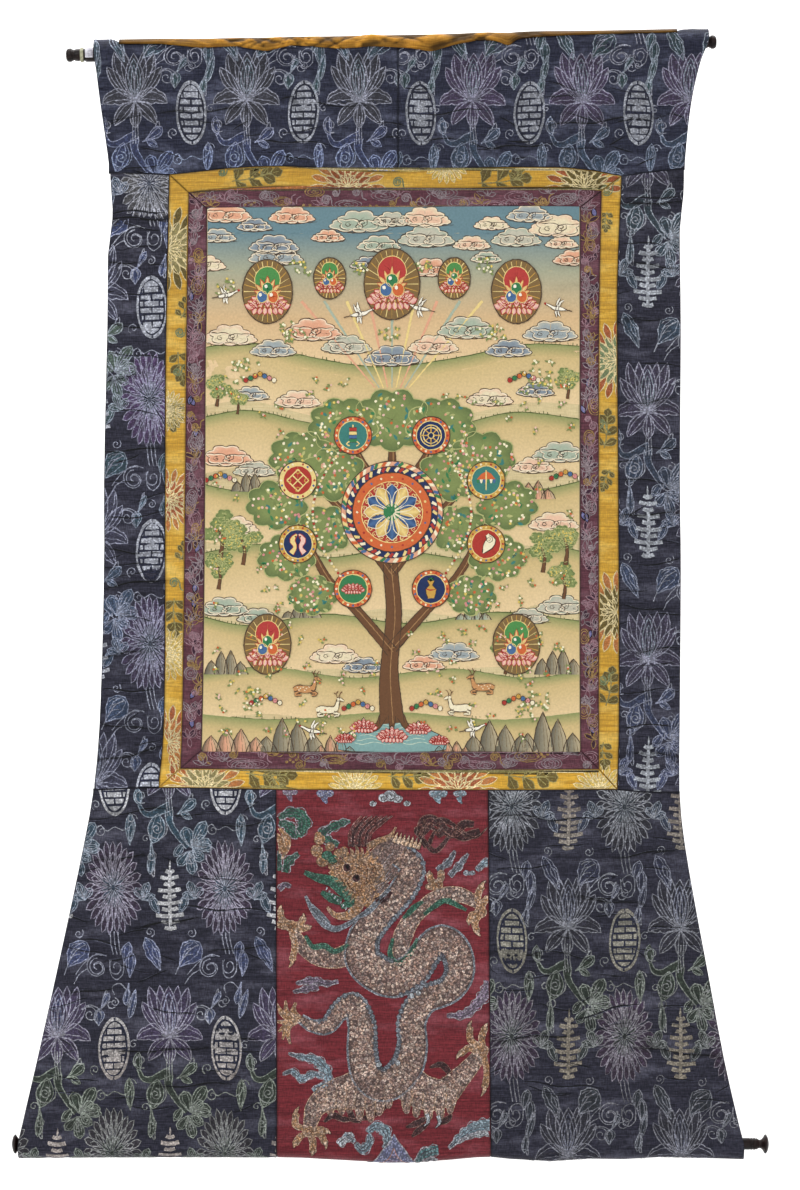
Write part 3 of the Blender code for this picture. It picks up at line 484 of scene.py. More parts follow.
def turnedWood(name, values):
    # close-grained wood, stained near black and waxed: the grain runs along the stick, the
    # lathe leaves fine rings, and handling has rubbed the stain brown on the proud parts
    made, tree, shader = newMaterial(name)
    place = addNode(tree, "ShaderNodeTexCoord").outputs["Object"]
    along = addNode(tree, "ShaderNodeMapping", {"Vector": place, "Scale": (60, 900, 900)}).outputs[0]
    grain = addNode(tree, "ShaderNodeTexNoise", {"Vector": along, "Scale": 1.0, "Detail": 4.0}).outputs["Fac"]
    rings = addNode(tree, "ShaderNodeTexWave",
                    {"Vector": place, "Scale": 1 / (values["ringMm"] * mm * 3.14), "Distortion": 0.6},
                    bands_direction="X").outputs["Fac"]
    wear = addNode(tree, "ShaderNodeTexNoise", {"Vector": place, "Scale": 130.0, "Detail": 4.0}).outputs[
        "Fac"]
    share = addNode(tree, "ShaderNodeMath", {0: grain, 1: wear}, operation="MULTIPLY").outputs[0]
    colour = addNode(tree, "ShaderNodeValToRGB", {0: share}).outputs[0]
    ramp = colour.node.color_ramp
    ramp.elements[0].position, ramp.elements[0].color = 0.16, linear(values["stain"])
    ramp.elements[1].position, ramp.elements[1].color = 0.46, linear(values["rubbed"])
    rough = addNode(tree, "ShaderNodeMapRange", {"Value": wear, "To Min": values["roughness"],
                    "To Max": values["roughness"] + 0.2}).outputs[0]
    relief = addNode(tree, "ShaderNodeMath", {0: rings, 1: grain}, operation="ADD").outputs[0]
    bump = addNode(tree, "ShaderNodeBump", {"Height": relief, "Strength": 0.25,
                   "Distance": 0.2 * mm}).outputs[0]
    setInputs(tree, shader, {
        "Base Color": colour, "Roughness": rough, "Normal": bump, "Specular IOR Level": 0.22,
        "Coat Weight": 0.04, "Coat Roughness": 0.25})
    return made


def bonePaint(name, pale, dark):
    # bone and gesso, hand worked: faint streaks, darker where dirt has stayed in them
    made, tree, shader = newMaterial(name)
    place = addNode(tree, "ShaderNodeTexCoord").outputs["Object"]
    stain = addNode(tree, "ShaderNodeTexNoise", {"Vector": place, "Scale": 260.0, "Detail": 4.0}).outputs[
        "Fac"]
    share = addNode(tree, "ShaderNodeMapRange", {"Value": stain, "From Min": 0.38,
                    "From Max": 0.62}).outputs[0]
    colour = addNode(tree, "ShaderNodeMix", {0: share, 6: linear(dark), 7: linear(pale)},
                     data_type="RGBA").outputs[2]
    bump = addNode(tree, "ShaderNodeBump", {"Height": stain, "Strength": 0.2,
                   "Distance": 0.2 * mm}).outputs[0]
    setInputs(tree, shader, {"Base Color": colour, "Normal": bump, "Roughness": 0.5})
    return made


darkWood = turnedWood("hardwood, turned, black stain and wax", {
    "stain": "#0a0506", "rubbed": "#2c1714", "ringMm": 0.9, "roughness": 0.36})
boneRing = bonePaint("bone, turned, aged olive", "#aeac90", "#7f7f66")
gesso = bonePaint("gesso, chipped", "#d9d8e0", "#9c98a4")
paintedCotton = wovenCloth("cotton canvas, sized and painted", "#cdbb8d", "#d8c79b", "#c4a97c", {
    "threadMm": 0.8, "rubbed": 0.6, "seam": 0.3, "grain": 0.08, "bump": 0.2, "roughness": 0.8, "sheen": 0.0,
    "gloss": 0.2})
# real ties stand under 1 mm apart: all three are drawn coarser, so that they show
satinThread = threadMaterial("silk floats, satin figures", {
    "beadMm": 1.7, "bright": 1.18, "dark": 0.7, "worn": 0.2, "bump": 0.3, "mixed": 0.12})
silverThread = threadMaterial("silk thread, silver grey", {
    "beadMm": 2.1, "bright": 1.36, "dark": 0.55, "worn": 0.3, "bump": 0.6, "mixed": 0.15})
dragonThread = threadMaterial("gilt and silk thread, laid", {
    "beadMm": 1.9, "bright": 1.5, "dark": 0.4, "worn": 0.2, "bump": 0.8, "mixed": 0.4})


def sharesAlong(length, step):
    # even shares with a few close ones at both ends, where the sewn edge rolls back
    edge = [0, 0.5, 1.3, 2.6]
    count = max(2, round((length - 2 * edge[-1]) / step))
    middle = np.linspace(edge[-1], length - edge[-1], count + 1)
    return np.concatenate([edge[:-1], middle, [length - e for e in edge[-2::-1]]]) / length


seam = {
    "allowance": 1.5,  # how far the edge goes under its neighbour
    "tucked": 1.7,     # and how far behind its face
    "dip": 0.45,       # how far the seam lies in
    "overlap": 0.12,
    "cloth": 1.1,      # thickness
}


def tuckEdge(places, dip, near, axis, end):
    # one more row past a sewn edge, turned under the cloth that it is sewn to
    def pick(grid, k):
        return np.take(grid, [k if end == 0 else -1 - k], axis=axis)

    edgeRow, nextRow = pick(places, 0), pick(places, 1)
    out = edgeRow - nextRow
    out /= np.maximum(np.linalg.norm(out, axis=-1, keepdims=True), 1e-6)
    at = [slice(None)] * 2
    at[axis] = slice(0, 1) if end == 0 else slice(-1, None)
    places[tuple(at)] = edgeRow + out * seam["overlap"]
    dip[tuple(at)] = np.minimum(dip[tuple(at)], -seam["dip"])
    under = edgeRow + out * seam["allowance"]
    joined = []
    for grid, row in ((places, under), (dip, pick(dip, 0) * 0 - seam["tucked"]), (near, pick(near, 0) * 0)):
        joined.append(np.concatenate([row, grid] if end == 0 else [grid, row], axis=axis))
    return joined


def sheetObject(name, node, flatX, flatZ, material, sewn=""):
    # a grid of flat places [across, down], hung and thickened behind;
    # sewn holds the first letters of the sides that are sewn: left, right, top, bottom
    places = np.stack([flatX, flatZ], -1)
    columns, rows = flatX.shape
    i, j = np.meshgrid(np.arange(columns), np.arange(rows), indexing="ij")
    steps = {"l": i, "r": columns - 1 - i, "t": j, "b": rows - 1 - j}
    near = np.min([steps[side] for side in sewn] + [np.full_like(i, 9)], axis=0).astype(float)
    free = np.min([steps[side] for side in "lr" if side not in sewn] + [np.full_like(i, 9)], axis=0)
    near = np.minimum(near, free + 1.5)
    dip = -0.12 * np.select([near <= 1], [1.0], 0.0) - 0.3 * (free == 0)
    for side in sewn:
        axis, end = {"l": (0, 0), "r": (0, 1), "t": (1, 0), "b": (1, 1)}[side]
        places, dip, near = tuckEdge(places, dip, near, axis, end)
    columns, rows = dip.shape
    i, j = np.meshgrid(np.arange(columns), np.arange(rows), indexing="ij")
    points = hangLifted(places[..., 0], places[..., 1], dip).reshape(-1, 3)
    at = (i * rows + j)[:-1, :-1].ravel()
    faces = np.stack([at, at + 1, at + rows + 1, at + rows], 1).tolist()
    made = makeObject(name, points, faces, material, flat=places.reshape(-1, 2))
    layer = made.data.attributes.new("edge", "FLOAT", "POINT")
    # painted shade along the sewn edges, a little along the free ones, times the painted light and shade of
    # the cloth's lie
    creased = readGrid(shadeGrid, places[..., 0], places[..., 1])
    layer.data.foreach_set("value", (np.clip(near / 3, 0, 1) * creased).ravel().astype(np.float32))
    thick = made.modifiers.new("thickness", "SOLIDIFY")
    thick.thickness, thick.offset = seam["cloth"] * mm, -1.0
    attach(made, "root")
    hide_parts(node)
    return made


def realHeight(place, height):
    return hang(place, height)[..., 2]


def panelGrid(node, topAt, footAt, step):
    # the flat places of a panel between its own side edges; topAt and footAt are its flat ends
    left, right = outlineOf(node, 2)
    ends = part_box(node)
    xs = np.linspace(ends[0].x, ends[1].x, 60) / mm
    # the edges aren't read in the slices that a wavy seam or the slope of a stick leaves partial
    highest = rodHeight(xs).min() + 8 if topAt is topPocketEnd else topAt(xs).min() - 3
    lowest = rollerHeight if footAt is footPocketEnd else footAt(xs).max() + 3
    middle = xs.mean()
    high, low = float(topAt(middle)), float(footAt(middle))
    width = float(right((highest + lowest) / 2) - left((highest + lowest) / 2))
    s, t = np.meshgrid(sharesAlong(width, step), sharesAlong(high - low, step), indexing="ij")
    x = np.full_like(s, middle)
    for _ in range(8):
        z = mix(topAt(x), footAt(x), t)
        real = np.clip(realHeight(x, z), lowest, highest)
        x = mix(left(real), right(real), s)
    return x, z


def topPocketEnd(place):
    return rodHeight(place) - pockets["topReach"] + topLength


def footPocketEnd(place):
    return footSeam - footLength + 0 * place


def cornersOf(node):
    points = meshOf(node)[0]
    made = {}
    for side, sx in (("left", -1), ("right", 1)):
        for end, sz in (("top", 1), ("bottom", -1)):
            made[side, end] = points[np.argmax(points[:, 0] * sx + points[:, 2] * sz)][[0, 2]]
    return made


def seamOf(node, end):
    # the height of a panel's top or bottom seam, held level past its corners
    read = outlineOf(node, 0)[1 if end == "top" else 0]
    corner = cornersOf(node)
    first, last = corner["left", end][0], corner["right", end][0]
    return lambda place: read(np.clip(place, first + 2.6, last - 2.6))


panelStep = 3.6
panels = {  # node: material and sewn sides; where the top or the foot isn't sewn, it is a pocket
    "top_panel_left": (navyBrocade, "rb"),
    "top_panel_right": (navyBrocade, "lb"),
    "side_panel_left": (slateBrocade, "rtb"),
    "side_panel_right": (slateBrocade, "ltb"),
    "bottom_panel_left": (slateBrocade, "rt"),
    "door_panel": (redSatin, "lrt"),
    "bottom_panel_right": (slateBrocade, "lt"),
}
for node, (material, sewn) in panels.items():
    topAt = seamOf(node, "top") if "t" in sewn else topPocketEnd
    footAt = seamOf(node, "bottom") if "b" in sewn else footPocketEnd
    x, z = panelGrid(node, topAt, footAt, panelStep)
    sheetObject(node + "_cloth", node, x, z, material, sewn)
print("brocade panels hung")


def ringEdge(ring, side, shares):
    # places along one side of a rectangle of seams, from its left or top corner
    start, end, read = ring[side]
    along = mix(start, end, shares)
    off = read(mix(start, end, np.clip(shares, 0.01, 0.99)))
    return np.stack([along, off] if side in ("top", "bottom") else [off, along], -1)


def ringOf(corner, reads):
    made = {}
    for side in ("top", "bottom"):
        made[side] = (corner["left", side][0], corner["right", side][0], reads[side])
    for side in ("left", "right"):
        made[side] = (corner[side, "top"][1], corner[side, "bottom"][1], reads[side])
    return made


def borderCorners(stem):
    return {(side, end): cornersOf(stem + side)[side, end]
            for side in ("left", "right") for end in ("top", "bottom")}


def borderReads(stem, strips=True):
    made = {}
    for side, along, pick in (("top", 0, 1), ("bottom", 0, 0), ("left", 2, 0), ("right", 2, 1)):
        made[side] = outlineOf(stem + side if strips else stem, along)[pick]
    return made


goldRing = ringOf(borderCorners("gold_border_"), borderReads("gold_border_"))
maroonRing = ringOf(borderCorners("maroon_border_"), borderReads("maroon_border_"))
pictureRing = ringOf(cornersOf("picture_canvas"), borderReads("picture_canvas", False))


def borderStrip(node, outer, inner, side, material):
    upright = side in ("left", "right")
    length = abs(outer[side][1] - outer[side][0])
    shares = sharesAlong(length, panelStep)
    a, b = ringEdge(outer, side, shares), ringEdge(inner, side, shares)
    width = float(np.linalg.norm(a[len(a) // 2] - b[len(b) // 2]))
    if side in ("bottom", "right"):
        a, b = b, a
    across = sharesAlong(width, 2.6)
    grid = mix(a[:, None, :], b[:, None, :], across[None, :, None])
    x, z = grid[..., 0], grid[..., 1]
    if upright:
        x, z = x.T, z.T
    sheetObject(node + "_cloth", node, x, z, material, "lrtb")


for side in ("top", "bottom", "left", "right"):
    borderStrip("gold_border_" + side, goldRing, maroonRing, side, goldSatin)
    borderStrip("maroon_border_" + side, maroonRing, pictureRing, side, maroonSatin)
print("silk borders mitred round the picture")

canvasX, canvasZ = panelGrid("picture_canvas", seamOf("picture_canvas", "top"),
    seamOf("picture_canvas", "bottom"), 4.0)
sheetObject("picture_canvas_cloth", "picture_canvas", canvasX, canvasZ, paintedCotton, "lrtb")


# The cover: thrown back over the rod, with its lower lip in front.
cover = {
    "left": -289.0,
    "right": 302.0,
    "hem": 750.0,            # below the rod, behind
    "step": 3.0,
    "silk": 0.9,             # thickness
    "innerRadius": 13.9,
    "outerRadius": 15.5,
    "turnedIn": math.radians(24),  # how far the lip goes back up behind its front
    "crumples": 58,
    "darkerLeft": (-262, -190, 0.42),  # from, to, tone at the end
    "darkerRight": (96, 190, 0.36),
}
coverStandsOff = ((-289, 0.2), (-200, 0.5), (-140, 0.9), (130, 0.9), (180, 0.0), (232, -0.4), (302, -0.4))
coverLip = (  # place, height above the rod's axis
    (-289, 12), (-245, 11), (-204, 5.2), (-165, 6), (-133, -0.6), (-105, 6), (-55, 0.5), (-18, 2.6),
    (20, -0.5), (42, -4.9), (66, 2.5), (92, 7.5), (106, 6.8), (114, 4.5), (121, 0.4), (125, 0.2),
    (130, 6.0), (137, 8.5), (158, 10.4), (185, 11.6), (232, 12.4), (302, 12.6),
)
coverFolds = (  # place, how far back the hanging cloth stands at its hem
    (-289, 4), (-235, -2), (-180, 5), (-120, -1), (-60, 6), (0, 0), (60, 5), (125, -2), (185, 6),
    (245, 0), (302, 4),
)
coverPuckers = (  # place and turn of the ends of a slanting fold in the lip, rise, spread
    (-205, 0.3, -150, 1.3, 0.9, 5), (-150, 0.2, -118, 1.3, -0.8, 4), (-120, 1.3, -70, 0.2, 0.9, 6),
    (-118, 0.9, -64, 0.1, -0.9, 4), (-60, 1.4, -20, 0.4, 0.8, 6), (-30, 1.5, 20, 0.6, -0.7, 4),
    (18, 1.6, 60, 0.2, 1.1, 6), (44, 1.7, 96, 0.4, -1.1, 4), (60, 1.2, 30, 0.1, 0.8, 5),
    (88, 1.0, 128, 0.2, 0.9, 4), (128, 1.3, 160, 0.3, -0.8, 4), (110, 1.3, 84, 0.3, 0.7, 4),
    (-262, 1.0, -215, 0.2, 0.5, 4), (180, 0.9, 240, 0.2, 0.5, 4), (236, 0.9, 290, 0.3, -0.5, 4),
)


def smoothTable(table, places, spread):
    fine = np.arange(table[0][0] - 60, table[-1][0] + 60, 1.0)
    values = np.interp(fine, *zip(*table))
    blur = np.exp(-np.square(np.arange(-30, 31) / spread))
    return np.interp(places, fine, np.convolve(np.pad(values, 30, "edge"), blur / blur.sum(), "valid"))


def coverGrid():
    c = cover
    x = np.linspace(c["left"], c["right"], round((c["right"] - c["left"]) / c["step"]) + 1)[:, None]
    off = smoothTable(coverStandsOff, x, 12)
    lip = np.arccos(smoothTable(coverLip, x, 3) / (c["outerRadius"] + off + 0.5))
    inside, outside = c["innerRadius"] + off, c["outerRadius"] + off - 0.5 * ease(x, 150, 200)
    over = c["innerRadius"] + np.minimum(off, 0)
    radius, turn = [], []
    for share in np.linspace(1, 0, 5):  # the part turned in behind the lip
        radius.append(inside + 0 * x)
        turn.append(lip - c["turnedIn"] * share)
    for bend in np.linspace(0.2, 0.8, 4) * math.pi:  # round the lip's fold
        radius.append((inside + outside) / 2 - (outside - inside) / 2 * np.cos(bend) + 0 * x)
        turn.append(lip + math.radians(3.4) * math.sin(bend))
    for share in np.linspace(0, 1, 26):  # up the front
        turn.append(lip * (1 - share))
        settle = ease(lip * share, c["turnedIn"], lip)
        radius.append(mix(outside, over, settle))
    for share in np.linspace(0.1, 1, 10):  # over the top
        turn.append(0 * x - math.pi / 2 * share)
        radius.append(over)
    turn, radius = np.concatenate(turn, 1), np.concatenate(radius, 1)
    proud = ease(turn, 0.25, 0.95) * (np.arange(turn.shape[1]) > 6)
    tone = 0 * turn
    small = random.Random(4)
    crumples = []
    for _ in range(c["crumples"]):  # smaller ones, mostly slanting
        place, slant = small.uniform(-225, 140), small.choice((-1, 1, 1)) * small.uniform(10, 42)
        crumples.append((place, small.uniform(0.1, 0.6), place + slant, small.uniform(0.9, 1.6),
                         small.choice((-1.0, 0.7)), small.uniform(1.5, 2.7)))
    for x0, t0, x1, t1, rise, spread in coverPuckers + tuple(crumples):
        # how far along the fold's line, and how far off it, with a turn's length squared as 400
        share = np.clip(((x - x0) * (x1 - x0) + (turn - t0) * 400 * (t1 - t0))
                        / ((x1 - x0) ** 2 + 400 * (t1 - t0) ** 2), 0, 1)
        off = (x - mix(x0, x1, share)) ** 2 + ((turn - mix(t0, t1, share)) * 16) ** 2
        fold = rise * np.exp(-off / (0.8 * spread) ** 2)
        radius = radius + proud * fold
        # each fold is also painted into the colour, as shade in its hollow and highlight on its ridge
        tone = tone + fold
    axis = rodHeight(x)
    y, z = -radius * np.sin(turn), axis + radius * np.cos(turn)
    down = np.linspace(0, 1, 70)[1:]
    hangZ = mix(axis, -c["hem"], down)
    swing = smoothTable(coverFolds, x, 18) * ease(-hangZ, 10, 320)
    ripple = 0.5 * np.sin(hangZ / 7.0 + 1.3 * np.sin(x / 31)) * np.sin(x / 47 + hangZ / 90)
    ripple = ripple * ease(-hangZ, 40, 90)
    y = np.concatenate([y, c["innerRadius"] + swing + ripple], 1)
    z = np.concatenate([z, hangZ], 1)
    # painted shade in the hollows of the folds and painted highlight on their ridges; darker at both thin
    # ends
    near, far, tint = c["darkerLeft"]
    ends = mix(tint, 1, ease(x, near, far))
    near, far, tint = c["darkerRight"]
    ends = ends * mix(1, tint, ease(x, near, far))
    tone = np.clip(0.6 + 0.9 * tone, 0.03, 1.5) * ends
    tone = np.concatenate([tone, 0.8 + 0 * hangZ], 1)
    return np.stack([x + 0 * y, y, z], -1), tone


def makeCover():
    grid, tone = coverGrid()
    columns, rows = grid.shape[:2]
    step = np.linalg.norm(np.diff(grid, axis=1), axis=-1)
    arc = np.concatenate([np.zeros((columns, 1)), np.cumsum(step, axis=1)], axis=1)
    i, j = np.meshgrid(np.arange(columns), np.arange(rows), indexing="ij")
    at = (i * rows + j)[:-1, :-1].ravel()
    faces = np.stack([at, at + rows, at + rows + 1, at + 1], 1).tolist()
    flat = np.stack([grid[..., 0], -arc], -1).reshape(-1, 2)
    made = makeObject("cover_silk_cloth", grid.reshape(-1, 3), faces, coverSilk, flat=flat)
    edge = np.clip(np.minimum(np.minimum(i, columns - 1 - i), rows - 1 - j) / 2, 0, 1)
    # the tone holds the folds' painted shade and highlight, and is darker along the ends and the hem
    layer = made.data.attributes.new("edge", "FLOAT", "POINT")
    layer.data.foreach_set("value", (edge * tone).ravel().astype(np.float32))
    thick = made.modifiers.new("thickness", "SOLIDIFY")
    thick.thickness, thick.offset = cover["silk"] * mm, 0.0
    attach(made, "root")
    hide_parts("cover_silk")


makeCover()
print("cover thrown back over the rod")

# The sticks' turned end knobs: distance from the outer end, and radius.
knobs = {
    "sides": 48,
    "socket": 3.9,
    "socketDepth": 9.0,
    "boneRing": (15.1, 18.9),  # from the outer end of the left top knob
    "gesso": (20.9, 28.5),
}
topKnob = (
    (0, 0), (0.02, 1.6), (0.5, 2.0), (0.5, 2.5), (0.1, 2.9), (0.25, 4.4), (0.9, 5.6), (2.0, 6.7),
    (3.2, 7.2), (5.2, 7.25), (6.2, 6.9), (6.6, 6.2), (7.0, 6.1), (7.6, 6.2), (8.0, 5.7), (8.8, 5.5),
    (9.4, 5.8), (10.4, 6.3), (13.4, 6.5), (14.6, 6.3), (15.1, 6.5), (15.4, 7.5), (15.9, 7.9), (17.2, 8.0),
    (18.4, 7.8), (18.8, 7.2), (19.1, 6.3), (19.8, 6.2), (20.6, 7.0), (21.4, 7.5), (24.0, 7.6), (27.5, 7.6),
    (29.0, 7.6), (34.0, 7.6),
)
bottomKnob = (
    (0, 0), (0.05, 1.8), (0.4, 3.6), (1.0, 6.0), (1.8, 8.2), (2.9, 9.7), (3.7, 10.2), (4.4, 10.0), (5.0, 9.2),
    (5.8, 7.8), (7.2, 5.8), (8.4, 4.8), (9.6, 4.4), (10.6, 4.5), (11.6, 5.0), (12.6, 5.7), (13.4, 6.0),
    (13.8, 5.6), (14.2, 5.6), (14.6, 6.2), (16.4, 6.3), (16.8, 5.8), (17.3, 5.8), (17.7, 6.3), (19.3, 6.3),
    (19.7, 5.8), (20.2, 5.8), (20.6, 6.2), (31.5, 6.2),
)


def turnedKnob(node, outline):
    # lathe-turned about the stick's axis, from the node's outer end
    points = meshOf(node)[0]
    ends = []
    for place in (points[:, 0].min(), points[:, 0].max()):
        ends.append(points[np.abs(points[:, 0] - place) < 1.2].mean(0))
    outer, inner = ends if "left" in node else ends[::-1]
    start = Vector(outer)
    along = (Vector(inner) - start).normalized()
    side = along.cross(Vector((0, 1, 0))).normalized()
    up = side.cross(along)
    length = outline[-1][0]
    bottom = length - knobs["socketDepth"]
    profile = [*outline, (length, knobs["socket"]), (bottom, knobs["socket"]), (bottom, 0)]
    count, made, faces = knobs["sides"], [], []
    for reach, radius in profile[1:-1]:
        for k in range(count):
            turn = 2 * math.pi * k / count
            made.append(start + along * reach + (side * math.cos(turn) + up * math.sin(turn)) * radius)
    rings = len(profile) - 2
    for r in range(rings - 1):
        for k in range(count):
            a, b = r * count + k, r * count + (k + 1) % count
            faces.append((a, b, b + count, a + count))
    made += [start + along * profile[0][0], start + along * profile[-1][0]]
    for k in range(count):
        faces.append((len(made) - 2, (k + 1) % count, k))
        last = (rings - 1) * count
        faces.append((len(made) - 1, last + k, last + (k + 1) % count))
    piece = makeObject(node + "_turned", [tuple(point) for point in made], faces, darkWood)
    if node == "top_knob_left":  # a bone ring, and gesso left in front of it on the collar
        for finish in (boneRing, gesso):
            piece.data.materials.append(finish)
        for face in piece.data.polygons:
            reach = (face.center / mm - start).dot(along)
            aside = face.center / mm - start - along * reach
            if knobs["boneRing"][0] < reach < knobs["boneRing"][1]:
                face.material_index = 1
            elif knobs["gesso"][0] < reach < knobs["gesso"][1] and aside.y < -2.5 and aside.z > -3.5:
                face.material_index = 2
    piece.data.polygons.foreach_set("use_smooth", [True] * len(piece.data.polygons))
    piece.data.set_sharp_from_angle(angle=math.radians(50))
    shell = bmesh.new()
    shell.from_mesh(piece.data)
    bmesh.ops.recalc_face_normals(shell, faces=shell.faces)
    shell.to_mesh(piece.data)
    shell.free()
    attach(piece, "root")
    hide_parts(node)


for end, outline in (("top", topKnob), ("bottom", bottomKnob)):
    for side in ("left", "right"):
        turnedKnob("%s_knob_%s" % (end, side), outline)
for node in ("top_rod", "bottom_roller"):
    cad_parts[node].data.materials[0] = darkWood
print("knobs turned and sticks stained")


# Drawing on cloth: everything is laid out flat, [place, height] in millimetres, as strips of
# faces between rails. A part name says which thread a face is woven or stitched in.
brocadeFills = ("flower", "heart", "lotus", "lotusHeart", "leaf", "vine")
partNames = ["outline", "emblem", "joint", *brocadeFills, *(fill + "Edge" for fill in brocadeFills)]


def partOf(name):
    if name not in partNames:
        partNames.append(name)
    return partNames.index(name)


def newDrawing(painted=False):
    return {"flat": [], "lift": [], "part": [], "faces": [], "count": 0, "painted": painted}


def addStrip(drawing, rails, lifts, part):
    # rails run side by side with the same number of points; part is one name, or one a rail
    across, along = len(rails), len(rails[0])
    start = drawing["count"]
    drawing["flat"].append(np.concatenate(rails))
    drawing["lift"].append(np.repeat(np.asarray(lifts, float), along))
    names = [part] * across if isinstance(part, str) else part
    drawing["part"].append(np.repeat([partOf(name) for name in names], along))
    drawing["count"] += across * along
    at = start + (np.arange(across - 1)[:, None] * along + np.arange(along - 1)[None, :]).ravel()
    drawing["faces"].append(np.stack([at, at + along, at + along + 1, at + 1], 1))


def joinDrawing(drawing, other):
    drawing["faces"] += [faces + drawing["count"] for faces in other["faces"]]
    for kept in ("flat", "lift", "part"):
        drawing[kept] += other[kept]
    drawing["count"] += other["count"]


def smooth(points, closed=False, step=2.4):
    # an even Catmull-Rom path through the points
    points = np.asarray(points, float)
    if closed:
        points = np.concatenate([points[-1:], points, points[:2]])
    else:
        points = np.concatenate([2 * points[:1] - points[1:2], points, 2 * points[-1:] - points[-2:-1]])
    t = np.linspace(0, 1, 9)[:-1, None]
    made = []
    for a, b, c, d in zip(points, points[1:], points[2:], points[3:]):
        made.append(0.5 * (2 * b + (c - a) * t + (2 * a - 5 * b + 4 * c - d) * t ** 2
                           + (3 * b - a - 3 * c + d) * t ** 3))
    made = np.concatenate(made + [points[-2:-1]])
    arc = np.concatenate([[0], np.cumsum(np.linalg.norm(np.diff(made, axis=0), axis=1))])
    even = np.linspace(0, arc[-1], max(3, int(arc[-1] / step) + 2))
    return np.stack([np.interp(even, arc, made[:, 0]), np.interp(even, arc, made[:, 1])], 1)


def sideways(points, closed=False):
    run = np.gradient(points, axis=0)
    if closed:
        run[0] = run[-1] = points[1] - points[-2]
    run /= np.maximum(np.linalg.norm(run, axis=1, keepdims=True), 1e-9)
    return np.stack([-run[:, 1], run[:, 0]], 1)


def addLine(drawing, points, width=1.25, part="outline", rise=0.5, closed=False, taper=False):
    points = np.asarray(points, float)
    if closed:
        points = np.concatenate([points, points[:1]])
    off = sideways(points, closed) * width / 2
    if taper:
        off = off * np.clip(np.sin(np.linspace(0.12, 3.02, len(points))) * 1.5, 0, 1)[:, None]
    if drawing["painted"]:  # a stroke of paint is flat, a thread is round
        addStrip(drawing, [points + off, points - off], [rise, rise], part)
    else:
        addStrip(drawing, [points + off, points, points - off], [0.3, rise, 0.3], part)


def addLeaf(drawing, rails, part, width, edge, lifts=(0.12, 0.2, 0.12), rise=0.5):
    # a filled shape between its rails, with a line round both sides of it
    addStrip(drawing, rails, lifts, part)
    addLine(drawing, np.concatenate([rails[0], rails[-1][-2::-1]]), width, edge, rise)


def bowOf(start, end, bend):
    # how far the middle of a stroke stands aside, as a share of its length
    run = np.asarray(end, float) - np.asarray(start, float)
    return np.array([-run[1], run[0]]) * bend


def onOval(centre, half, high, turn):
    return centre[0] + half * math.sin(turn), centre[1] + high * math.cos(turn)


def placed(points, centre, size, hand=1):
    # points of a figure drawn about nought, at its size and place; hand -1 mirrors it
    x, z = centre
    return [(x + hand * px * size, z + pz * size) for px, pz in points]


def petalRails(base, angle, length, half, bend=0.0, full=0.5, steps=None, scallops=0, blunt=1.0):
    # a petal or leaf from its base, at an angle from straight up; bend turns its tip
    steps = steps or max(5, int(length / 3.4) + 2)
    t = np.linspace(0, 1, steps)
    turn = math.radians(angle) + math.radians(bend) * t
    run = np.stack([np.sin(turn), np.cos(turn)], 1) * length / (steps - 1)
    centre = np.asarray(base, float) + np.concatenate([[[0, 0]], np.cumsum((run[1:] + run[:-1]) / 2, axis=0)])
    power = math.log(0.5) / math.log(full)
    wide = half * np.sin(math.pi * t ** power) ** (0.8 * blunt)
    if scallops:
        wide = wide * (1 + 0.22 * np.abs(np.sin(math.pi * scallops * t)) - 0.1)
    off = sideways(centre) * wide[:, None]
    return centre + off, centre, centre - off


def addPetal(drawing, base, angle, length, half, fill, line=1.0, **shape):
    left, centre, right = petalRails(base, angle, length, half, **shape)
    edge = fill + "Edge" if fill in brocadeFills else "outline"
    addStrip(drawing, [left, centre, right], [0.12, 0.2, 0.12], fill)
    if line:
        addLine(drawing, np.concatenate([left, right[-2::-1]]), line, edge)
    if fill in ("leaf", "vine") and half > 3:  # the loom draws these leaves twice, one in the other
        inner = np.concatenate([mix(centre, left, 0.5)[1:-1], mix(centre, right, 0.5)[-2:0:-1]])
        addLine(drawing, inner, 0.75, edge)
    return left, centre, right


def spiral(centre, radius, start, turns, shrink=0.15, step=2.2, squeeze=1.0):
    # inwards from its outer end; turns below nought go clockwise; angles from straight up
    count = max(8, int(abs(turns) * 2 * math.pi * radius * 0.62 / step))
    t = np.linspace(0, 1, count)
    turn = math.radians(start) + turns * 2 * math.pi * t
    r = radius * mix(1, shrink, t)
    return np.stack([centre[0] + r * np.sin(turn) * squeeze, centre[1] + r * np.cos(turn)], 1)


def ring(centre, half, high, count=None):
    count = count or max(10, int(math.pi * (half + high) / 2.4))
    t = np.linspace(0, 2 * math.pi, count, endpoint=False)
    return np.stack([centre[0] + half * np.sin(t), centre[1] + high * np.cos(t)], 1)


def addRing(drawing, centre, half, high, width, part="outline", rise=0.5, count=None):
    addLine(drawing, ring(centre, half, high, count), width, part, rise, closed=True)


def addDisc(drawing, centre, half, high, part, lift=0.15, count=None):
    edge = ring(centre, half, high, count)
    edge = np.concatenate([edge, edge[:1]])
    middle = np.asarray(centre, float) + (edge - centre) * 0.5
    if drawing["painted"]:
        addStrip(drawing, [edge, middle * 0 + centre], [lift, lift + 0.05], part)
    else:
        addStrip(drawing, [edge, middle, middle * 0 + centre], [lift, lift + 0.05, lift + 0.08], part)


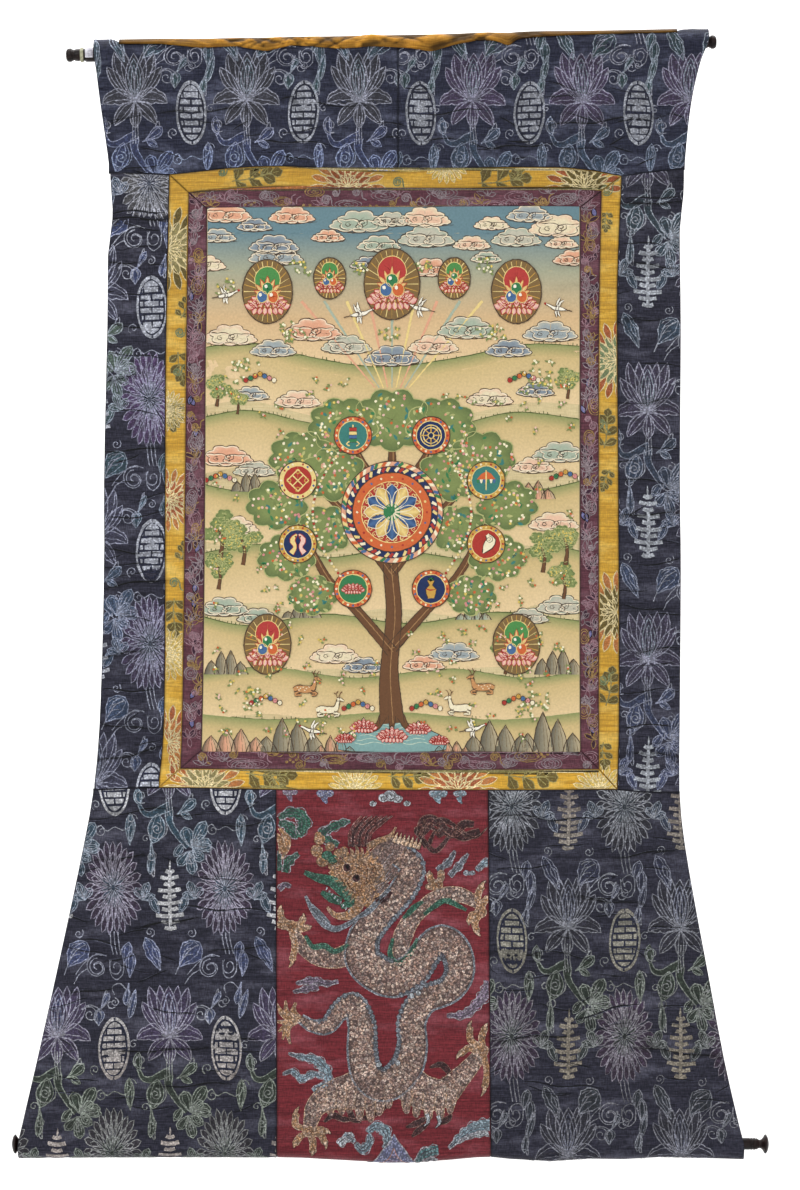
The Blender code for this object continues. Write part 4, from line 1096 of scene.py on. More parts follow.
def addBand(drawing, path, half, part, lift=0.25, edge=None, width=1.0, rows=2):
    # a filled band of changing half width about a smooth path, outlined where edge names a thread
    points = smooth(path)
    out = sideways(points)
    arc = np.concatenate([[0], np.cumsum(np.linalg.norm(np.diff(points, axis=0), axis=1))])
    wide = np.interp(arc / arc[-1], np.linspace(0, 1, len(half)), half)
    rails = [points + out * (wide * mix(1, -1, k / rows))[:, None] for k in range(rows + 1)]
    addStrip(drawing, rails, [lift] + [lift + 0.1] * (rows - 1) + [lift], part)
    if edge:
        for rail in (rails[0], rails[-1]):
            addLine(drawing, rail, width, edge, lift + 0.45)
    return points, out, wide, arc


def addChrysanthemum(drawing, half=31.5, high=50.5):
    # three rings of long petals about a small eye
    wobble = random.Random(3)
    for count, near, far, fill, width in ((25, 0.4, 1.0, "flower", 0.42), (20, 0.2, 0.74, "flower", 0.40),
            (12, 0.06, 0.42, "heart", 0.38)):
        for k in range(count):
            turn = 2 * math.pi * k / count + wobble.uniform(-0.02, 0.02)
            reach = far * wobble.uniform(0.94, 1.03)
            t = np.linspace(0, 1, 7)
            r = mix(near, reach, t)
            wide = math.pi / count * 2 * width * np.sin(math.pi * t ** 1.5) ** 0.75
            rails = [
                np.stack([half * r * np.sin(turn + side * wide), high * r * np.cos(turn + side * wide)], 1)
                for side in (-1, 0, 1)]
            addLeaf(drawing, rails, fill, 1.0 if far > 0.5 else 0.7, fill + "Edge")
    addDisc(drawing, (0, 0), 2.2, 3.4, "heart", 0.3)


def addLotus(drawing):
    # seen from the side: tall close petals about a bud, a pair curling out, two drooping wings
    # and three leaves below
    for angle, length, half, bend, full in ((48, 47, 6.2, -20, 0.6), (-48, 47, 6.2, 20, 0.6),
            (33, 57, 6.6, -24, 0.58), (-33, 57, 6.6, 24, 0.58), (17, 55, 5.6, -14, 0.56),
            (-17, 55, 5.6, 14, 0.56), (54, 38, 8.0, 82, 0.5), (-54, 38, 8.0, -82, 0.5),
            (124, 34, 6.6, 30, 0.5), (-124, 34, 6.6, -30, 0.5), (180, 29, 6.0, 0, 0.55)):
        left, centre, right = addPetal(drawing, (0, 0), angle, length, half, "lotus", 1.05, bend=bend,
            full=full, scallops=3 if abs(angle) == 54 else 0)
        inner, outer = (right, left) if angle > 0 else (left, right)
        if abs(angle) > 20:
            addLine(drawing, mix(centre, inner, 0.42)[1:-1], 0.75, "lotusEdge")
        if abs(angle) > 50:
            addLine(drawing, mix(centre, outer, 0.5)[2:-1], 0.7, "lotusEdge")
    addPetal(drawing, (0, 3), 0, 50, 9.4, "lotus", 1.05, full=0.44)
    addPetal(drawing, (0, 5), 0, 42, 6.6, "lotusHeart", 1.0, full=0.44)
    addPetal(drawing, (0, 8), 0, 32, 3.4, "lotusHeart", 0.8, full=0.44)
    addLine(drawing, smooth([(-9, 3), (-5, 1), (-2, 3), (0, 0), (2, 3), (5, 1), (9, 3)]), 1.0)
    for x in (-3.0, 0, 3.0):
        addLine(drawing, smooth([(x, -16), (x * 0.9, -32), (x + 1, -46)]), 0.95)


def addMedallion(drawing, centre=(0, 0), half=16.5, high=34.0):
    # an upright oval laid in courses, like brickwork, with the ground showing in the joints
    x, y = centre
    addDisc(drawing, centre, half, high, "emblem", 0.3, 30)
    course, inside, tall = 7.4, half - 3.2, high - 4.6
    addRing(drawing, centre, inside, tall, 2.2, "joint", 0.55)
    for row, level in enumerate(np.arange(-22.2, 22.3, course)):
        reach = inside * math.sqrt(1 - (level / tall) ** 2)
        addLine(drawing, [(x - reach, y + level), (x, y + level), (x + reach, y + level)], 2.9, "joint", 0.6)
        for share in ((0.0,), (-0.5, 0.5))[row % 2]:
            upright = x + share * half
            if abs(share * half) < reach - 1 and level < 20:
                addLine(drawing, [(upright, y + level), (upright, y + level + course)], 2.0, "joint", 0.6)
    for side in (-1, 1):
        addLine(drawing, [(x, y + side * tall), (x, y + side * (high - 0.4))], 1.6, "joint", 0.6)


def addFinial(drawing, centre=(0, 0)):
    # a tall stack of short and long bars on a stem, like the tiers of a tower
    x, y = centre
    addLine(drawing, [(x, y + 40), (x, y + 34), (x, y + 28)], 2.4, "emblem", taper=True)
    addLine(drawing, [(x, y + 30), (x, y), (x, y - 34)], 3.4, "emblem", 0.4)
    for k, reach in enumerate((4.5, 9.5, 5.5, 12.0, 7.0, 13.5, 8.5, 15.0, 9.5, 6.0)):
        level = y + 28 - 6.8 * k
        bar = [(x - reach, level + 1.2), (x - reach * 0.5, level), (x, level - 0.4),
               (x + reach * 0.5, level), (x + reach, level + 1.2)]
        addLine(drawing, smooth(bar), 4.1, "emblem", 0.5)


def addTrumpet(drawing, base, angle, length, half, fill, bend=0):
    # a hanging leaf whose end opens into two points
    centre = addPetal(drawing, base, angle, length, half, fill, 1.15, bend=bend, full=0.7)[1]
    tip, run = centre[-1], centre[-1] - centre[-2]
    run /= np.linalg.norm(run)
    side = np.array([-run[1], run[0]])
    addLine(drawing, smooth([tip - run * length * 0.3 + side * half * 0.9, tip + side * half * 1.3 + run * 2,
                             tip + side * half * 0.3 - run * 2]), 1.1)


def addLobedLeaf(drawing, base, angle, size, fill):
    # three round lobes with notches, and a fold line
    for turn, share in ((-48, 0.72), (0, 1.0), (48, 0.72)):
        addPetal(drawing, base, angle + turn, size * share, size * 0.21, fill, 1.15, full=0.66, blunt=0.8)
    turn = math.radians(angle)
    run = np.array([math.sin(turn), math.cos(turn)])
    addLine(drawing, smooth([base, np.asarray(base) + run * size * 0.35,
                             np.asarray(base) + run * size * 0.7]), 0.9)


def chrysanthemumMotif():
    made = newDrawing()
    for side in (-1, 1):
        addLobedLeaf(made, (side * 31, -12), side * 20, 20, "leaf")
        addPetal(made, (side * 40, -6), side * 168, 22, 4.6, "leaf", bend=side * -20)
    addChrysanthemum(made)
    addFinial(made, (60, -10))
    for x in (-2.4, 1.6, 5.6):
        addLine(made, smooth([(x - 1, -46), (x + 0.5, -58), (x + 3, -70)]), 1.0)
    for x, z, radius, start, turns in ((40, 34, 6, 30, 1.3), (82, 30, 6, 300, -1.3),
            (38, -46, 5.5, 160, -1.4), (82, -48, 5.5, 40, 1.3), (-34, 50, 5.5, 0, 1.3),
            (34, 52, 5, 90, -1.2)):
        addLine(made, spiral((x, z), radius, start, turns), 0.95)
    # the scroll under the stem, its buds and the leaves that stand over the lotus
    addLine(made, smooth([(-42, -102), (-36, -92), (-27, -86)]), 1.0)
    addLine(made, smooth([(-40, -92), (-33, -83), (-26, -76), (-16, -70), (-6, -72)]), 1.0)
    addLine(made, spiral((-16, -84), 13.5, 20, -1.5), 1.0)
    addLine(made, spiral((-16, -84), 9.6, 0, -1.1, 0.4), 1.1)
    addLine(made, spiral((4, -83), 9.5, -40, -1.2, 0.3, squeeze=0.8), 1.0)
    addLine(made, smooth([(-3, -76), (-2, -90), (4, -96), (11, -90), (12, -78)]), 1.0)
    addPetal(made, (12, -78), 12, 22, 5.2, "leaf", full=0.6)
    addPetal(made, (18, -94), 8, 28, 5.0, "leaf", full=0.6, bend=-14)
    addTrumpet(made, (17, -100), 190, 24, 3.6, "leaf")
    addPetal(made, (50, -88), -22, 40, 6.6, "leaf", full=0.6, bend=-6, scallops=3)
    addPetal(made, (51, -80), -30, 20, 3.0, "leaf", 0.9, full=0.6)
    addPetal(made, (70, -84), 34, 34, 11.5, "leaf", full=0.62, bend=8, scallops=4)
    addLine(made, smooth([(66, -92), (72, -78), (80, -66), (90, -60)]), 1.0)
    for y in (-74, -68, -62):
        addLine(made, smooth([(74, y), (78, y + 3), (84, y + 4)]), 0.8)
    return made


def lotusMotif():
    made = newDrawing()
    addLotus(made)
    addMedallion(made, (60, -12))
    # curls with a trumpet at both sides, over the medallions
    addLine(made, spiral((34, 24), 9.0, -60, 1.5), 1.0)
    addLine(made, smooth([(25, 29), (33, 34), (42, 31), (46, 24)]), 1.0)
    addTrumpet(made, (45, 30), 28, 20, 3.2, "leaf")
    # a pod and a heart-shaped bud between the flower and the medallions, and tendrils
    addPetal(made, (-43, 20), 14, 32, 3.6, "leaf", 0.9, full=0.42)
    addPetal(made, (43, 13), 4, 18, 5.4, "leaf", 0.9, full=0.62)
    addLine(made, smooth([(43, 13), (38, 21), (42, 28), (48, 33), (54, 40)]), 0.95)
    addLine(made, smooth([(-44, 50), (-52, 58), (-60, 54), (-58, 46)]), 0.95)
    for x, z, radius, start, turns in ((-38, -8, 5, 40, -1.2), (40, -34, 6, 200, 1.3), (60, 38, 5, 0, 1.4),
            (78, -50, 6, 90, -1.3), (-62, 36, 5.5, 120, 1.0), (46, -62, 6.5, 0, -1.4)):
        addLine(made, spiral((x, z), radius, start, turns), 0.95)
    addLine(made, smooth([(78, -56), (70, -62), (60, -58), (52, -62), (46, -56)]), 0.95)
    # the vine under the flower: an arch, a round leaf, a lobed branch and hanging trumpets
    addBand(made, [(1, -36), (-8, -40), (-18, -45), (-27, -44), (-32, -35)], (4.6, 4.2, 3.4, 2.4, 1.4),
            "vine", 0.1, "vineEdge", 1.0)
    addBand(made, [(0, -40), (0, -52), (8, -66), (19, -80)], (4.2, 3.2, 2.8, 2.2), "vine", 0.12, "vineEdge",
            1.0)
    addLine(made, spiral((-30, -26), 8.0, 150, 1.3), 1.0)
    addPetal(made, (-31, -36), -20, 20, 4.4, "vine", bend=30)
    addTrumpet(made, (8, -44), 62, 26, 5.4, "vine", bend=-20)
    addPetal(made, (12, -42), 120, 14, 3.4, "vine")
    addPetal(made, (-12, -44), 186, 32, 9.0, "vine", full=0.5, bend=10)
    addLine(made, spiral((-14, -60), 6.6, 0, 1.6), 1.1)
    addLine(made, spiral((-14, -60), 11.5, 60, 0.75, 0.8), 1.1)
    addTrumpet(made, (-20, -72), 172, 36, 3.8, "vine", bend=16)
    addPetal(made, (-42, -78), 0, 34, 5.0, "vine", full=0.6)
    addPetal(made, (-42, -74), 6, 22, 2.6, "vine", 0.9)
    addLobedLeaf(made, (22, -80), 32, 32, "vine")
    addLobedLeaf(made, (24, -78), 100, 22, "vine")
    addLobedLeaf(made, (20, -84), 168, 26, "vine")
    addPetal(made, (14, -76), 215, 16, 4.4, "vine")
    return made


def arrays(drawing):
    return (np.concatenate(drawing["flat"]), np.concatenate(drawing["lift"]),
            np.concatenate(drawing["part"]), np.concatenate(drawing["faces"]))


def repeatTree(name):
    # a motif set out in columns and rows, as the drawloom repeats it
    tree = bpy.data.node_groups.new(name, "GeometryNodeTree")
    sides = tree.interface
    for label, kind, value in (("Motif", "NodeSocketObject", None), ("Material", "NodeSocketMaterial",
            None), ("Columns", "NodeSocketInt", 2), ("Rows", "NodeSocketInt", 2),
            ("Repeat Width", "NodeSocketFloat", 0.12), ("Repeat Height", "NodeSocketFloat", 0.26),
            ("Corner", "NodeSocketVector", None)):
        made = sides.new_socket(label, in_out="INPUT", socket_type=kind)
        if value is not None:
            made.default_value = value
    sides.new_socket("Geometry", in_out="OUTPUT", socket_type="NodeSocketGeometry")
    given = addNode(tree, "NodeGroupInput").outputs
    count = addNode(tree, "ShaderNodeMath", {0: given["Columns"], 1: given["Rows"]},
                    operation="MULTIPLY").outputs[0]
    points = addNode(tree, "GeometryNodePoints", {"Count": count}).outputs[0]
    index = addNode(tree, "GeometryNodeInputIndex").outputs[0]
    row = addNode(tree, "ShaderNodeMath", {0: index, 1: given["Columns"]}, operation="DIVIDE").outputs[0]
    row = addNode(tree, "ShaderNodeMath", {0: row}, operation="FLOOR").outputs[0]
    column = addNode(tree, "ShaderNodeMath", {0: index, 1: given["Columns"]},
                     operation="FLOORED_MODULO").outputs[0]
    x = addNode(tree, "ShaderNodeMath", {0: column, 1: given["Repeat Width"]},
                operation="MULTIPLY").outputs[0]
    z = addNode(tree, "ShaderNodeMath", {0: row, 1: given["Repeat Height"]}, operation="MULTIPLY").outputs[0]
    down = addNode(tree, "ShaderNodeMath", {0: z, 1: -1.0}, operation="MULTIPLY").outputs[0]
    place = addNode(tree, "ShaderNodeCombineXYZ", {"X": x, "Z": down}).outputs[0]
    place = addNode(tree, "ShaderNodeVectorMath", {0: place, 1: given["Corner"]}, operation="ADD").outputs[0]
    placed = addNode(tree, "GeometryNodeSetPosition", {"Geometry": points, "Position": place}).outputs[0]
    motif = addNode(tree, "GeometryNodeObjectInfo", {"Object": given["Motif"]}, transform_space="ORIGINAL")
    copies = addNode(tree, "GeometryNodeInstanceOnPoints",
                     {"Points": placed, "Instance": motif.outputs["Geometry"]}).outputs[0]
    real = addNode(tree, "GeometryNodeRealizeInstances", {0: copies}).outputs[0]
    finished = addNode(tree, "GeometryNodeSetMaterial",
                       {"Geometry": real, "Material": given["Material"]}).outputs[0]
    addNode(tree, "NodeGroupOutput", {0: finished})
    return tree


def bake(tree, values, name):
    # the tree's result as a plain mesh, on an object of its own
    holder = bpy.data.objects.new(name, bpy.data.meshes.new(name))
    bpy.context.scene.collection.objects.link(holder)
    made = holder.modifiers.new("nodes", "NODES")
    made.node_group = tree
    for item in tree.interface.items_tree:
        if item.in_out == "INPUT" and item.name in values:
            made[item.identifier] = values[item.name]
    seen = holder.evaluated_get(bpy.context.evaluated_depsgraph_get())
    mesh = bpy.data.meshes.new_from_object(seen)
    holder.modifiers.remove(made)
    holder.data = mesh
    return holder


repeat = repeatTree("drawloom repeat")


def repeated(drawing, name, corner, columns, rows, width, height):
    # the drawing's arrays after the loom has repeated it
    flat, lift, part, faces = arrays(drawing)
    points = np.stack([flat[:, 0], 0 * lift, flat[:, 1]], 1)
    motif = makeObject(name + "_motif", points, faces.tolist(), silverThread)
    for label, values in (("lift", lift), ("part", part)):
        motif.data.attributes.new(label, "FLOAT", "POINT").data.foreach_set("value",
            values.astype(np.float32))
    holder = bake(repeat, {"Motif": motif, "Material": silverThread, "Columns": columns, "Rows": rows,
                           "Repeat Width": width * mm, "Repeat Height": height * mm,
                           "Corner": (corner[0] * mm, 0.0, corner[1] * mm)}, name)
    mesh = holder.data
    count = len(mesh.vertices)
    places, lifts, parts = np.empty(count * 3, np.float32), np.empty(count, np.float32), np.empty(count,
        np.float32)
    mesh.vertices.foreach_get("co", places)
    mesh.attributes["lift"].data.foreach_get("value", lifts)
    mesh.attributes["part"].data.foreach_get("value", parts)
    corners = np.empty(len(mesh.loops), np.int32)
    mesh.loops.foreach_get("vertex_index", corners)
    for spare in (holder, motif):
        bpy.data.objects.remove(spare)
    places = places.reshape(-1, 3)[:, [0, 2]] / mm
    return places.astype(float), lifts.astype(float), parts.round().astype(int), corners.reshape(-1, 4)


def lookUp(bands, heights):
    # colour bands down the cloth, [height, hex], each fading into the next
    levels = [band[0] for band in bands][::-1]
    colours = np.array([linear(band[1])[:3] for band in bands])[::-1]
    return np.stack([np.interp(heights, levels, colours[:, k]) for k in range(3)], 1)


def clipped(flat, faces, node, topAt, footAt, margin=0.7, inset=(9, 3)):
    # what lies past the panel's edges is drawn in to them, and faces left with no width go
    left, right = outlineOf(node, 2)
    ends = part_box(node)
    highest, lowest = ends[1].z / mm - inset[0], ends[0].z / mm + inset[1]
    drawn, flat = flat, flat.copy()
    for _ in range(2):
        real = np.clip(realHeight(flat[:, 0], flat[:, 1]), lowest, highest)
        flat[:, 0] = np.clip(flat[:, 0], left(real) + margin, right(real) - margin)
        flat[:, 1] = np.clip(flat[:, 1], footAt(flat[:, 0]) + margin, topAt(flat[:, 0]) - margin)
    corner = flat[faces]
    area = np.abs(crossed(corner[:, 2] - corner[:, 0], corner[:, 3] - corner[:, 1])) / 2
    moved = np.abs(flat - drawn).max(1)[faces].min(1)
    kept = faces[(area > 0.02) & (moved < 0.05)]
    used, faces = np.unique(kept, return_inverse=True)
    return flat, used, faces.reshape(kept.shape)


def figureObject(name, flat, lift, colours, faces, used, material):
    points = hangLifted(flat[used, 0], flat[used, 1], lift[used])
    alpha = np.ones((len(used), 1))
    # painted light and shade: the figures are darkened in crease hollows and lightened on ridges, sides and
    # foot, as the cloth is
    colours = colours * readGrid(shadeGrid, flat[:, 0], flat[:, 1])[:, None]
    made = makeObject(name, points, faces.tolist(), material, np.concatenate([colours[used], alpha], 1),
                      flat[used])
    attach(made, "root")
    return made


def frontTop(place):
    # over the rod and a little behind it, as far as the figures are drawn
    return rodHeight(place) - pockets["topReach"] + topLength * 0.62


def frontFoot(place):
    return footSeam - footLength * 0.62 + 0 * place


def figureEnds(node):
    sewn = panels[node][1]
    return (seamOf(node, "top") if "t" in sewn else frontTop,
            seamOf(node, "bottom") if "b" in sewn else frontFoot)


brocades = {
    # motifs [which, column, height, columns, rows, width, height, and where tucks hide the rest:
    # from, to] and, by part, the threads' colours [height, hex] down the panel
    "top_panel_left": {
        "motifs": (("lotus", -391.5, -55.7, 4, 1, 118.8, 280), ("flower", -451.5, 76, 4, 2, 118.8, 288)),
        "threads": {
            "outline": ((0, "#8f93a8"), (-95, "#8f93a8"), (-112, "#7f90b4")),
            "lotus": ((0, "#43434f"), (-90, "#474754")), "lotusHeart": ((0, "#33565e"),),
            "leaf": ((0, "#3c5a6c"), (-60, "#37605f")), "vine": ((0, "#333f70"), (-140, "#334274")),
            "flower": ((0, "#4a4f66"),), "heart": ((0, "#3d5470"),), "emblem": ((0, "#8f929c"),),
        },
    },
    "top_panel_right": {
        "motifs": (("lotus", -29.4, -56.5, 4, 1, 115.3, 280), ("flower", -87.3, 76, 5, 2, 115.3, 288)),
        "threads": {
            "outline": ((0, "#8d90a4"), (-95, "#878ca0"), (-112, "#78839c")),
            "lotus": ((0, "#4a3a5c"), (-40, "#54406a"), (-90, "#4b3c5e")),
            "lotusHeart": ((0, "#2f4f5a"),), "leaf": ((0, "#33525a"), (-60, "#345c5c")),
            "vine": ((0, "#35486a"), (-140, "#35506c")), "flower": ((0, "#4a4f66"),),
            "heart": ((0, "#3d5470"),), "emblem": ((0, "#83868f"),),
        },
    },
    "side_panel_left": {
        "motifs": (
            ("flower", -374.0, -143, 2, 1, 117, 246, -181, 9),
            ("flower", -374.0, -118, 2, 1, 117, 246, -260, -181),
            ("flower", -374.0, -372.5, 2, 2, 117, 258.7), ("lotus", -315.0, -262.6, 1, 3, 117, 258.7),
        ),
        "threads": {
            "outline": ((-140, "#9b9eab"), (-200, "#9094a6"), (-350, "#8489a0"), (-770, "#7a7f93")),
            "flower": ((-140, "#615f60"), (-190, "#5a5960"), (-320, "#5c3a74"), (-420, "#56386c"),
                       (-480, "#44385a"), (-600, "#46335a"), (-760, "#3c344e")),
            "heart": ((-140, "#50586e"), (-760, "#34404f")), "lotus": ((-140, "#3f3f58"),),
            "lotusHeart": ((-140, "#2f4560"),),
            "leaf": ((-140, "#33506c"), (-185, "#31457c"), (-250, "#31457c"), (-290, "#52695a"),
                     (-350, "#4f6556"), (-410, "#2f5560"), (-520, "#31566a"), (-760, "#2e4470")),
            "vine": ((-140, "#2e4a68"), (-250, "#34486e"), (-290, "#526a58"), (-350, "#4f6556"),
                     (-420, "#335660"), (-760, "#3a4a80")),
            "emblem": ((-140, "#8b8e98"),),
        },
    },
    "side_panel_right": {
        "motifs": (
            ("flower", 211.6, -229.3 + 265, 1, 4, 118, 265), ("lotus", 271.6, -121.3, 1, 4, 118, 265),
            ("flower", 330.0, -229.3 + 265, 1, 4, 118, 265), ("lotus", 153.0, -121.3, 1, 4, 118, 265),
        ),
        "threads": {
            "outline": ((-140, "#8a8e9b"), (-770, "#74788a")),
            "flower": ((-140, "#42384f"), (-760, "#3d3a4e")), "heart": ((-140, "#3a4252"),),
            "lotus": ((-140, "#47405a"), (-500, "#40344f"), (-760, "#403a52")),
            "lotusHeart": ((-140, "#2c4850"),), "leaf": ((-140, "#2f4a58"), (-760, "#34406a")),
            "vine": ((-140, "#30464e"), (-760, "#343f66")), "emblem": ((-140, "#84888f"),),
        },
    },
    "bottom_panel_left": {
        "motifs": (
            ("flower", -413.8, -890.7, 3, 2, 118.3, 284), ("lotus", -354.5, -767.7, 3, 2, 118.3, 281),
        ),
        "threads": {
            "outline": ((-780, "#8b93a0"), (-880, "#8c8c99"), (-960, "#878ca3"), (-1060, "#8d8f98"),
                        (-1090, "#7f867e"), (-1190, "#7c7f80")),
            "flower": ((-780, "#42304a"), (-1000, "#42304a"), (-1090, "#3a3438"), (-1190, "#383339")),
            "heart": ((-780, "#3b5268"), (-1000, "#3b5268"), (-1090, "#3d4a3c")),
            "lotus": ((-780, "#4b3b62"), (-1190, "#4b3b62")), "lotusHeart": ((-780, "#2c3a6c"),),
            "leaf": ((-780, "#2a5262"), (-930, "#2f4c60"), (-955, "#39487c"), (-1040, "#38466c"),
                     (-1100, "#3c4a3a")),
            "vine": ((-780, "#2a5268"), (-1000, "#2e4f5e"), (-1060, "#3b4a36"), (-1190, "#363f2e")),
            "emblem": ((-780, "#9a9ba0"), (-1000, "#9a9a9c"), (-1100, "#8c8480")),
        },
    },
    "bottom_panel_right": {
        "motifs": (
            ("flower", 127.3, -804.8, 3, 3, 118.9, 243), ("lotus", 67.7, -934.2, 4, 3, 118.9, 243),
        ),
        "lastEmblem": -1145,
        "threads": {
            "outline": ((-780, "#7f8389"), (-900, "#777b88"), (-1000, "#787b7a"), (-1100, "#74747f"),
                        (-1190, "#71747f")),
            "flower": ((-780, "#2f3036"), (-950, "#36303c"), (-1010, "#452e4c"), (-1100, "#402c42")),
            "heart": ((-780, "#37434c"), (-1050, "#333b34")), "lotus": ((-780, "#33323e"),),
            "lotusHeart": ((-780, "#272c48"),),
            "leaf": ((-780, "#2b4252"), (-850, "#2f3350"), (-930, "#2c2f44"), (-1040, "#353f33"),
                     (-1120, "#30363f")),
            "vine": ((-780, "#2b3a30"), (-960, "#34422c"), (-1060, "#2b3628"), (-1190, "#2a3436")),
            "emblem": ((-780, "#6f6660"), (-940, "#77756c"), (-1050, "#726b60")),
        },
    },
}
motifs = {"flower": chrysanthemumMotif(), "lotus": lotusMotif()}
# painted shadow and highlight drawn along the creases
foldShadeTones = {"foldDark": "#0f1017", "foldPale": "#4b4d5e"}
weaving = {
    "joint": "#23263a",   # the ground where it shows between the floats
    "groundShows": 0.22,  # of the fills
    "fading": 0.28,
    "edgeDye": 0.2,       # how much of its fill's dye an outline takes
    "light": {"outline": 1.22, "emblem": 1.5},
    "uneven": 0.2,        # hand weaving is never quite even
}
shuttle = np.random.default_rng(11)


def addFoldShading(drawing, node):
    # painted shade along a crease as a fine dark line, with a painted highlight beside it
    left, right = outlineOf(node, 2)
    for x0, z0, x1, z1, rise, spread in foldLines:
        if abs(rise) < 0.2 or x1 < left(z0) - 5 or x0 > right(z0) + 5:
            continue
        run = np.linspace(x0, x1, max(5, int((x1 - x0) / 4)))
        path = np.stack([run, np.interp(run, (x0, x1), (z0, z1)) + 1.3 * np.sin(run / 9.0 + z0)], 1)
        addLine(drawing, path, 0.6 + 0.9 * abs(rise), "foldDark", 0.62, taper=True)
        addLine(drawing, path[1:-1] + (0, 1.2 if rise < 0 else -1.2), 0.6, "foldPale", 0.5, taper=True)


def weaveBrocade(node, values):
    gathered, start = [[], [], [], []], 0
    lowest = values.get("lastEmblem")
    for k, (motif, place, height, columns, rows, width, down, *tuck) in enumerate(values["motifs"]):
        made = repeated(motifs[motif], node + "_%d" % k, (place, height), columns, rows, width, down)
        if tuck:
            heights = made[0][made[3], 1]
            made = (*made[:3], made[3][((heights > tuck[0]) & (heights < tuck[1])).all(1)])
        if lowest:
            emblem = np.isin(made[2][made[3][:, 0]], [partOf("emblem"), partOf("joint")])
            made = (*made[:3], made[3][~emblem | (made[0][made[3][:, 0], 1] > lowest)])
        for kept, fresh in zip(gathered, (*made[:3], made[3] + start)):
            kept.append(fresh)
        start += len(made[0])
    # the creases' painted shadow and highlight lines, sewn in with the figures
    folds = newDrawing()
    addFoldShading(folds, node)
    folded = arrays(folds)
    for kept, fresh in zip(gathered, (*folded[:3], folded[3] + start)):
        kept.append(fresh)
    flat, lift, part, faces = (np.concatenate(kept) for kept in gathered)
    wander = 0.7 * np.stack([np.sin(flat[:, 1] / 17 + flat[:, 0] / 41),
                             np.sin(flat[:, 0] / 13 - flat[:, 1] / 37)], 1)
    flat = flat + wander
    flat += shuttle.normal(0, weaving["uneven"], flat.shape)
    colours = np.zeros((len(flat), 3))
    ground, light = np.array(linear(weaving["joint"])[:3]), weaving["light"]
    for k, partName in enumerate(partNames):
        heights, fill = flat[part == k, 1], partName.removesuffix("Edge")
        if partName == "joint":
            colours[part == k] = ground
        elif partName in foldShadeTones:
            colours[part == k] = linear(foldShadeTones[partName])[:3]
        elif partName in brocadeFills:
            dye = lookUp(values["threads"][partName], heights)
            faded = mix(dye, dye.mean(1, keepdims=True), weaving["fading"])
            colours[part == k] = mix(faded, ground, weaving["groundShows"])
        elif partName == "emblem":
            colours[part == k] = light["emblem"] * lookUp(values["threads"]["emblem"], heights)
        elif fill in values["threads"]:  # an outline, dyed a little by what it edges
            tone = lookUp(values["threads"][fill], heights)
            plain = lookUp(values["threads"]["outline"], heights)
            dyed = tone * (plain.mean(1) / tone.mean(1))[:, None]
            plain, dyed = (mix(dye, dye.mean(1, keepdims=True), 0.25) for dye in (plain, dyed))
            colours[part == k] = light["outline"] * (
                plain if fill == partName else mix(plain, dyed, weaving["edgeDye"]))
    flat, used, faces = clipped(flat, faces, node, *figureEnds(node), inset=(9, 13))
    return figureObject(node + "_figures", flat, lift, colours, faces, used, silverThread)


for node, values in brocades.items():
    weaveBrocade(node, values)
print("brocade figured")


def addScales(drawing, points, out, wide, arc, size=3.9, trim=0.86, seed=5):
    # rows of overlapping scales, staggered, their round ends towards the tail
    vary = random.Random(seed)
    for row, place in enumerate(np.arange(size * 0.4, arc[-1], size * 0.82)):
        centre = np.array([np.interp(place, arc, points[:, k]) for k in (0, 1)])
        side = np.array([np.interp(place, arc, out[:, k]) for k in (0, 1)])
        side /= max(np.linalg.norm(side), 1e-6)
        run = np.array([side[1], -side[0]])
        reach = np.interp(place, arc, wide) * trim
        count = max(1, int(2 * reach / (size * 0.92)))
        for k in range(count + row % 2):
            across = (k - (count - 1 + row % 2) / 2) * size * 0.92
            if abs(across) > reach:
                continue
            base = centre + side * across
            part = vary.choices(("scale", "scaleLight", "scaleDark"), (5, 4, 3))[0]
            h = size * 0.42
            left, right = (np.array([
                base + off * h * 0.9, base + off * h + run * h * 0.7, base + off * h * 0.5 + run * h * 1.6])
                for off in (side, -side))
            middle = (left + right) / 2
            middle[-1] = middle[-1] + run * h * 0.3
            addStrip(drawing, [left, middle, right], [0.48, 0.66, 0.48], part)


def addBelly(drawing, points, out, wide, arc, side, step=4.7, part="blueGrey", first=0.0, last=1.0):
    # rounded plates along one edge
    for place in np.arange(arc[-1] * first + step / 2, arc[-1] * last, step):
        centre = np.array([np.interp(place, arc, points[:, k]) for k in (0, 1)])
        off = np.array([np.interp(place, arc, out[:, k]) for k in (0, 1)])
        off /= max(np.linalg.norm(off), 1e-6)
        centre = centre + off * side * np.interp(place, arc, wide)
        addDisc(drawing, centre, 2.9, 2.9, part, 0.5, 8)
        addRing(drawing, centre, 2.7, 2.7, 0.7, "cloudLine", 0.8, 8)


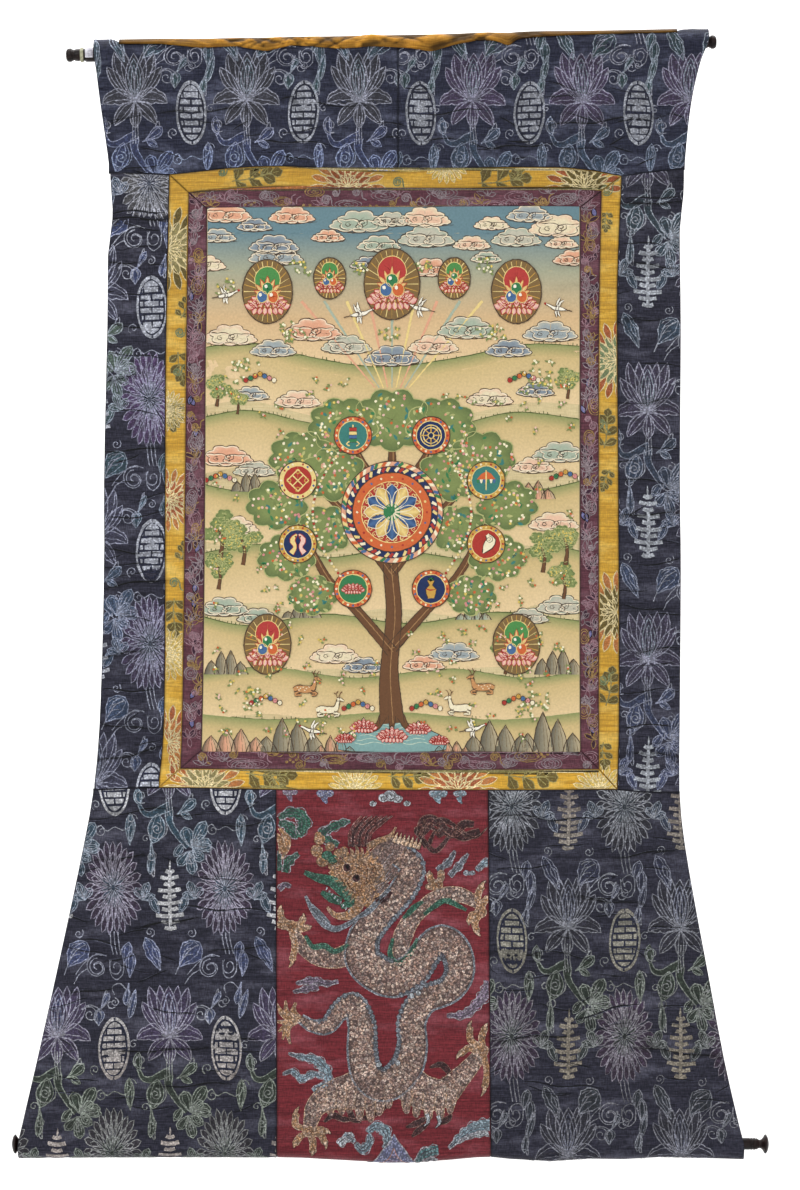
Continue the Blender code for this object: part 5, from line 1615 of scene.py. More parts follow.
def addClaw(drawing, heel, toes, palm, fill="gold", nail="paleGold"):
    # a foot with spread toes, each ending in a hooked nail
    for tip, bend in toes:
        tip, base = np.asarray(tip, float), np.asarray(heel, float)
        across = bowOf(base, tip, bend)
        knee = mix(base, tip, 0.5) + across
        wrist, end = mix(base, tip, 0.22) + across * 0.4, mix(knee, tip, 0.62)
        addBand(drawing, [base, wrist, knee, end], (3.4, 3.0, 3.4, 2.9), fill, 0.5, "paleGold", 0.8)
        addDisc(drawing, knee, 3.9, 3.7, fill, 0.55, 12)
        addRing(drawing, knee, 2.2, 2.1, 0.7, "paleGold", 1.1, 9)
        addDisc(drawing, end, 3.5, 3.2, fill, 0.6, 12)
        addRing(drawing, end, 3.5, 3.2, 0.7, "paleGold", 1.1, 12)
        hook = tip + (tip - knee) * 0.1 - across * 0.5
        addBand(drawing, [end, mix(end, hook, 0.5) + across * 0.3, hook], (2.3, 1.9, 0.4), nail, 0.7,
                "brown", 0.5)
    addDisc(drawing, heel, palm * 1.35, palm * 1.3, fill, 0.7, 14)
    addRing(drawing, heel, palm * 1.35, palm * 1.3, 0.8, "paleGold", 1.2, 14)
    addLine(drawing, spiral(heel, palm * 0.95, 40, 1.5, 0.25), 0.8, "redBrown", 1.3)


def addCloud(drawing, path, half, part, edge="edgePale"):
    # its edge waves, and a line or two follows it inside
    points, out, wide, arc = addBand(drawing, path, half, part, 0.25)
    waves = wide * (1 + 0.26 * np.sin(arc / 1.7)) + 0.5
    for side in (-1, 1):
        addLine(drawing, points + out * (waves * side)[:, None], 1.0, edge, 0.75)
        addLine(drawing, (points + out * (waves * side * 0.3)[:, None])[1:-1], 0.8, "cloudLine", 0.7)


def addCloudHead(drawing, centre, size, part, edge="edgePale", lobes=3):
    for k in range(lobes):
        turn = math.radians(-80 + 160 * k / max(1, lobes - 1))
        place = np.asarray(centre, float) + size * 0.62 * np.array([math.sin(turn), math.cos(turn) * 0.8])
        addDisc(drawing, place, size * 0.56, size * 0.5, part, 0.3)
        curl = spiral(place, size * 0.56, 200 + math.degrees(turn), 1.0 if turn < 0 else -1.0, 0.35)
        addLine(drawing, curl, 0.8, edge)
    addDisc(drawing, centre, size * 0.6, size * 0.4, part, 0.3)


def addFlame(drawing, base, tips, part="brown", edge="edgeBrown"):
    for tip, bend in tips:
        tip, start = np.asarray(tip, float), np.asarray(base, float)
        across = bowOf(start, tip, bend)
        addBand(drawing, [start, mix(start, tip, 0.35) + across, mix(start, tip, 0.75) - across * 0.6, tip],
                (2.2, 2.6, 1.6, 0.3), part, 0.25, edge, 0.6)


dragon = {
    # the body's one long coil, and its half widths
    "body": (
        (-2, -851), (15, -860), (21, -872), (10, -895), (-12, -919), (-29, -941), (-32, -964), (-21, -978),
        (0, -987), (22, -978), (34, -962), (51, -946), (67, -956), (72, -980), (60, -999), (34, -1010),
        (21, -1032), (22, -1057), (15, -1082), (-6, -1100), (-26, -1090), (-32, -1063), (-32, -1037),
        (-41, -1014), (-56, -1022), (-68, -1037), (-84, -1037), (-97, -1029),
    ),
    "bodyHalf": (
        11, 12.5, 13, 13, 13.5, 15, 17, 18.5, 19, 17, 15, 15, 15, 14, 13, 13.5, 14, 14, 15.5, 16, 16, 15,
        14.5, 13.5, 11, 8.5, 6.5, 3.5,
    ),
    # outline, clockwise from the brow
    "face": (
        (-51, -860), (-36, -854), (-21, -860), (-15, -875), (-21, -893), (-30, -905), (-41, -902),
        (-48, -890), (-57, -875),
    ),
    # places of the locks along the haunches
    "fringe": (
        (-76, -1120), (-66, -1122), (-55, -1121), (-45, -1119), (-35, -1127), (-24, -1129), (-13, -1122),
        (-4, -1114), (14, -1120), (26, -1124), (38, -1128), (50, -1126), (62, -1120),
    ),
    # heel, size of the palm, then tip and bend of each toe
    "claws": (
        ((-107, -931), 4.6, ((-119, -911), 0.2), ((-93, -920), -0.25), ((-86, -932), -0.1),
         ((-123, -928), 0.1), ((-107, -973), 0.1)),
        ((-88, -1150), 4.6, ((-102, -1126), 0.3), ((-104, -1166), -0.1), ((-84, -1175), 0.1),
         ((-66, -1151), 0.15), ((-69, -1166), 0.2)),
        ((96, -1063), 4.6, ((82, -1034), 0.2), ((69, -1069), -0.2), ((97, -1109), 0.1),
         ((100, -1035), 0.1)),
        ((94, -916), 4.6, ((97, -884), 0.15), ((81, -928), -0.2), ((91, -940), -0.2), ((103, -899), 0.1)),
        ((49, -887), 3.6, ((39, -874), 0.2), ((52, -872), -0.1), ((37, -889), 0.1)),
    ),
    # path, half widths, thread
    "clouds": (
        ([(-120, -817), (-110, -811), (-99, -812), (-93, -821), (-99, -836)], (2, 5, 6, 7, 3), "green"),
        ([(-120, -821), (-111, -824), (-104, -833), (-99, -836)], (2, 5, 6, 2), "green"),
        ([(-113, -874), (-110, -863), (-99, -854)], (3, 5, 1.5), "green"),
        ([(-120, -872), (-120, -860), (-120, -851)], (3, 3, 1), "green"),
        ([(-72, -832), (-63, -826), (-51, -821), (-44, -820)], (3, 4.5, 4, 1), "green"),
        ([(-57, -845), (-69, -839), (-74, -832), (-66, -826)], (2, 4, 4, 3), "green"),
        ([(-102, -992), (-84, -989), (-69, -992), (-57, -990)], (0.5, 4, 3, 1), "lilac"),
        ([(-105, -1001), (-92, -998), (-78, -995)], (0.5, 3.4, 3), "lilac"),
        ([(-110, -1066), (-96, -1070), (-81, -1073), (-71, -1084), (-66, -1099)], (0.5, 3, 5, 6, 3),
         "paleBlue"),
        ([(-116, -1088), (-105, -1085), (-96, -1093), (-84, -1088), (-72, -1091)], (0.5, 3, 3.4, 3, 2),
         "paleBlue"),
        ([(-84, -1106), (-77, -1102), (-66, -1100)], (2, 4, 3), "paleBlue"),
        ([(58, -1026), (76, -1025), (88, -1016), (99, -1002), (102, -989)], (1, 4, 4.5, 6, 4), "lilac"),
        ([(60, -1168), (73, -1156), (87, -1145), (105, -1142)], (0.5, 4.5, 6, 7), "paleBlue"),
        ([(70, -1162), (84, -1155), (102, -1151)], (0.4, 2.4, 3.4), "white"),
        ([(48, -872), (60, -863), (67, -851)], (2, 3.5, 0.6), "blueGrey"),
        ([(61, -878), (72, -866), (81, -854)], (2, 3.5, 0.6), "blueGrey"),
        ([(90, -872), (97, -865), (105, -862)], (1.5, 3.5, 3.5), "paleBlue"),
        ([(-120, -892), (-114, -887), (-107, -889)], (2, 2.6, 0.6), "lilac"),
        ([(-26, -1151), (-18, -1144), (-8, -1148), (-5, -1160), (-9, -1168)], (2, 5, 6, 4, 1),
         "paleBlue"),
        ([(-39, -1163), (-32, -1169), (-24, -1163), (-24, -1153)], (1, 4, 4, 2), "paleBlue"),
        ([(-56, -1165), (-50, -1159), (-41, -1153)], (3, 4.5, 3), "white"),
        ([(-51, -1153), (-45, -1157), (-39, -1162)], (2, 3, 1), "paleBlue"),
        ([(28, -1183), (30, -1175), (39, -1171), (49, -1169)], (3, 4, 4.5, 4), "teal"),
        ([(34, -1183), (40, -1178), (48, -1181)], (1, 2.4, 1.5), "white"),
    ),
    # path
    "smallFlames": (
        [(-72, -1139), (-63, -1132), (-51, -1136), (-39, -1136)],
        [(-39, -1136), (-24, -1133), (-9, -1123), (1, -1108)], [(-45, -1123), (-42, -1135), (-33, -1139)],
        [(15, -1145), (25, -1141), (39, -1133)], [(21, -1156), (30, -1147), (40, -1139)],
        [(51, -1141), (60, -1135), (63, -1129)], [(40, -1081), (52, -1078), (61, -1087), (64, -1100)],
        [(51, -1100), (55, -1094), (61, -1100)],
    ),
    # tip, bend
    "tuft": (
        ((-123, -1013), 0.2), ((-120, -1022), 0.15), ((-123, -1032), 0.1), ((-120, -1043), -0.1),
        ((-116, -1051), -0.2), ((-108, -1056), -0.3), ((-113, -1010), 0.3), ((-102, -1012), 0.3),
    ),
    # path, half widths
    "legs": (
        ([(-33, -953), (-54, -964), (-75, -965), (-93, -955), (-105, -935)], (11, 11, 9, 7, 5)),
        ([(-12, -1090), (-36, -1104), (-60, -1110), (-80, -1122), (-88, -1146)], (20, 21, 16, 11, 6)),
        ([(4, -1086), (30, -1106), (54, -1108), (72, -1092), (88, -1074), (97, -1060)],
         (20, 19, 17, 12, 9, 6)),
        ([(10, -965), (10, -947), (22, -923), (48, -901), (72, -898), (93, -908)], (8, 10, 8, 8, 8, 5)),
    ),
    # path
    "greenLocks": (
        [(-92, -941), (-84, -953), (-72, -952), (-60, -958), (-45, -950)],
        [(1, -944), (-2, -961), (6, -971), (19, -961), (27, -944)], [(12, -923), (24, -911), (33, -905)],
        [(34, -919), (45, -910), (58, -904), (79, -914)],
    ),
    # path, half widths
    "jaw": (
        ([(-65, -872), (-54, -884), (-45, -896), (-36, -908), (-45, -919), (-59, -920), (-69, -911)],
         (3, 4, 5, 6, 5, 3, 1)),
        ([(-24, -860), (-12, -872), (-9, -884)], (3, 4, 2)),
        ([(-33, -905), (-21, -908), (-15, -896)], (3, 3.4, 2)),
    ),
    # path
    "faceLines": (
        [(-56, -862), (-49, -856), (-41, -858)], [(-46, -874), (-40, -868), (-31, -872)],
        [(-50, -880), (-45, -889), (-38, -896), (-31, -899)], [(-24, -862), (-17, -872), (-19, -885)],
        [(-57, -875), (-52, -884), (-47, -893)], [(-33, -862), (-27, -868), (-26, -878)],
    ),
}


def drawDragon():
    made = newDrawing()
    # clouds, mist and flames first, then the legs, the body, the feet and the head
    for x, z, size, part in ((-108, -793, 7, "lilac"), (-71, -795, 8, "lilacBlue"),
                             (49, -795, 8.5, "paleBlue"), (72, -795, 6, "paleBlue")):
        addCloudHead(made, (x, z + 4), size, part)
        addBand(made, [(x - 1, z + 1), (x, z - 2.5), (x + 2, z - 6)], (0.5 * size, 0.35 * size, 0.8), part,
                0.3)
    for x, z, size in ((-2, -793, 7.5), (-9, -795, 5.5), (6, -796, 5.5), (-20, -801, 3.8), (16, -801, 3.8)):
        addDisc(made, (x, z), size, size * 0.8, "white", 0.3)
        addLine(made, spiral((x, z), size * 0.8, 0, 1.3), 0.8, "brown")
    for path, half, part in dragon["clouds"]:
        addCloud(made, path, half, part)
    addCloudHead(made, (82, -875), 5.5, "blueGrey", lobes=2)
    x, foot = 2, -1195  # a rock that stands in the panel's foot
    for share, part, edge in ((1.0, "lilacBlue", "edgePale"), (0.66, "lilac", "edgePink")):
        left = smooth([(x - 33 * share, foot), (x - 17 * share, foot + 20 * share),
                       (x - 5 * share, foot + 33 * share), (x, foot + 42 * share)])
        right = left * (-1, 1) + (2 * x, 0)
        addLeaf(made, [mix(left, right, k / 8) for k in range(9)], part, 1.3, edge, [0.4] * 9, 0.9)
    addFlame(made, (30, -836), (((33, -818), 0.3), ((51, -821), 0.4), ((51, -836), -0.5),
             ((70, -826), 0.35), ((79, -838), -0.3), ((102, -826), 0.2)))
    for path in ([(28, -835), (33, -820), (43, -818), (55, -827), (48, -836)],
                 [(55, -827), (67, -832), (76, -823), (87, -823)], [(66, -835), (78, -836), (93, -830)]):
        addBand(made, path, (2.5, 4.5, 4.5, 3), "brown", 0.3, "edgeBrown", 0.8)
    for path in dragon["smallFlames"]:
        addBand(made, path, (1.0, 3.4, 3.0, 0.8), "brown", 0.3, "edgeBrown", 0.7)
    # the tail's tuft
    for tip, bend in dragon["tuft"]:
        base, tip = np.array((-97, -1029)), np.array(tip)
        across = bowOf(base, tip, bend)
        addBand(made, [base, mix(base, tip, 0.5) + across, tip], (2.4, 3.0, 0.8), "gold", 0.35, "paleGold",
                0.7)
    # legs behind the body
    for path, half in dragon["legs"]:
        addScales(made, *addBand(made, path, half, "scaleDark", 0.3, "paleGold", 0.8, 4), 3.6)
    for k, (x, z) in enumerate(dragon["fringe"]):  # the coat hangs in locks along the haunches
        lock = [(x + 2, z + 18), (x + 1, z + 6), (x - 0.5 + (k % 3), z - 7)]
        addScales(made, *addBand(made, lock, (5.6, 5.4, 3.2), "scaleDark", 0.34, "paleGold", 0.8, 4), 3.6)
        addDisc(made, (x - 0.5 + (k % 3), z - 7), 3.3, 3.6, "scale", 0.4, 10)
    for path in dragon["greenLocks"]:
        addBand(made, path, (1.4, 2.8, 2.8, 1.2), "green", 0.75, "edgeGreen", 0.6)
    for x, z in ((37, -1130), (49, -1132)):
        addBand(made, [(x, z), (x + 1.5, z - 8), (x - 3, z - 14)], (2.2, 1.8, 0.4), "white", 0.8, "brown",
                0.7)
    # the body, in one long coil
    coil = addBand(made, dragon["body"], dragon["bodyHalf"], "scaleDark", 0.55, rows=6)
    points, out, wide = coil[:3]
    rims = ((0.2, 2.6, "blueGrey", 0.75), (-1.5, 0.8, "brown", 1.0), (1.5, 0.7, "edgePale", 1.0))
    for side in (-1, 1):
        for off, width, part, rise in rims:
            addLine(made, points + out * ((wide + off) * side)[:, None], width, part, rise)
    lifted = newDrawing()
    addScales(lifted, *coil, 4.2)
    addBelly(lifted, *coil, 1, first=0.02, last=0.30)
    addBelly(lifted, *coil, -1, first=0.30, last=0.97)
    lifted["lift"] = [lift + 0.3 for lift in lifted["lift"]]
    joinDrawing(made, lifted)
    for x, z in ((21, -1005), (28, -1002), (-14, -1078), (6, -1076)):
        addDisc(made, (x, z), 3.0, 3.0, "white", 1.2, 9)
        addRing(made, (x, z), 3.0, 3.0, 0.8, "brown", 1.6, 9)
    # feet
    for heel, palm, *toes in dragon["claws"]:
        addClaw(made, heel, toes, palm)
    for path, half in (([(-38, -872), (-20, -864), (-4, -852), (10, -842)], (6, 11, 13, 9)),
                       ([(-30, -890), (-12, -880), (2, -868)], (4, 8, 9)),
                       ([(-30, -903), (-18, -896), (-8, -884)], (3, 5, 6))):
        addScales(made, *addBand(made, path, half, "scaleDark", 0.85, "paleGold", 0.8, 6), 3.6)
    for k in range(26):  # strands of the mane, swept up and back from the face
        start = np.array((-22 + 5 * math.sin(k * 2.1), -870 - 1.0 * k + 6 * math.cos(k)))
        sweep = np.array((14 + 5 * math.sin(k * 1.3), 15 + 4 * math.cos(k * 1.7)))
        addLine(made, smooth([start, start + sweep * (0.5, 0.3), start + sweep]), 0.9,
                ("paleGold", "edgePale", "redBrown")[k % 3], 1.5)
    # hair, horn and spines, then the mane, jaw, face and whiskers
    for k in range(7):
        shift = k * 6.0
        addBand(made, [(-45 + shift * 0.55, -847), (-45 + shift * 0.6 + 1, -832),
                       (-45 + shift * 0.8 + 8, -820), (-32 + shift * 0.9, -814)],
                (1.2, 1.7, 1.5, 0.5), "brown" if k % 2 else "redBrown", 0.9, "edgePink", 0.6)
    addBand(made, [(-26, -847), (-15, -841), (-2, -836), (4, -826)], (3.4, 3.0, 2.4, 0.5), "tan", 1.0,
            "paleGold", 0.8)
    for k in range(7):
        x, z = 2.8 + 4.2 * k, -839.2 - 1.2 * k
        addBand(made, [(x - 1, z - 3), (x + 1.5, z + 3), (x + 3, z + 8)], (2.4, 1.8, 0.3), "paleGold", 1.1,
                "brown", 0.6)
    for x, z, size in ((-77, -839, 6), (-80, -851, 6.5), (-66, -847, 5), (-74, -862, 6.5), (-63, -866, 5.5),
                       (-57, -854, 5), (-78, -835, 4), (-51, -851, 4.5)):
        addDisc(made, (x, z), size, size, "gold", 0.9, 12)
        addLine(made, spiral((x, z), size, 60, 1.6, 0.15), 0.9, "paleGold", 1.4)
    for x, z in ((-69, -856), (-63, -860)):
        addDisc(made, (x, z), 6, 5, "green", 1.1, 10)
    middle = np.array((-36, -878))
    edge = smooth(dragon["face"], closed=True)
    addStrip(made, [edge, mix(edge, middle, 0.5), mix(edge, middle, 0.98)], [0.9, 1.4, 1.6], "gold")
    addLine(made, edge, 0.9, "paleGold", 1.5)
    # hair lines along the muzzle, up the brow and over the cheek
    for count, start, end, shift, bend in (
            (5, (-62, -869), (-40, -889), (2.8, 2.2), 1.5), (6, (-41, -876), (-39, -859), (3.6, -1.4), -1.5),
            (7, (-37, -895), (-26, -879), (2.3, 1.9), 2.0)):
        for k in range(count):
            step = np.array(shift) * k
            first, last = start + step, end + step
            across = np.array((first[1] - last[1], last[0] - first[0])) * 0.06 * bend
            addLine(made, smooth([first, mix(first, last, 0.5) + across, last]), 0.8,
                    ("paleGold", "redBrown")[k % 2], 1.9)
    for path, half in dragon["jaw"]:
        addBand(made, path, half, "gold", 1.1, "paleGold", 0.8)
    for path, half in (([(-93, -874), (-78, -880), (-63, -884), (-50, -895), (-44, -905), (-54, -911)],
                        (2, 4, 5.5, 6.5, 5.5, 2)), ([(-75, -895), (-65, -901), (-54, -905)], (2, 4.5, 4))):
        addBand(made, path, half, "green", 1.3, "edgeGreen", 0.7)
    for k in range(9):  # teeth along the jaw
        x, z = mix(np.array((-69, -890)), np.array((-45, -914)), k / 8)
        addBand(made, [(x, z), (x - 1.2, z - 2.8)], (1.0, 0.3), "white", 1.7)
    # short flames round the face, and hairs over it
    for k, (x, z) in enumerate(smooth(dragon["face"], closed=True, step=5.2)):
        away = np.array([x + 36, z + 878]) / math.hypot(x + 36, z + 878)
        tip = np.array([x, z]) + away * (6.5 if k % 2 else 4.5) + (-1.5, 2.0)
        addBand(made, [(x, z) - away * 4, mix(np.array([x, z]), tip, 0.5) + (1.0, 0.0), tip],
                (1.8, 1.7, 0.3), "gold", 1.3, "paleGold", 0.7)
    for k in range(30):
        turn, reach = k * 2.4, 3.5 + 15 * ((k * 7) % 11) / 11
        x, z = -36 + reach * math.sin(turn), -879 + reach * 1.25 * math.cos(turn)
        addLine(made, smooth([(x, z), (x + 2.2 * math.sin(turn), z + 2.4 * math.cos(turn)),
                              (x + 4.6 * math.sin(turn + 0.4), z + 4.6 * math.cos(turn + 0.4))]), 0.9,
                ("paleGold", "redBrown", "edgePink")[k % 3], 2.0)
    for x, z, turn in ((-56, -866, -50), (-52, -861, -20), (-44, -863, 20), (-45, -874, -30),
                       (-34, -872, 40), (-30, -879, 70)):
        addPetal(made, (x, z), turn, 8.5, 1.5, "paleGold", 0)
    for x, z in ((-48, -869), (-38, -880)):
        addDisc(made, (x, z), 4.8, 5.2, "paleGold", 1.6, 14)
        addDisc(made, (x, z), 3.9, 4.3, "brown", 2.0, 14)
        addDisc(made, (x + 0.6, z + 0.8), 1.7, 1.9, "eye", 2.4, 10)
    for path in dragon["faceLines"]:
        addLine(made, smooth(path), 1.0, "brown", 2.1, taper=True)
        addLine(made, smooth([(x + 1.4, z + 1.2) for x, z in path]), 0.9, "paleGold", 2.1)
    for x, z, turn in ((-45, -880, 1), (-26, -869, 1), (-33, -892, -1), (-27, -884, -1)):
        addLine(made, spiral((x, z), 3.6, 0, turn * 1.2), 0.8, "redBrown", 1.9)
    for path in ([(-92, -899), (-84, -914), (-72, -929), (-59, -934), (-45, -928), (-36, -920)],
                 [(-86, -908), (-77, -919), (-66, -928)], [(-39, -923), (-26, -916), (-14, -904),
                 (-2, -892)]):
        points, out, wide = addBand(made, path, (0.8, 2.6, 3.2, 3.0, 2.4, 0.8), "blueGrey", 1.2, "edgePale",
            0.9)[:3]
        addLine(made, (points + out * (wide * 0.2)[:, None])[2:-2], 0.9, "brown", 1.8)
    addCloudHead(made, (-8, -892), 7.5, "blueGrey", lobes=3)
    addBand(made, [(-18, -904), (-9, -902), (0, -895)], (3, 4, 1), "brown", 1.2, "edgeBrown", 0.6)
    for path in ([(-120, -827), (-111, -839), (-113, -851), (-117, -860)],
                 [(-122, -833), (-117, -844), (-119, -854)]):
        addBand(made, path, (1, 3.4, 3.2, 0.6), "gold", 0.5, "paleGold", 0.8)
    return made


doorThreads = {
    "scale": "#a98879", "scaleLight": "#ccb09e", "scaleDark": "#7b635d", "gold": "#a97e59",
    "paleGold": "#d0ac8c", "tan": "#ab8463", "green": "#3b6a58", "edgeGreen": "#648f78",
    "blueGrey": "#7f8893", "brown": "#4a2c2e", "edgeBrown": "#8a6258", "redBrown": "#6b3a38",
    "edgePink": "#b5857c", "white": "#b4bac0", "lilac": "#8b7a90", "lilacBlue": "#777b9c",
    "paleBlue": "#8299a6", "teal": "#5f8488", "edgePale": "#a8a4ac", "eye": "#160f12",
    "cloudLine": "#5c5560",
}


def threadColour(threads, partName):
    if ">" in partName:
        upper, lower, share = partName.split(">")
        return mix(np.array(linear(threads[upper])), np.array(linear(threads[lower])), float(share))[:3]
    return linear(threads[partName])[:3]


def sewFigures(node, name, drawing, threads, ends, material, inset=(9, 3), uneven=0.16):
    flat, lift, part, faces = arrays(drawing)
    flat += shuttle.normal(0, uneven, flat.shape)
    colours = np.zeros((len(flat), 3))
    for k, partName in enumerate(partNames):
        if partName.split(">")[0] in threads:
            colours[part == k] = threadColour(threads, partName)
    flat, used, faces = clipped(flat, faces, node, *ends, inset=inset)
    return figureObject(name, flat, lift, colours, faces, used, material)


sewFigures("door_panel", "door_dragon", drawDragon(), doorThreads, figureEnds("door_panel"),
           dragonThread, (3, 13))
print("dragon woven in the door piece")


# The two silk borders are cut from figured satin, so each strip shows parts of its flowers.
borderThreads = {
    "orange": "#b9743a", "rust": "#a4572c", "cream": "#e2cf9a", "straw": "#d3b45a", "olive": "#6a5a2c",
    "oliveDark": "#4b4020", "oliveLine": "#9a9058", "greyGold": "#8f8455", "mauve": "#9a7680",
    "greyMauve": "#948489", "plum": "#3f2234", "tanGold": "#a07f4a", "lilacBlue": "#7673a4",
    "greenGrey": "#7c8a62",
}


def addFan(drawing, base, angle, size, fill, inner, edge="cream", petals=11, spread=100):
    # half a chrysanthemum, its petals fanned about an angle from straight up
    for row, (far, near, colour) in enumerate(((1.0, 0.42, fill), (0.66, 0.2, inner), (0.36, 0.0, inner))):
        for k in range(petals - row * 2):
            turn = angle + mix(-spread, spread, (k + 0.5) / (petals - row * 2))
            start = onOval(base, size * near, size * near, math.radians(turn))
            rails = petalRails(start, turn, size * (far - near), size * 0.085, full=0.62)
            addLeaf(drawing, rails, colour, 0.95, edge)


def addSpray(drawing, base, angle, size, fill="olive", edge="oliveLine"):
    # a stem with paired notched leaves
    turn = math.radians(angle)
    run = np.array([math.sin(turn), math.cos(turn)])
    base = np.asarray(base, float)
    middle = base + run * size * 0.5 + (run[1] * 1.5, -run[0] * 1.5)
    addLine(drawing, smooth([base, middle, base + run * size]), 1.2, edge)
    for share, lean, length in ((0.1, 62, 0.42), (0.1, -62, 0.42), (0.42, 54, 0.46), (0.46, -54, 0.46),
            (0.75, 40, 0.36), (0.75, -40, 0.36), (0.95, 0, 0.3)):
        rails = petalRails(base + run * size * share, angle + lean, size * length, size * 0.12,
                           full=0.6, scallops=3)
        addLeaf(drawing, rails, fill, 0.8, edge)
        addLine(drawing, rails[1][1:-1], 0.7, edge)


def addScroll(drawing, centre, size, hand=1, line="oliveLine", fill=None):
    addLine(drawing, spiral(centre, size, 90, 1.6 * hand, 0.18), 1.3, line)
    addLine(drawing, spiral(centre, size * 0.72, 90, 1.2 * hand, 0.2), 0.9, line)
    x, z = centre
    tail = [(x + size, z), (x + size * 1.1, z + size * hand), (x + size * 1.9, z + size * 1.5 * hand)]
    addLine(drawing, smooth(tail), 1.3, line)
    if fill:
        addDisc(drawing, centre, size * 0.5, size * 0.5, fill)


def addWaterCloud(drawing, centre, half, high, line, fill=None):
    # the satin's small cloud: two rims round a swirl
    for share in (1.0, 0.72):
        addRing(drawing, centre, half * share, high * share, 0.9, line)
    addLine(drawing, spiral(centre, high * 0.5, 40, 1.4, 0.2, squeeze=half / high), 0.8, line)
    if fill:
        addDisc(drawing, centre, half * 0.5, high * 0.5, fill)


borders = {
    # foot, angle, size
    "sprays": (
        ((-170, -141), 78, 44), ((-138, -137), -20, 24), ((91, -143), 84, 46), ((131, -140), 10, 22),
        ((-155, -769), 92, 44), ((-129, -766), 150, 24), ((-4, -772), 88, 36), ((119, -771), 92, 46),
        ((-227, -322), 170, 30), ((-224, -286), 20, 22), ((-229, -375), 186, 26), ((-231, -583), 178, 34),
        ((-225, -543), 20, 20), ((225, -424), 6, 34), ((231, -447), 200, 20), ((227, -697), 10, 34),
        ((224, -736), 176, 24), ((228, -173), 184, 18),
    ),
    # foot, angle, size, outer and inner thread
    "fans": (
        ((-47, -147), 0, 40, "orange", "rust"), ((204, -148), 0, 42, "rust", "olive"),
        ((-238, -212), 90, 46, "olive", "greyGold"), ((-238, -479), 88, 34, "orange", "rust"),
        ((-237, -736), 80, 40, "rust", "orange"), ((-199, -787), 5, 44, "orange", "greyGold"),
        ((70, -787), 0, 44, "orange", "rust"), ((239, -331), -92, 42, "rust", "greenGrey"),
        ((238, -598), -90, 44, "orange", "olive"), ((58, -118), 180, 26, "straw", "straw"),
        ((-39, -789), 0, 30, "straw", "straw"), ((-238, -643), 90, 28, "straw", "straw"),
        ((-238, -384), 90, 22, "straw", "straw"), ((221, -789), 0, 30, "straw", "straw"),
    ),
    # place, size, hand
    "scrolls": (
        ((227, -150), 7, 1), ((221, -399), 6, -1), ((224, -670), 6, 1), ((-225, -301), 6, 1),
        ((-231, -567), 6, -1), ((-228, -343), 5, 1), ((-180, -131), 5, 1), ((6, -142), 6, -1),
    ),
}


def drawBorders():
    gold, maroon = newDrawing(), newDrawing()
    for base, angle, size in borders["sprays"]:
        addSpray(gold, base, angle, size)
    for base, angle, size, fill, inner in borders["fans"]:
        addFan(gold, base, angle, size, fill, inner)
    for centre, size, hand in borders["scrolls"]:
        addScroll(gold, centre, size, hand, "greenGrey")
    scatter = random.Random(21)
    for x in np.arange(-205, 215, 8.5):
        for z in (-160, -755):
            place = (x + scatter.uniform(-4, 4), z + scatter.uniform(-8, 8))
            kind = scatter.random()
            line = scatter.choice(("greyMauve", "mauve", "greyMauve", "tanGold"))
            if kind < 0.34:
                addWaterCloud(maroon, place, scatter.uniform(9, 15), scatter.uniform(4.5, 6.5), line)
            elif kind < 0.62:
                addScroll(maroon, place, scatter.uniform(3.5, 6), scatter.choice((-1, 1)), line)
            elif kind < 0.85:
                for turn in (-70, -30, 20, 75):
                    length = [scatter.uniform(8, 13) for _ in range(3)][-1]
                    left, _, right = petalRails(place, turn, length, 2.2)
                    addLine(maroon, np.concatenate([left, right[-2::-1]]), 0.85, line)
            else:
                for k in range(4):
                    addDisc(maroon, (place[0] + k * 3.4, place[1] - 4 + 2.4 * (k % 2)), 1.7, 1.5, "tanGold",
                            count=7)
    for z in np.arange(-735, -165, 6.4):
        for x in (-209, 210):
            place = (x + scatter.uniform(-7, 7), z + scatter.uniform(-4, 4))
            line = scatter.choice(("greyMauve", "mauve", "mauve", "greyMauve", "tanGold"))
            kind = scatter.random()
            if kind < 0.25:
                addScroll(maroon, place, scatter.uniform(3.5, 5.5), scatter.choice((-1, 1)), line)
            elif kind < 0.4:
                addWaterCloud(maroon, place, scatter.uniform(5, 7), scatter.uniform(6, 10), line)
            elif kind < 0.9:
                for turn in (-60, -20, 20, 60, 180):
                    left, centre, right = petalRails(place, turn + scatter.uniform(-12, 12),
                        scatter.uniform(8, 14), 2.3)
                    if scatter.random() < 0.4:
                        addStrip(maroon, [left, centre, right], [0.1, 0.16, 0.1], "plum")
                    addLine(maroon, np.concatenate([left, right[-2::-1]]), 0.85, line)
            else:
                addPetal(maroon, place, scatter.uniform(-30, 30), 10, 2.6, "lilacBlue", 0.8)
    return gold, maroon


goldFigures, maroonFigures = drawBorders()
for side in ("top", "bottom", "left", "right"):
    for cloth, figures in (("gold_border_", goldFigures), ("maroon_border_", maroonFigures)):
        low, high = outlineOf(cloth + side, 0)
        sewFigures(cloth + side, cloth + side + "_figures", figures, borderThreads, (high, low),
                   satinThread, (0.4, 0.4))
print("borders figured")


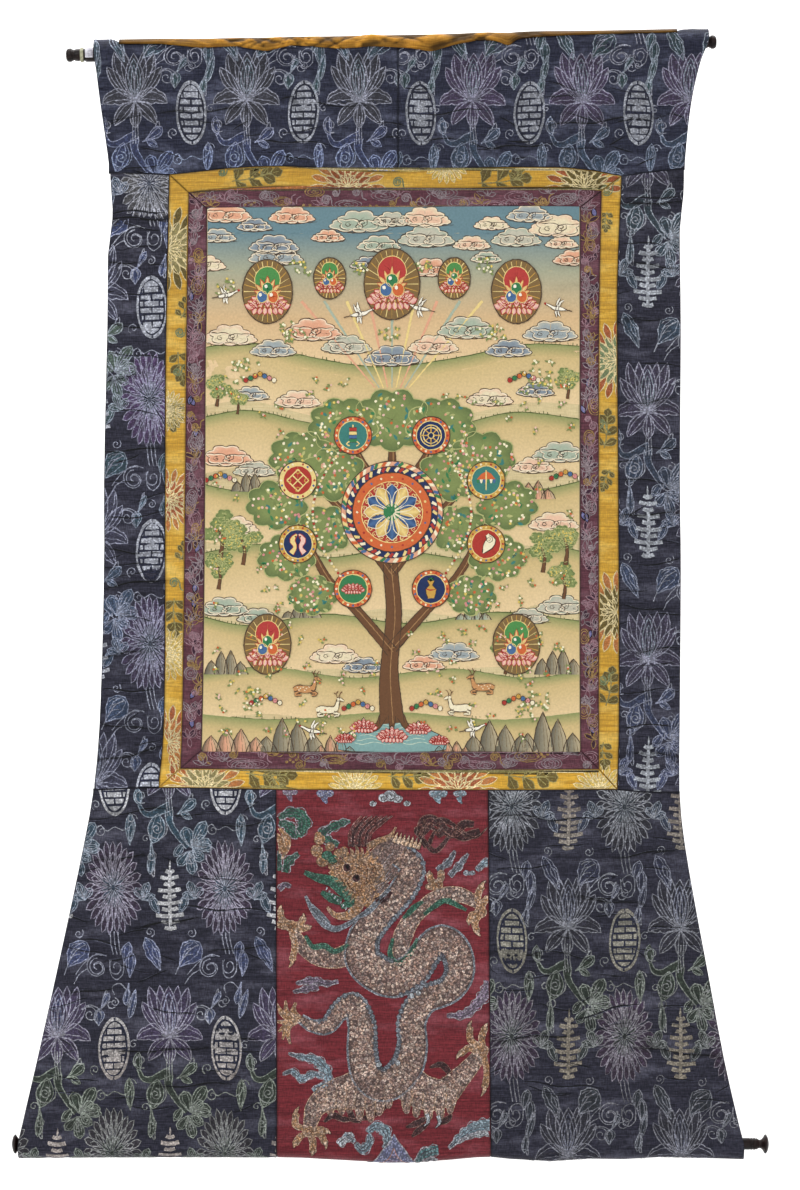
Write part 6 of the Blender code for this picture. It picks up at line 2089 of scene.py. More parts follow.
# The painting: a jewelled tree over a lotus pool, between hills and clouds, with traditional
# lucky emblems in its crown. Each layer of paint stands a little over the one before.
paints = {
    "peach": "#e4bda0", "cloudMist": "#bdb9a6", "skyTeal": "#67838b", "skyMid": "#a3a48c",
    "skyPeach": "#d0b186", "skyCream": "#e2c79b", "cloudRim": "#ecdcc0", "ink": "#4b3c30",
    "inkSoft": "#7a6a4e", "hillEdge": "#87905c", "hillMid": "#c9b27e", "hillPale": "#e0c69a",
    "grass": "#4f5c33", "salmon": "#dba283", "salmonDeep": "#c07a5e", "cloudGreen": "#a4b09c",
    "cloudGrey": "#9aa3a4", "cloudBlue": "#828d97", "cloudCream": "#e2d4b2", "trunk": "#6a4a33",
    "trunkPale": "#a07a52", "leafDark": "#5f6f44", "leafMid": "#7d8a54", "leafPale": "#aeb075",
    "blossom": "#f2e9c6", "blossomGold": "#dcc266", "orange": "#c9653a", "red": "#a83a32",
    "pink": "#d08a86", "pinkPale": "#e8c0b0", "navy": "#27345a", "blue": "#4a6a94", "teal": "#3f7a72",
    "green": "#3a7a4e", "gold": "#c69a4a", "goldPale": "#e3cb86", "cream": "#eadfbf", "rock": "#8d8672",
    "rockDark": "#5c584c", "rockPale": "#b7a888", "water": "#7fa3a0", "waterPale": "#b9cbb8",
    "haloBrown": "#7d6440", "tan": "#c08c5c", "haloGreen": "#4f8a4c", "haloRed": "#b0403c",
    "white": "#f0ead8",
}


def blend(drawing, rails, names, rows, lift=0.0):
    # paint laid wet in wet between rails: each face has a share of both neighbours' colours
    for (a, b), (upper, lower) in zip(zip(rails, rails[1:]), zip(names, names[1:])):
        shares = [k / rows for k in range(rows + 1)]
        addStrip(drawing, [mix(a, b, share) for share in shares], [lift] * (rows + 1),
                 ["%s>%s>%.3f" % (upper, lower, share) for share in shares])


def layer(picture, drawing, height, flatten=0.22):
    drawing["lift"] = [height + lift * flatten for lift in drawing["lift"]]
    joinDrawing(picture, drawing)


def addHill(drawing, edge, depth, ticks, lift=0.0, parts=("hillEdge", "hillMid", "hillPale")):
    top = smooth(edge, step=4.5)
    blend(drawing, [top, top - (0, depth * 0.22), top - (0, depth)], parts, 5, lift)
    addLine(drawing, top, 0.9, "grass", 0.4)
    for x, z in top:
        if ticks.random() < 0.55:
            tip = (x + ticks.uniform(-0.6, 0.6), z + ticks.uniform(1.6, 3.4))
            addLine(drawing, [(x, z), tip], 0.7, "grass", 0.4)


def lobedRing(centre, half, high, lobes, depth=0.14, start=0.0):
    t = np.linspace(0, 2 * math.pi, max(20, lobes * 5), endpoint=False)
    r = 1 - depth + depth * np.abs(np.sin(lobes * t / 2 + start)) * 1.6
    return np.stack([centre[0] + half * r * np.sin(t), centre[1] + high * r * np.cos(t)], 1)


def addLobed(drawing, centre, half, high, lobes, part, edge="ink", inner=None, depth=0.14, start=0.0,
             width=0.9):
    outer = lobedRing(centre, half, high, lobes, depth, start)
    rim = np.concatenate([outer, outer[:1]])
    middle = np.asarray(centre, float)
    addStrip(drawing, [rim, mix(rim, middle, 0.45), mix(rim, middle, 0.98)], [0.1, 0.15, 0.2],
             (part, inner or part, inner or part))
    if edge:
        addLine(drawing, outer, width, edge, 0.5, closed=True)


def addPaintedCloud(drawing, centre, half, part, inner, edge="ink"):
    x, z = centre
    high = half * 0.42
    for dx, dz, wide, tall, lobes in ((0.5, -0.4, 0.6, 0.55, 5), (-0.5, -0.35, 0.62, 0.6, 5),
            (0, 0, 0.8, 1.0, 7)):
        spot = (x + half * dx, z + high * dz)
        addLobed(drawing, spot, half * wide, high * tall, lobes, part, edge, inner, width=0.7)
        addLine(drawing, lobedRing(spot, half * wide - 1.3, high * tall - 1.2, lobes), 0.8, "cloudRim", 0.6,
                closed=True)
    addLine(drawing, spiral((x + half * 0.1, z - high * 0.15), high * 0.4, 60, 1.4, 0.25, squeeze=1.4), 0.7,
            edge, 0.7)
    addLine(drawing, spiral((x - half * 0.4, z - high * 0.3), high * 0.26, 20, -1.1, 0.25, squeeze=1.4),
            0.6, edge, 0.7)
    addLine(drawing,
            smooth([(x - half, z - high * 0.85), (x, z - high * 1.05), (x + half * 1.25, z - high * 0.8)]),
            0.8, edge, 0.6, taper=True)


def addBlossoms(drawing, centre, spread, count, rng, colours=("blossom", "blossomGold"), size=2.3,
                leaf="leafMid"):
    for _ in range(count):
        turn, far = math.radians(rng.uniform(0, 360)), math.sqrt(rng.random()) * spread
        x, z = centre[0] + far * math.sin(turn), centre[1] + far * math.cos(turn) * 0.75
        for _ in range(2):
            left, _, right = petalRails((x, z), rng.uniform(0, 360), size * 2.0, size * 0.5, steps=4)
            addStrip(drawing, [left, right], [0.1, 0.15], leaf)
        addDisc(drawing, (x + 0.6, z + 0.6), size * 0.62, size * 0.62, rng.choice(colours), 0.7, 6)


def addLotusSeat(drawing, centre, half, fill="pink", tip="pinkPale"):
    (x, z), petals = centre, []
    for row, (share, lift) in enumerate(((1.0, 0), (0.72, half * 0.16))):
        for k in range(7):
            turn = mix(-82, 82, k / 6)
            base = (x + half * 0.5 * share * math.sin(math.radians(turn)), z + lift)
            petals.append(petalRails(base, turn * 0.9, half * 0.52, half * 0.15, full=0.55))
    for k in range(6):
        base = (x + mix(-half * 0.5, half * 0.5, k / 5), z + 1)
        petals.append(petalRails(base, mix(200, 160, k / 5), half * 0.34, half * 0.12))
    for rails in petals:
        addLeaf(drawing, rails, (fill, tip, fill), 0.7, "red", (0.2, 0.3, 0.2), 0.6)


def addJewel(drawing, centre, size, halo, colours=("blue", "orange", "green")):
    # flaming jewels on a lotus, before a halo with a rayed glory behind
    x, z = centre
    addDisc(drawing, (x, z), size * 0.78, size, "haloBrown", 0.1)
    for k in range(28):
        turn = 2 * math.pi * k / 28
        ray = [onOval(centre, size * 0.36, size * 0.46, turn), onOval(centre, size * 0.74, size * 0.95, turn)]
        addLine(drawing, ray, 0.7, "goldPale" if k % 2 else "gold", 0.4)
    addRing(drawing, (x, z), size * 0.78, size, 1.0, "ink")
    addDisc(drawing, (x, z + size * 0.36), size * 0.4, size * 0.42, halo, 0.6)
    addRing(drawing, (x, z + size * 0.36), size * 0.4, size * 0.42, 0.8, "goldPale", 0.9)
    for k in range(7):
        turn = mix(-66, 66, k / 6)
        rails = petalRails((x, z - size * 0.16), turn, size * (0.66 - 0.003 * abs(turn)), size * 0.09,
                           full=0.4)
        addLeaf(drawing, rails, ("orange", "goldPale", "orange"), 0.6, "red", (0.8, 1.0, 0.8), 1.2)
    for (dx, dz), colour in zip(((-0.17, -0.16), (0.17, -0.16), (0, 0.1)), colours):
        spot = (x + dx * size, z + dz * size)
        addDisc(drawing, spot, size * 0.17, size * 0.19, colour, 1.3, 12)
        addRing(drawing, spot, size * 0.17, size * 0.19, 0.7, "goldPale", 1.8, 12)
        addDisc(drawing, (spot[0] - size * 0.05, spot[1] + size * 0.06), size * 0.05, size * 0.06, "white",
                1.9, 6)
    addLotusSeat(drawing, (x, z - size * 0.52), size * 0.72)


def addEmblem(drawing, centre, size, kind):
    x, z = centre

    def at(points):
        return placed(points, centre, size)

    if kind == "wheel":
        for share in (0.95, 0.72, 0.28):
            addRing(drawing, centre, size * share, size * share, 1.0, "goldPale")
        for k in range(8):
            s, c = math.sin(k * math.pi / 4), math.cos(k * math.pi / 4)
            addLine(drawing, at([(0.28 * s, 0.28 * c), (0.95 * s, 0.95 * c)]), 1.1, "gold", 0.5)
    elif kind == "knot":
        for k in (-0.5, 0, 0.5):
            addLine(drawing, at([(k - 0.5, k + 0.5), (k + 0.5, k - 0.5)]), 1.3, "goldPale", 0.5)
            addLine(drawing, at([(-k - 0.5, k - 0.5), (-k + 0.5, k + 0.5)]), 1.3, "goldPale", 0.6)
        for px, pz in ((0, 0.95), (0.95, 0), (0, -0.95), (-0.95, 0)):
            addRing(drawing, (x + px * size * 0.86, z + pz * size * 0.86), size * 0.2, size * 0.2, 1.0,
                    "gold")
    elif kind == "parasol":
        addStrip(drawing, [np.array(at(rib)) for rib in (
            [(-0.85, 0.1), (-0.45, 0.6), (0, 0.85)], [(0, 0.1), (0, 0.5), (0, 0.85)],
            [(0.85, 0.1), (0.45, 0.6), (0, 0.85)])], [0.2, 0.3, 0.2], "orange")
        addLine(drawing, at([(0, 0.95), (0, 0), (0, -0.9)]), 1.2, "goldPale", 0.5)
        for k in range(6):
            addBand(drawing, at([(-0.75 + 0.3 * k, 0.1), (-0.75 + 0.3 * k, -0.25)]), (1.6, 0.8),
                    ("green", "cream", "blue")[k % 3], 0.3)
    elif kind == "banner":
        for k, colour in enumerate(("red", "goldPale", "blue", "green")):
            addBand(drawing, at([(-0.34, 0.55 - 0.34 * k), (0.34, 0.55 - 0.34 * k)]),
                    (size * 0.17, size * 0.17), colour, 0.3, "ink", 0.5)
        addLine(drawing, at([(0, 0.98), (0, 0.7)]), 1.4, "goldPale", 0.5)
        for side in (-1, 1):
            tail = placed([(0.34, -0.55), (0.6, -0.8), (0.3, -0.95)], centre, size, side)
            addLine(drawing, smooth(tail), 1.2, "goldPale", 0.5)
    elif kind == "vase":
        addBand(drawing, at([(0, 0.75), (0, 0.45), (0, 0.1), (0, -0.5), (0, -0.85)]),
                (size * 0.34, size * 0.14, size * 0.5, size * 0.42, size * 0.3), "gold", 0.3, "ink", 0.7)
        addLine(drawing, smooth(at([(-0.48, 0.0), (0, -0.12), (0.48, 0.0)])), 1.2, "red", 0.6)
        for turn in (-40, 0, 40):
            addPetal(drawing, (x, z + size * 0.7), turn, size * 0.4, size * 0.1, "green", 0.6)
    elif kind == "fish":
        for side in (-1, 1):
            addBand(drawing, at([(side * 0.1, 0.9), (side * 0.5, 0.35), (side * 0.25, -0.3),
                                 (side * 0.6, -0.85)]), (size * 0.1, size * 0.26, size * 0.16, size * 0.26),
                    "goldPale" if side < 0 else "pinkPale", 0.3, "red", 0.7)
            addDisc(drawing, (x + side * size * 0.22, z + size * 0.66), 1.0, 1.0, "ink", 0.8, 6)
    elif kind == "shell":
        addBand(drawing, at([(0.1, 0.85), (0.42, 0.3), (0.1, -0.25), (-0.3, -0.85)]),
                (size * 0.16, size * 0.5, size * 0.4, size * 0.06), "cream", 0.3, "ink", 0.8)
        addLine(drawing, spiral((x + size * 0.28, z + size * 0.4), size * 0.36, 0, 1.7), 0.9, "rock", 0.7)
    elif kind == "lotus":
        addLotusSeat(drawing, (x, z - size * 0.2), size * 1.1)


def addRoundel(drawing, centre, size, fill, rim, kind):
    addDisc(drawing, centre, size, size, rim, 0.1)
    addRing(drawing, centre, size, size, 1.0, "ink")
    for k in range(20):
        spot = onOval(centre, size * 0.88, size * 0.88, 2 * math.pi * k / 20)
        addDisc(drawing, spot, 1.3, 1.3, ("goldPale", "red", "blue", "cream")[k % 4], 0.5, 6)
    addDisc(drawing, centre, size * 0.77, size * 0.77, fill, 0.6)
    addRing(drawing, centre, size * 0.77, size * 0.77, 0.9, "goldPale", 0.9)
    inner = newDrawing(True)
    addEmblem(inner, centre, size * 0.58, kind)
    inner["lift"] = [lift + 0.9 for lift in inner["lift"]]
    joinDrawing(drawing, inner)


def addRock(drawing, base, half, high, rng, fill="rock"):
    x, z = base
    for k in range(4):
        lean = mix(-0.7, 0.7, k / 3)
        tall = high * (1 - abs(lean) * 0.7) * rng.uniform(0.85, 1.1)
        sides = [smooth([(x + half * (lean + low), z), (x + half * (lean + waist), z + tall * share),
                         (x + half * lean, z + tall)])
                 for low, waist, share in ((-0.34, -0.22, 0.6), (0.36, 0.25, 0.5))]
        count = min(len(side) for side in sides)
        left, right = (side[np.linspace(0, len(side) - 1, count).astype(int)] for side in sides)
        addLeaf(drawing, [left, (left + right) / 2, right], ("rockDark", fill, "rockPale"), 0.9, "ink",
                (0.1, 0.2, 0.1))
        for share in (0.3, 0.55, 0.75):
            addLine(drawing, mix(left, right, share)[1:-1], 0.5, "inkSoft", 0.5)


def addSmallTree(drawing, base, size, rng):
    x, z = base
    addBand(drawing, [(x, z), (x + size * 0.06, z + size * 0.5), (x - size * 0.04, z + size * 0.9)],
            (size * 0.07, size * 0.05, size * 0.03), "trunk", 0.2, "ink", 0.6)
    for k in range(9):
        turn, far = rng.uniform(0, 6.28), rng.uniform(0.1, 0.42)
        spot = (x + size * far * math.sin(turn) * 1.2, z + size * (0.95 + far * math.cos(turn)))
        addLobed(drawing, spot, size * 0.26, size * 0.2, 6, "leafDark", "leafPale", "leafMid", width=0.6)
        for _ in range(8):
            dot = (spot[0] + rng.uniform(-0.18, 0.18) * size, spot[1] + rng.uniform(-0.13, 0.13) * size)
            addDisc(drawing, dot, 0.9, 0.9, rng.choice(("leafPale", "leafPale", "blossomGold")), 0.7, 5)


def addCrane(drawing, place, size, hand):
    def at(points):
        return placed(points, place, size, hand)

    addBand(drawing, at([(0.9, 0.35), (0.55, 0.2), (0.3, 0.05), (-0.3, -0.05), (-0.6, -0.12)]),
            (0.8, 1.1, size * 0.14, size * 0.13, 0.8), "white", 0.3, "ink", 0.6)
    for tip, bend in (((-0.15, 0.75), 0.1), ((-0.4, 0.6), 0.1), ((0.1, -0.6), -0.1), ((-0.15, -0.55), -0.1)):
        start, end = (np.array(at([spot])[0]) for spot in ((0.05, 0.02), tip))
        addBand(drawing, [start, mix(start, end, 0.5) + bowOf(start, end, bend), end],
                (size * 0.09, size * 0.1, 0.5), "white", 0.4, "ink", 0.5)
    addLine(drawing, at([(-0.5, -0.1), (-1.0, -0.2)]), 0.9, "ink", 0.5)
    addDisc(drawing, at([(0.9, 0.36)])[0], 1.3, 1.2, "red", 0.9, 7)


def addDeer(drawing, place, size, hand, coat="tan"):
    # lying with its legs folded and its head up
    def at(points):
        return placed(points, place, size, hand)

    for path in ([(-0.35, -0.1), (-0.55, -0.28), (-0.2, -0.3)], [(0.3, -0.12), (0.62, -0.24), (0.34, -0.32)]):
        addBand(drawing, at(path), (size * 0.08, size * 0.07, size * 0.05), coat, 0.2, "ink", 0.6)
    addBand(drawing, at([(-0.62, 0.0), (-0.4, 0.05), (0.0, 0.0), (0.38, 0.05), (0.5, 0.3), (0.56, 0.55)]),
            (size * 0.1, size * 0.2, size * 0.19, size * 0.18, size * 0.1, size * 0.08), coat, 0.3, "ink",
            0.7, 4)
    addBand(drawing, at([(0.48, 0.58), (0.66, 0.58), (0.84, 0.48)]),
            (size * 0.09, size * 0.08, size * 0.04), coat, 0.5, "ink", 0.6)
    for path in ([(0.52, 0.64), (0.44, 0.86), (0.56, 1.02)], [(0.47, 0.8), (0.34, 0.92)],
                 [(0.58, 0.64), (0.64, 0.86), (0.76, 0.98)]):
        addLine(drawing, smooth(at(path)), 0.8, "trunk", 0.8)
    for px, pz in ((-0.42, 0.12), (-0.26, 0.06), (-0.1, 0.12), (0.06, 0.05), (0.2, 0.13), (-0.34, -0.03),
                   (-0.02, -0.05)):
        addDisc(drawing, at([(px, pz)])[0], 0.8, 0.7, "cream", 0.9, 6)
    addDisc(drawing, at([(0.62, 0.6)])[0], 0.6, 0.6, "ink", 1.2, 6)


painting = {
    # edge, depth
    "hills": (
        ([(-205, -318), (-150, -312), (-84, -328), (-10, -338), (70, -328), (140, -314), (205, -316)],
         62),
        ([(-205, -392), (-150, -384), (-80, -398), (-20, -392), (60, -400), (130, -386), (205, -394)],
         60),
        ([(-205, -462), (-150, -470), (-90, -456), (0, -470), (80, -458), (150, -468), (205, -458)], 60),
        ([(-205, -536), (-140, -526), (-70, -540), (0, -532), (90, -542), (160, -528), (205, -534)], 62),
        ([(-205, -602), (-150, -612), (-70, -600), (20, -610), (110, -598), (205, -608)], 58),
        ([(-205, -664), (-130, -656), (-40, -668), (60, -658), (140, -668), (205, -660)], 50),
        ([(-205, -706), (-120, -712), (0, -704), (110, -712), (205, -704)], 60),
    ),
    # place, half width, height
    "rocks": (
        (-150, -470, 20, 22), (150, -478, 22, 24), (-176, -664, 22, 30), (176, -664, 24, 32),
        (-108, -751, 36, 46), (-168, -751, 34, 40), (-60, -752, 22, 26), (112, -751, 36, 44),
        (168, -751, 34, 52), (64, -752, 20, 24), (-28, -472, 14, 10), (86, -606, 18, 14),
        (-96, -604, 20, 14),
    ),
    # place, size
    "smallTrees": (
        (-182, -540, 34), (-158, -548, 30), (-184, -574, 28), (184, -548, 32), (160, -556, 30),
        (182, -584, 26), (-186, -380, 24), (186, -372, 24), (-164, -388, 18), (120, -664, 24),
        (-122, -662, 24),
    ),
    # path, half widths
    "branches": (
        ([(0, -716), (-3, -660), (2, -600), (-2, -540), (0, -450), (0, -392)], (13, 9, 8, 7, 5, 2)),
        ([(0, -640), (-34, -600), (-70, -560), (-100, -500)], (6, 5, 4, 1.5)),
        ([(0, -636), (36, -596), (72, -556), (102, -496)], (6, 5, 4, 1.5)),
        ([(0, -560), (-44, -500), (-88, -452), (-96, -410)], (5, 4, 3, 1)),
        ([(0, -556), (46, -498), (88, -450), (98, -408)], (5, 4, 3, 1)),
        ([(-1, -480), (-36, -430), (-50, -380)], (4, 3, 1)),
        ([(1, -478), (38, -428), (52, -380)], (4, 3, 1)),
    ),
    # place, size, halo
    "jewels": (
        (-132, -258, 34, "haloGreen"), (132, -258, 34, "haloRed"), (0, -250, 38, "haloRed"),
        (-132, -632, 32, "haloRed"), (132, -632, 32, "haloGreen"), (-66, -244, 22, "haloGreen"),
        (66, -244, 22, "haloGreen"),
    ),
    # place, spread, count
    "blossoms": (
        ((-160, -342), 20, 18), ((160, -344), 20, 18), ((-104, -300), 16, 14), ((104, -302), 16, 14),
        ((-176, -254), 12, 8), ((-150, -690), 18, 16), ((150, -692), 18, 16), ((-30, -232), 10, 8),
        ((34, -230), 10, 8), ((-96, -232), 12, 10), ((98, -230), 12, 10), ((0, -300), 12, 8),
    ),
}


def paintPicture():
    picture, rng = newDrawing(True), random.Random(17)
    hills = newDrawing(True)
    across = np.linspace(-205, 205, 80)
    blend(hills, [np.stack([across, 0 * across + z], 1) for z in (-164, -196, -236, -286, -350)],
          ("skyTeal", "skyTeal", "skyMid", "skyPeach", "skyCream"), 10)
    for step, (edge, depth) in enumerate(painting["hills"], 1):
        addHill(hills, edge, depth, rng, 0.07 * step)
    layer(picture, hills, 0.12)
    far = newDrawing(True)
    for k in range(9):  # rays of coloured light over the tree
        x = mix(-60, 60, k / 8)
        addBand(far, [(x * 0.3, -360), (x * 1.6, -268)], (0.6, 1.5), ("salmon", "cloudGreen", "goldPale")[
            k % 3], 0.1)
    tones = (("peach", "salmon"), ("cloudMist", "cloudGrey"), ("cloudCream", "peach"),
             ("cloudMist", "cloudGreen"), ("cloudGrey", "cloudBlue"), ("peach", "cloudCream"),
             ("cloudGreen", "cloudMist"))
    banks = [(row, x) for row, count in enumerate((9, 8, 6)) for x in np.linspace(-190, 190, count)]
    drifts = [(-84, -298, 28), (80, -296, 28), (-48, -314, 24), (44, -314, 24), (-172, -304, 26),
              (168, -300, 26), (0, -326, 26), (-126, -318, 22), (124, -318, 22), (-176, -432, 26),
              (178, -428, 26), (-146, -446, 20), (150, -442, 20), (-168, -506, 24), (172, -502, 24),
              (-60, -642, 24), (66, -640, 24), (-30, -654, 20), (34, -652, 20), (-178, -592, 24),
              (180, -590, 24), (-142, -602, 20), (144, -602, 20), (-100, -372, 22), (104, -370, 22),
              (-150, -366, 18), (152, -362, 18)]
    for k, (row, x) in enumerate(banks):
        drifts.append((x + 14 * math.sin(3 * x + row), (-181, -203, -226)[row] + 7 * math.sin(x / 17 + row),
                       (25, 17, 22, 28, 19)[k % 5] - row))
    for k, (x, z, half) in enumerate(drifts):
        part, inner = tones[(k * 3 + k // 7) % len(tones)]
        addPaintedCloud(far, (x, z), half, part, inner)
    layer(picture, far, 0.27)
    near = newDrawing(True)
    for x, z, half, high in painting["rocks"]:
        addRock(near, (x, z), half, high, rng, rng.choice(("rock", "salmon", "cloudGreen", "rock")))
    for x, z, size in painting["smallTrees"]:
        addSmallTree(near, (x, z), size, rng)
    addBand(near, [(-58, -738), (-30, -734), (0, -733), (30, -734), (58, -738)], (6, 15, 20, 15, 6),
            "water", 0.2, "ink", 0.8, 6)
    for k in range(6):
        ripple = [(x, -737 + 4 * k + 1.2 * math.sin(x / 4 + k))
                  for x in np.arange(-40 + 3 * k, 41 - 3 * k, 4.0)]
        addLine(near, smooth(ripple), 0.7, "waterPale", 0.6)
    layer(picture, near, 0.42)
    tree = newDrawing(True)
    for path, half in painting["branches"]:
        addBand(tree, path, half, "trunk", 0.2, "ink", 0.8, 3)
        addLine(tree, smooth(path) + (1.2, 0), 0.9, "trunkPale", 0.6)
    for x in (-9, 0, 9):
        addBand(tree, [(x, -708), (x * 1.8, -720), (x * 3, -726)], (4, 3, 0.8), "trunk", 0.2, "ink", 0.7)
    layer(picture, tree, 0.62)
    crown = newDrawing(True)
    crownSpots = [(0, -394, 40), (-52, -400, 36), (52, -400, 36), (-96, -434, 34), (96, -434, 34),
                  (-122, -484, 32), (122, -484, 32), (-112, -540, 30), (112, -540, 30), (-62, -452, 34),
                  (62, -452, 34), (-84, -580, 26), (84, -580, 26), (-70, -510, 30), (70, -510, 30)]
    for x, z, size in crownSpots:
        addLobed(crown, (x, z), size, size * 0.8, 9, "leafDark", "leafPale", "leafMid", 0.1)
        for _ in range(26):
            turn, reach = math.radians(rng.uniform(0, 360)), size * 0.86 * math.sqrt(rng.random())
            spot = onOval((x, z), reach, reach * 0.8, turn)
            left, _, right = petalRails(spot, rng.uniform(0, 360), rng.uniform(5, 8), 1.5, steps=4)
            addStrip(crown, [left, right], [0.4, 0.4],
                     rng.choice(("leafPale", "leafMid", "green", "teal", "leafPale")))
        addBlossoms(crown, (x, z), size * 0.95, 44, rng,
                    ("blossom", "blossom", "blossomGold", "orange", "pinkPale", "salmon", "pink"), 2.5)
    layer(picture, crown, 0.8)
    jewels = newDrawing(True)
    kinds = (("wheel", "navy", "orange"), ("parasol", "teal", "gold"), ("shell", "red", "gold"),
             ("vase", "navy", "orange"), ("lotus", "green", "orange"), ("fish", "navy", "gold"),
             ("knot", "red", "goldPale"), ("banner", "teal", "orange"))
    heart = (0, -492)  # the middle of the crown
    for k, (kind, fill, rim) in enumerate(kinds):
        addRoundel(jewels, onOval(heart, 108, 88, math.radians(22.5 + 45 * k)), 20, fill, rim, kind)
    for size, count, lift, cycle in ((54, 72, -1.4, ("salmon", "blue", "green", "goldPale", "orange",
            "cream")), (48.5, 60, -0.7, ("navy", "cream", "red", "goldPale"))):
        addDisc(jewels, heart, size, size, cycle[0], lift, 48)
        for k in range(count):  # short bars of colour side by side, as in a braid
            turn = 2 * math.pi * k / count
            bar = [onOval(heart, reach, reach, t) for reach, t in ((size - 5.0, turn - 0.03),
                   (size - 0.4, turn + 0.05))]
            addLine(jewels, bar, 3.0, cycle[k % len(cycle)], lift + 0.3)
        addRing(jewels, heart, size, size, 0.9, "ink", lift + 0.5, 60)
    addRoundel(jewels, heart, 42, "red", "orange", "none")
    for k in range(24):
        turn = 2 * math.pi * (k + 0.5) / 24
        curl = spiral(onOval(heart, 29, 29, turn), 3.2, math.degrees(turn), 1.2, 0.3)
        addLine(jewels, curl, 0.8, "goldPale", 1.4)
    for k in range(12):
        tones = (("navy", "blue", "navy"), ("gold", "goldPale", "gold"))[k % 2]
        addLeaf(jewels, petalRails(heart, 30 * k, 30, 7.5, full=0.62), tones, 0.8, "cream", (1.6, 1.7, 1.6),
                2.2)
    addDisc(jewels, heart, 9, 9, "green", 2.2)
    addEmblem(jewels, heart, 8, "wheel")
    for side in (-1, 1):  # garlands of pearls and jewels between the roundels
        for k in range(46):
            t = k / 45
            spot = (side * (50 + 34 * math.sin(math.pi * t)), mix(-420, -566, t))
            addDisc(jewels, spot, 1.5, 1.5, ("goldPale", "cream", "red", "cream")[k % 4], 0.5, 6)
    for x, z, size, halo in painting["jewels"]:
        addJewel(jewels, (x, z), size, halo)
    for x, z in ((-134, -694), (134, -694), (-36, -700), (36, -700), (-140, -352), (140, -352),
                 (-182, -458), (184, -456)):
        for k in range(7):
            spot = (x - 15 + 5 * k, z + 2.2 * (3 - abs(3 - k)))
            addDisc(jewels, spot, 2.6, 2.8, ("red", "green", "orange", "gold", "blue", "pink", "cream")[k],
                    0.5, 8)
            addRing(jewels, spot, 2.6, 2.8, 0.6, "ink", 0.9, 8)
    for x, z, size in ((-30, -722, 15), (28, -724, 14), (0, -732, 17), (-50, -734, 11), (50, -736, 11)):
        addLotusSeat(jewels, (x, z), size)
        addPetal(jewels, (x, z + size * 0.2), 0, size * 0.6, size * 0.16, "pinkPale", 0.7)
    for x, z, hand in ((-92, -680, 1), (96, -678, -1), (-68, -702, 1), (72, -700, -1)):
        addDeer(jewels, (x, z), 20, hand, "tan" if abs(x) > 80 else "cream")
    for x, z, size, hand in ((-34, -282, 17, 1), (30, -276, 16, -1), (-176, -262, 15, 1),
                             (176, -276, 15, -1), (-84, -724, 15, -1), (86, -722, 15, 1)):
        addCrane(jewels, (x, z), size, hand)
    for centre, spread, count in painting["blossoms"]:
        addBlossoms(jewels, centre, spread, count, rng)
    for _ in range(200):  # tufts of small flowers over the hills
        x, z = rng.uniform(-190, 190), rng.uniform(-735, -350)
        if math.hypot(x / 150, (z + 492) / 125) > 1 and abs(x) > 16:
            addBlossoms(jewels, (x, z), 4.5, 3, rng, ("blossom", "orange", "pinkPale", "blossomGold"), 2.0)
    layer(picture, jewels, 1.4)
    return picture


paintLayer = paintMaterial("mineral paint in glue, burnished")
pictureTop, pictureFoot = seamOf("picture_canvas", "top"), seamOf("picture_canvas", "bottom")
sewFigures("picture_canvas", "picture_painting", paintPicture(), paints,
           (lambda place: pictureTop(place) + 1.5, lambda place: pictureFoot(place) - 2.2), paintLayer,
           (3, 3))
print("picture painted")


stageSizes = {  # metres
    "front": -7.0, "floorHeight": -1.245, "depth": 2.6, "width": 9.0, "sweep": 1.2, "wall": 4.5,
}


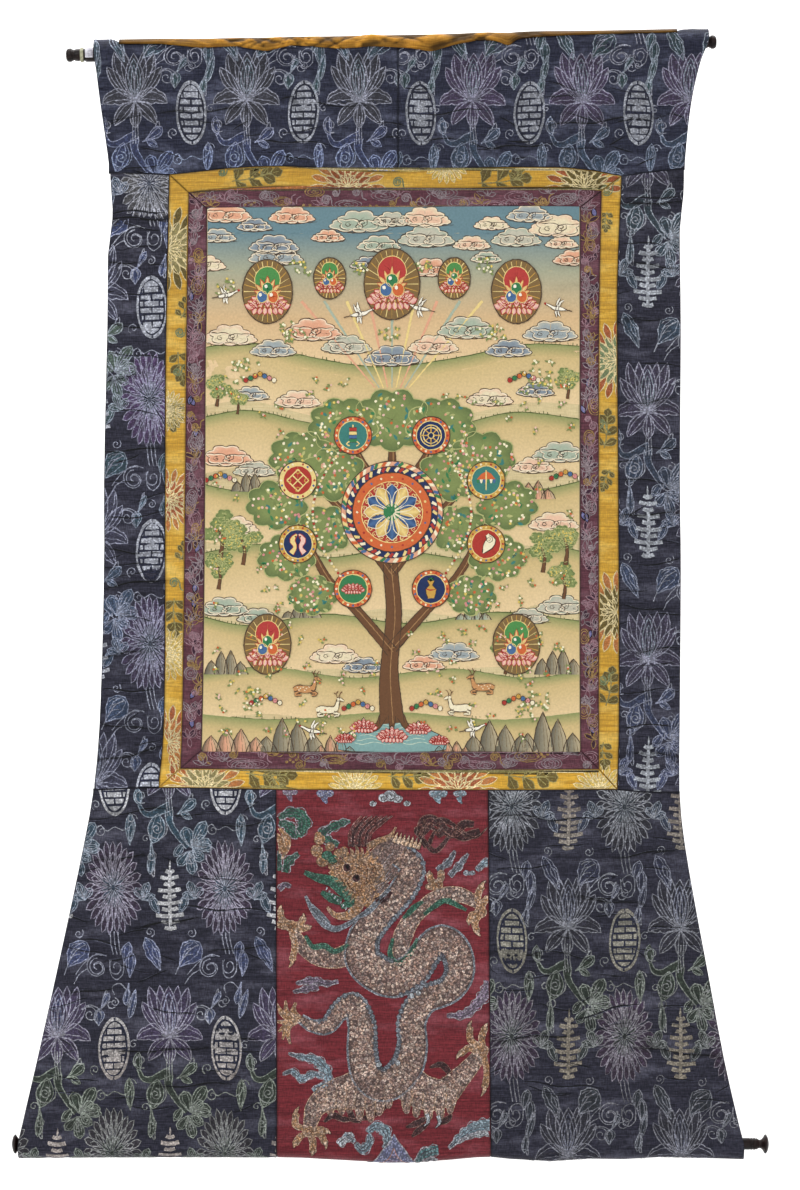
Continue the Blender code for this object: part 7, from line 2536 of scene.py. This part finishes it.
def makeStage():
    # a paper floor that sweeps up into a wall
    s = stageSizes
    profile = [(s["front"], s["floorHeight"]), (s["depth"] - s["sweep"], s["floorHeight"])]
    for i in range(1, 17):
        turn = math.pi / 2 * i / 16
        profile.append((s["depth"] - s["sweep"] + s["sweep"] * math.sin(turn),
                        s["floorHeight"] + s["sweep"] * (1 - math.cos(turn))))
    profile.append((s["depth"], s["wall"]))
    points = [(x, y, z) for x in (-s["width"] / 2, s["width"] / 2) for y, z in profile]
    count = len(profile)
    faces = [(i, count + i, count + i + 1, i + 1) for i in range(count - 1)]
    paper, tree, shader = newMaterial("seamless paper, white")
    setInputs(tree, shader, {"Base Color": linear("#f8f8f8"), "Roughness": 0.9})
    made = makeObject("floor", np.array(points) / mm, faces, paper)


def makeLight(name, place, target, size, power):
    lamp = bpy.data.lights.new(name, "AREA")
    lamp.shape, lamp.size, lamp.energy = "SQUARE", size, power
    made = bpy.data.objects.new(name, lamp)
    made.location = place
    made.rotation_euler = (Vector(target) - Vector(place)).to_track_quat("-Z", "Y").to_euler()
    bpy.context.scene.collection.objects.link(made)


lights = {  # metres: place, what it is turned to, size, and watts
    "key": ((-1.6, -3.2, 1.5), (0, 0, -0.55), 1.6, 62),
    "fill": ((2.0, -3.4, 0.2), (0, 0, -0.6), 2.4, 18),
    "back wall": ((0, 0.9, 1.6), (0, 2.6, -0.4), 2.5, 90),
}
camera = {"distance": 4.2, "frameHeight": 1.2626, "across": 0.0085, "height": -0.5798, "sensor": 36}


def makeCamera():
    lens = bpy.data.cameras.new("camera")
    lens.sensor_fit, lens.sensor_height = "VERTICAL", camera["sensor"]
    lens.lens = camera["sensor"] * camera["distance"] / camera["frameHeight"]
    made = bpy.data.objects.new("camera", lens)
    made.location = (camera["across"], -camera["distance"], camera["height"])
    made.rotation_euler = (math.pi / 2, 0, 0)
    bpy.context.scene.collection.objects.link(made)
    bpy.context.scene.camera = made


makeStage()
for name, values in lights.items():
    makeLight(name, *values)
makeCamera()
world = bpy.data.worlds.new("studio")
world.use_nodes = True
setInputs(world.node_tree, world.node_tree.nodes["Background"], {"Color": (1, 1, 1, 1), "Strength": 0.5})
bpy.context.scene.world = world
bpy.context.scene.view_settings.view_transform = "Standard"
print("stage, lights and camera set")
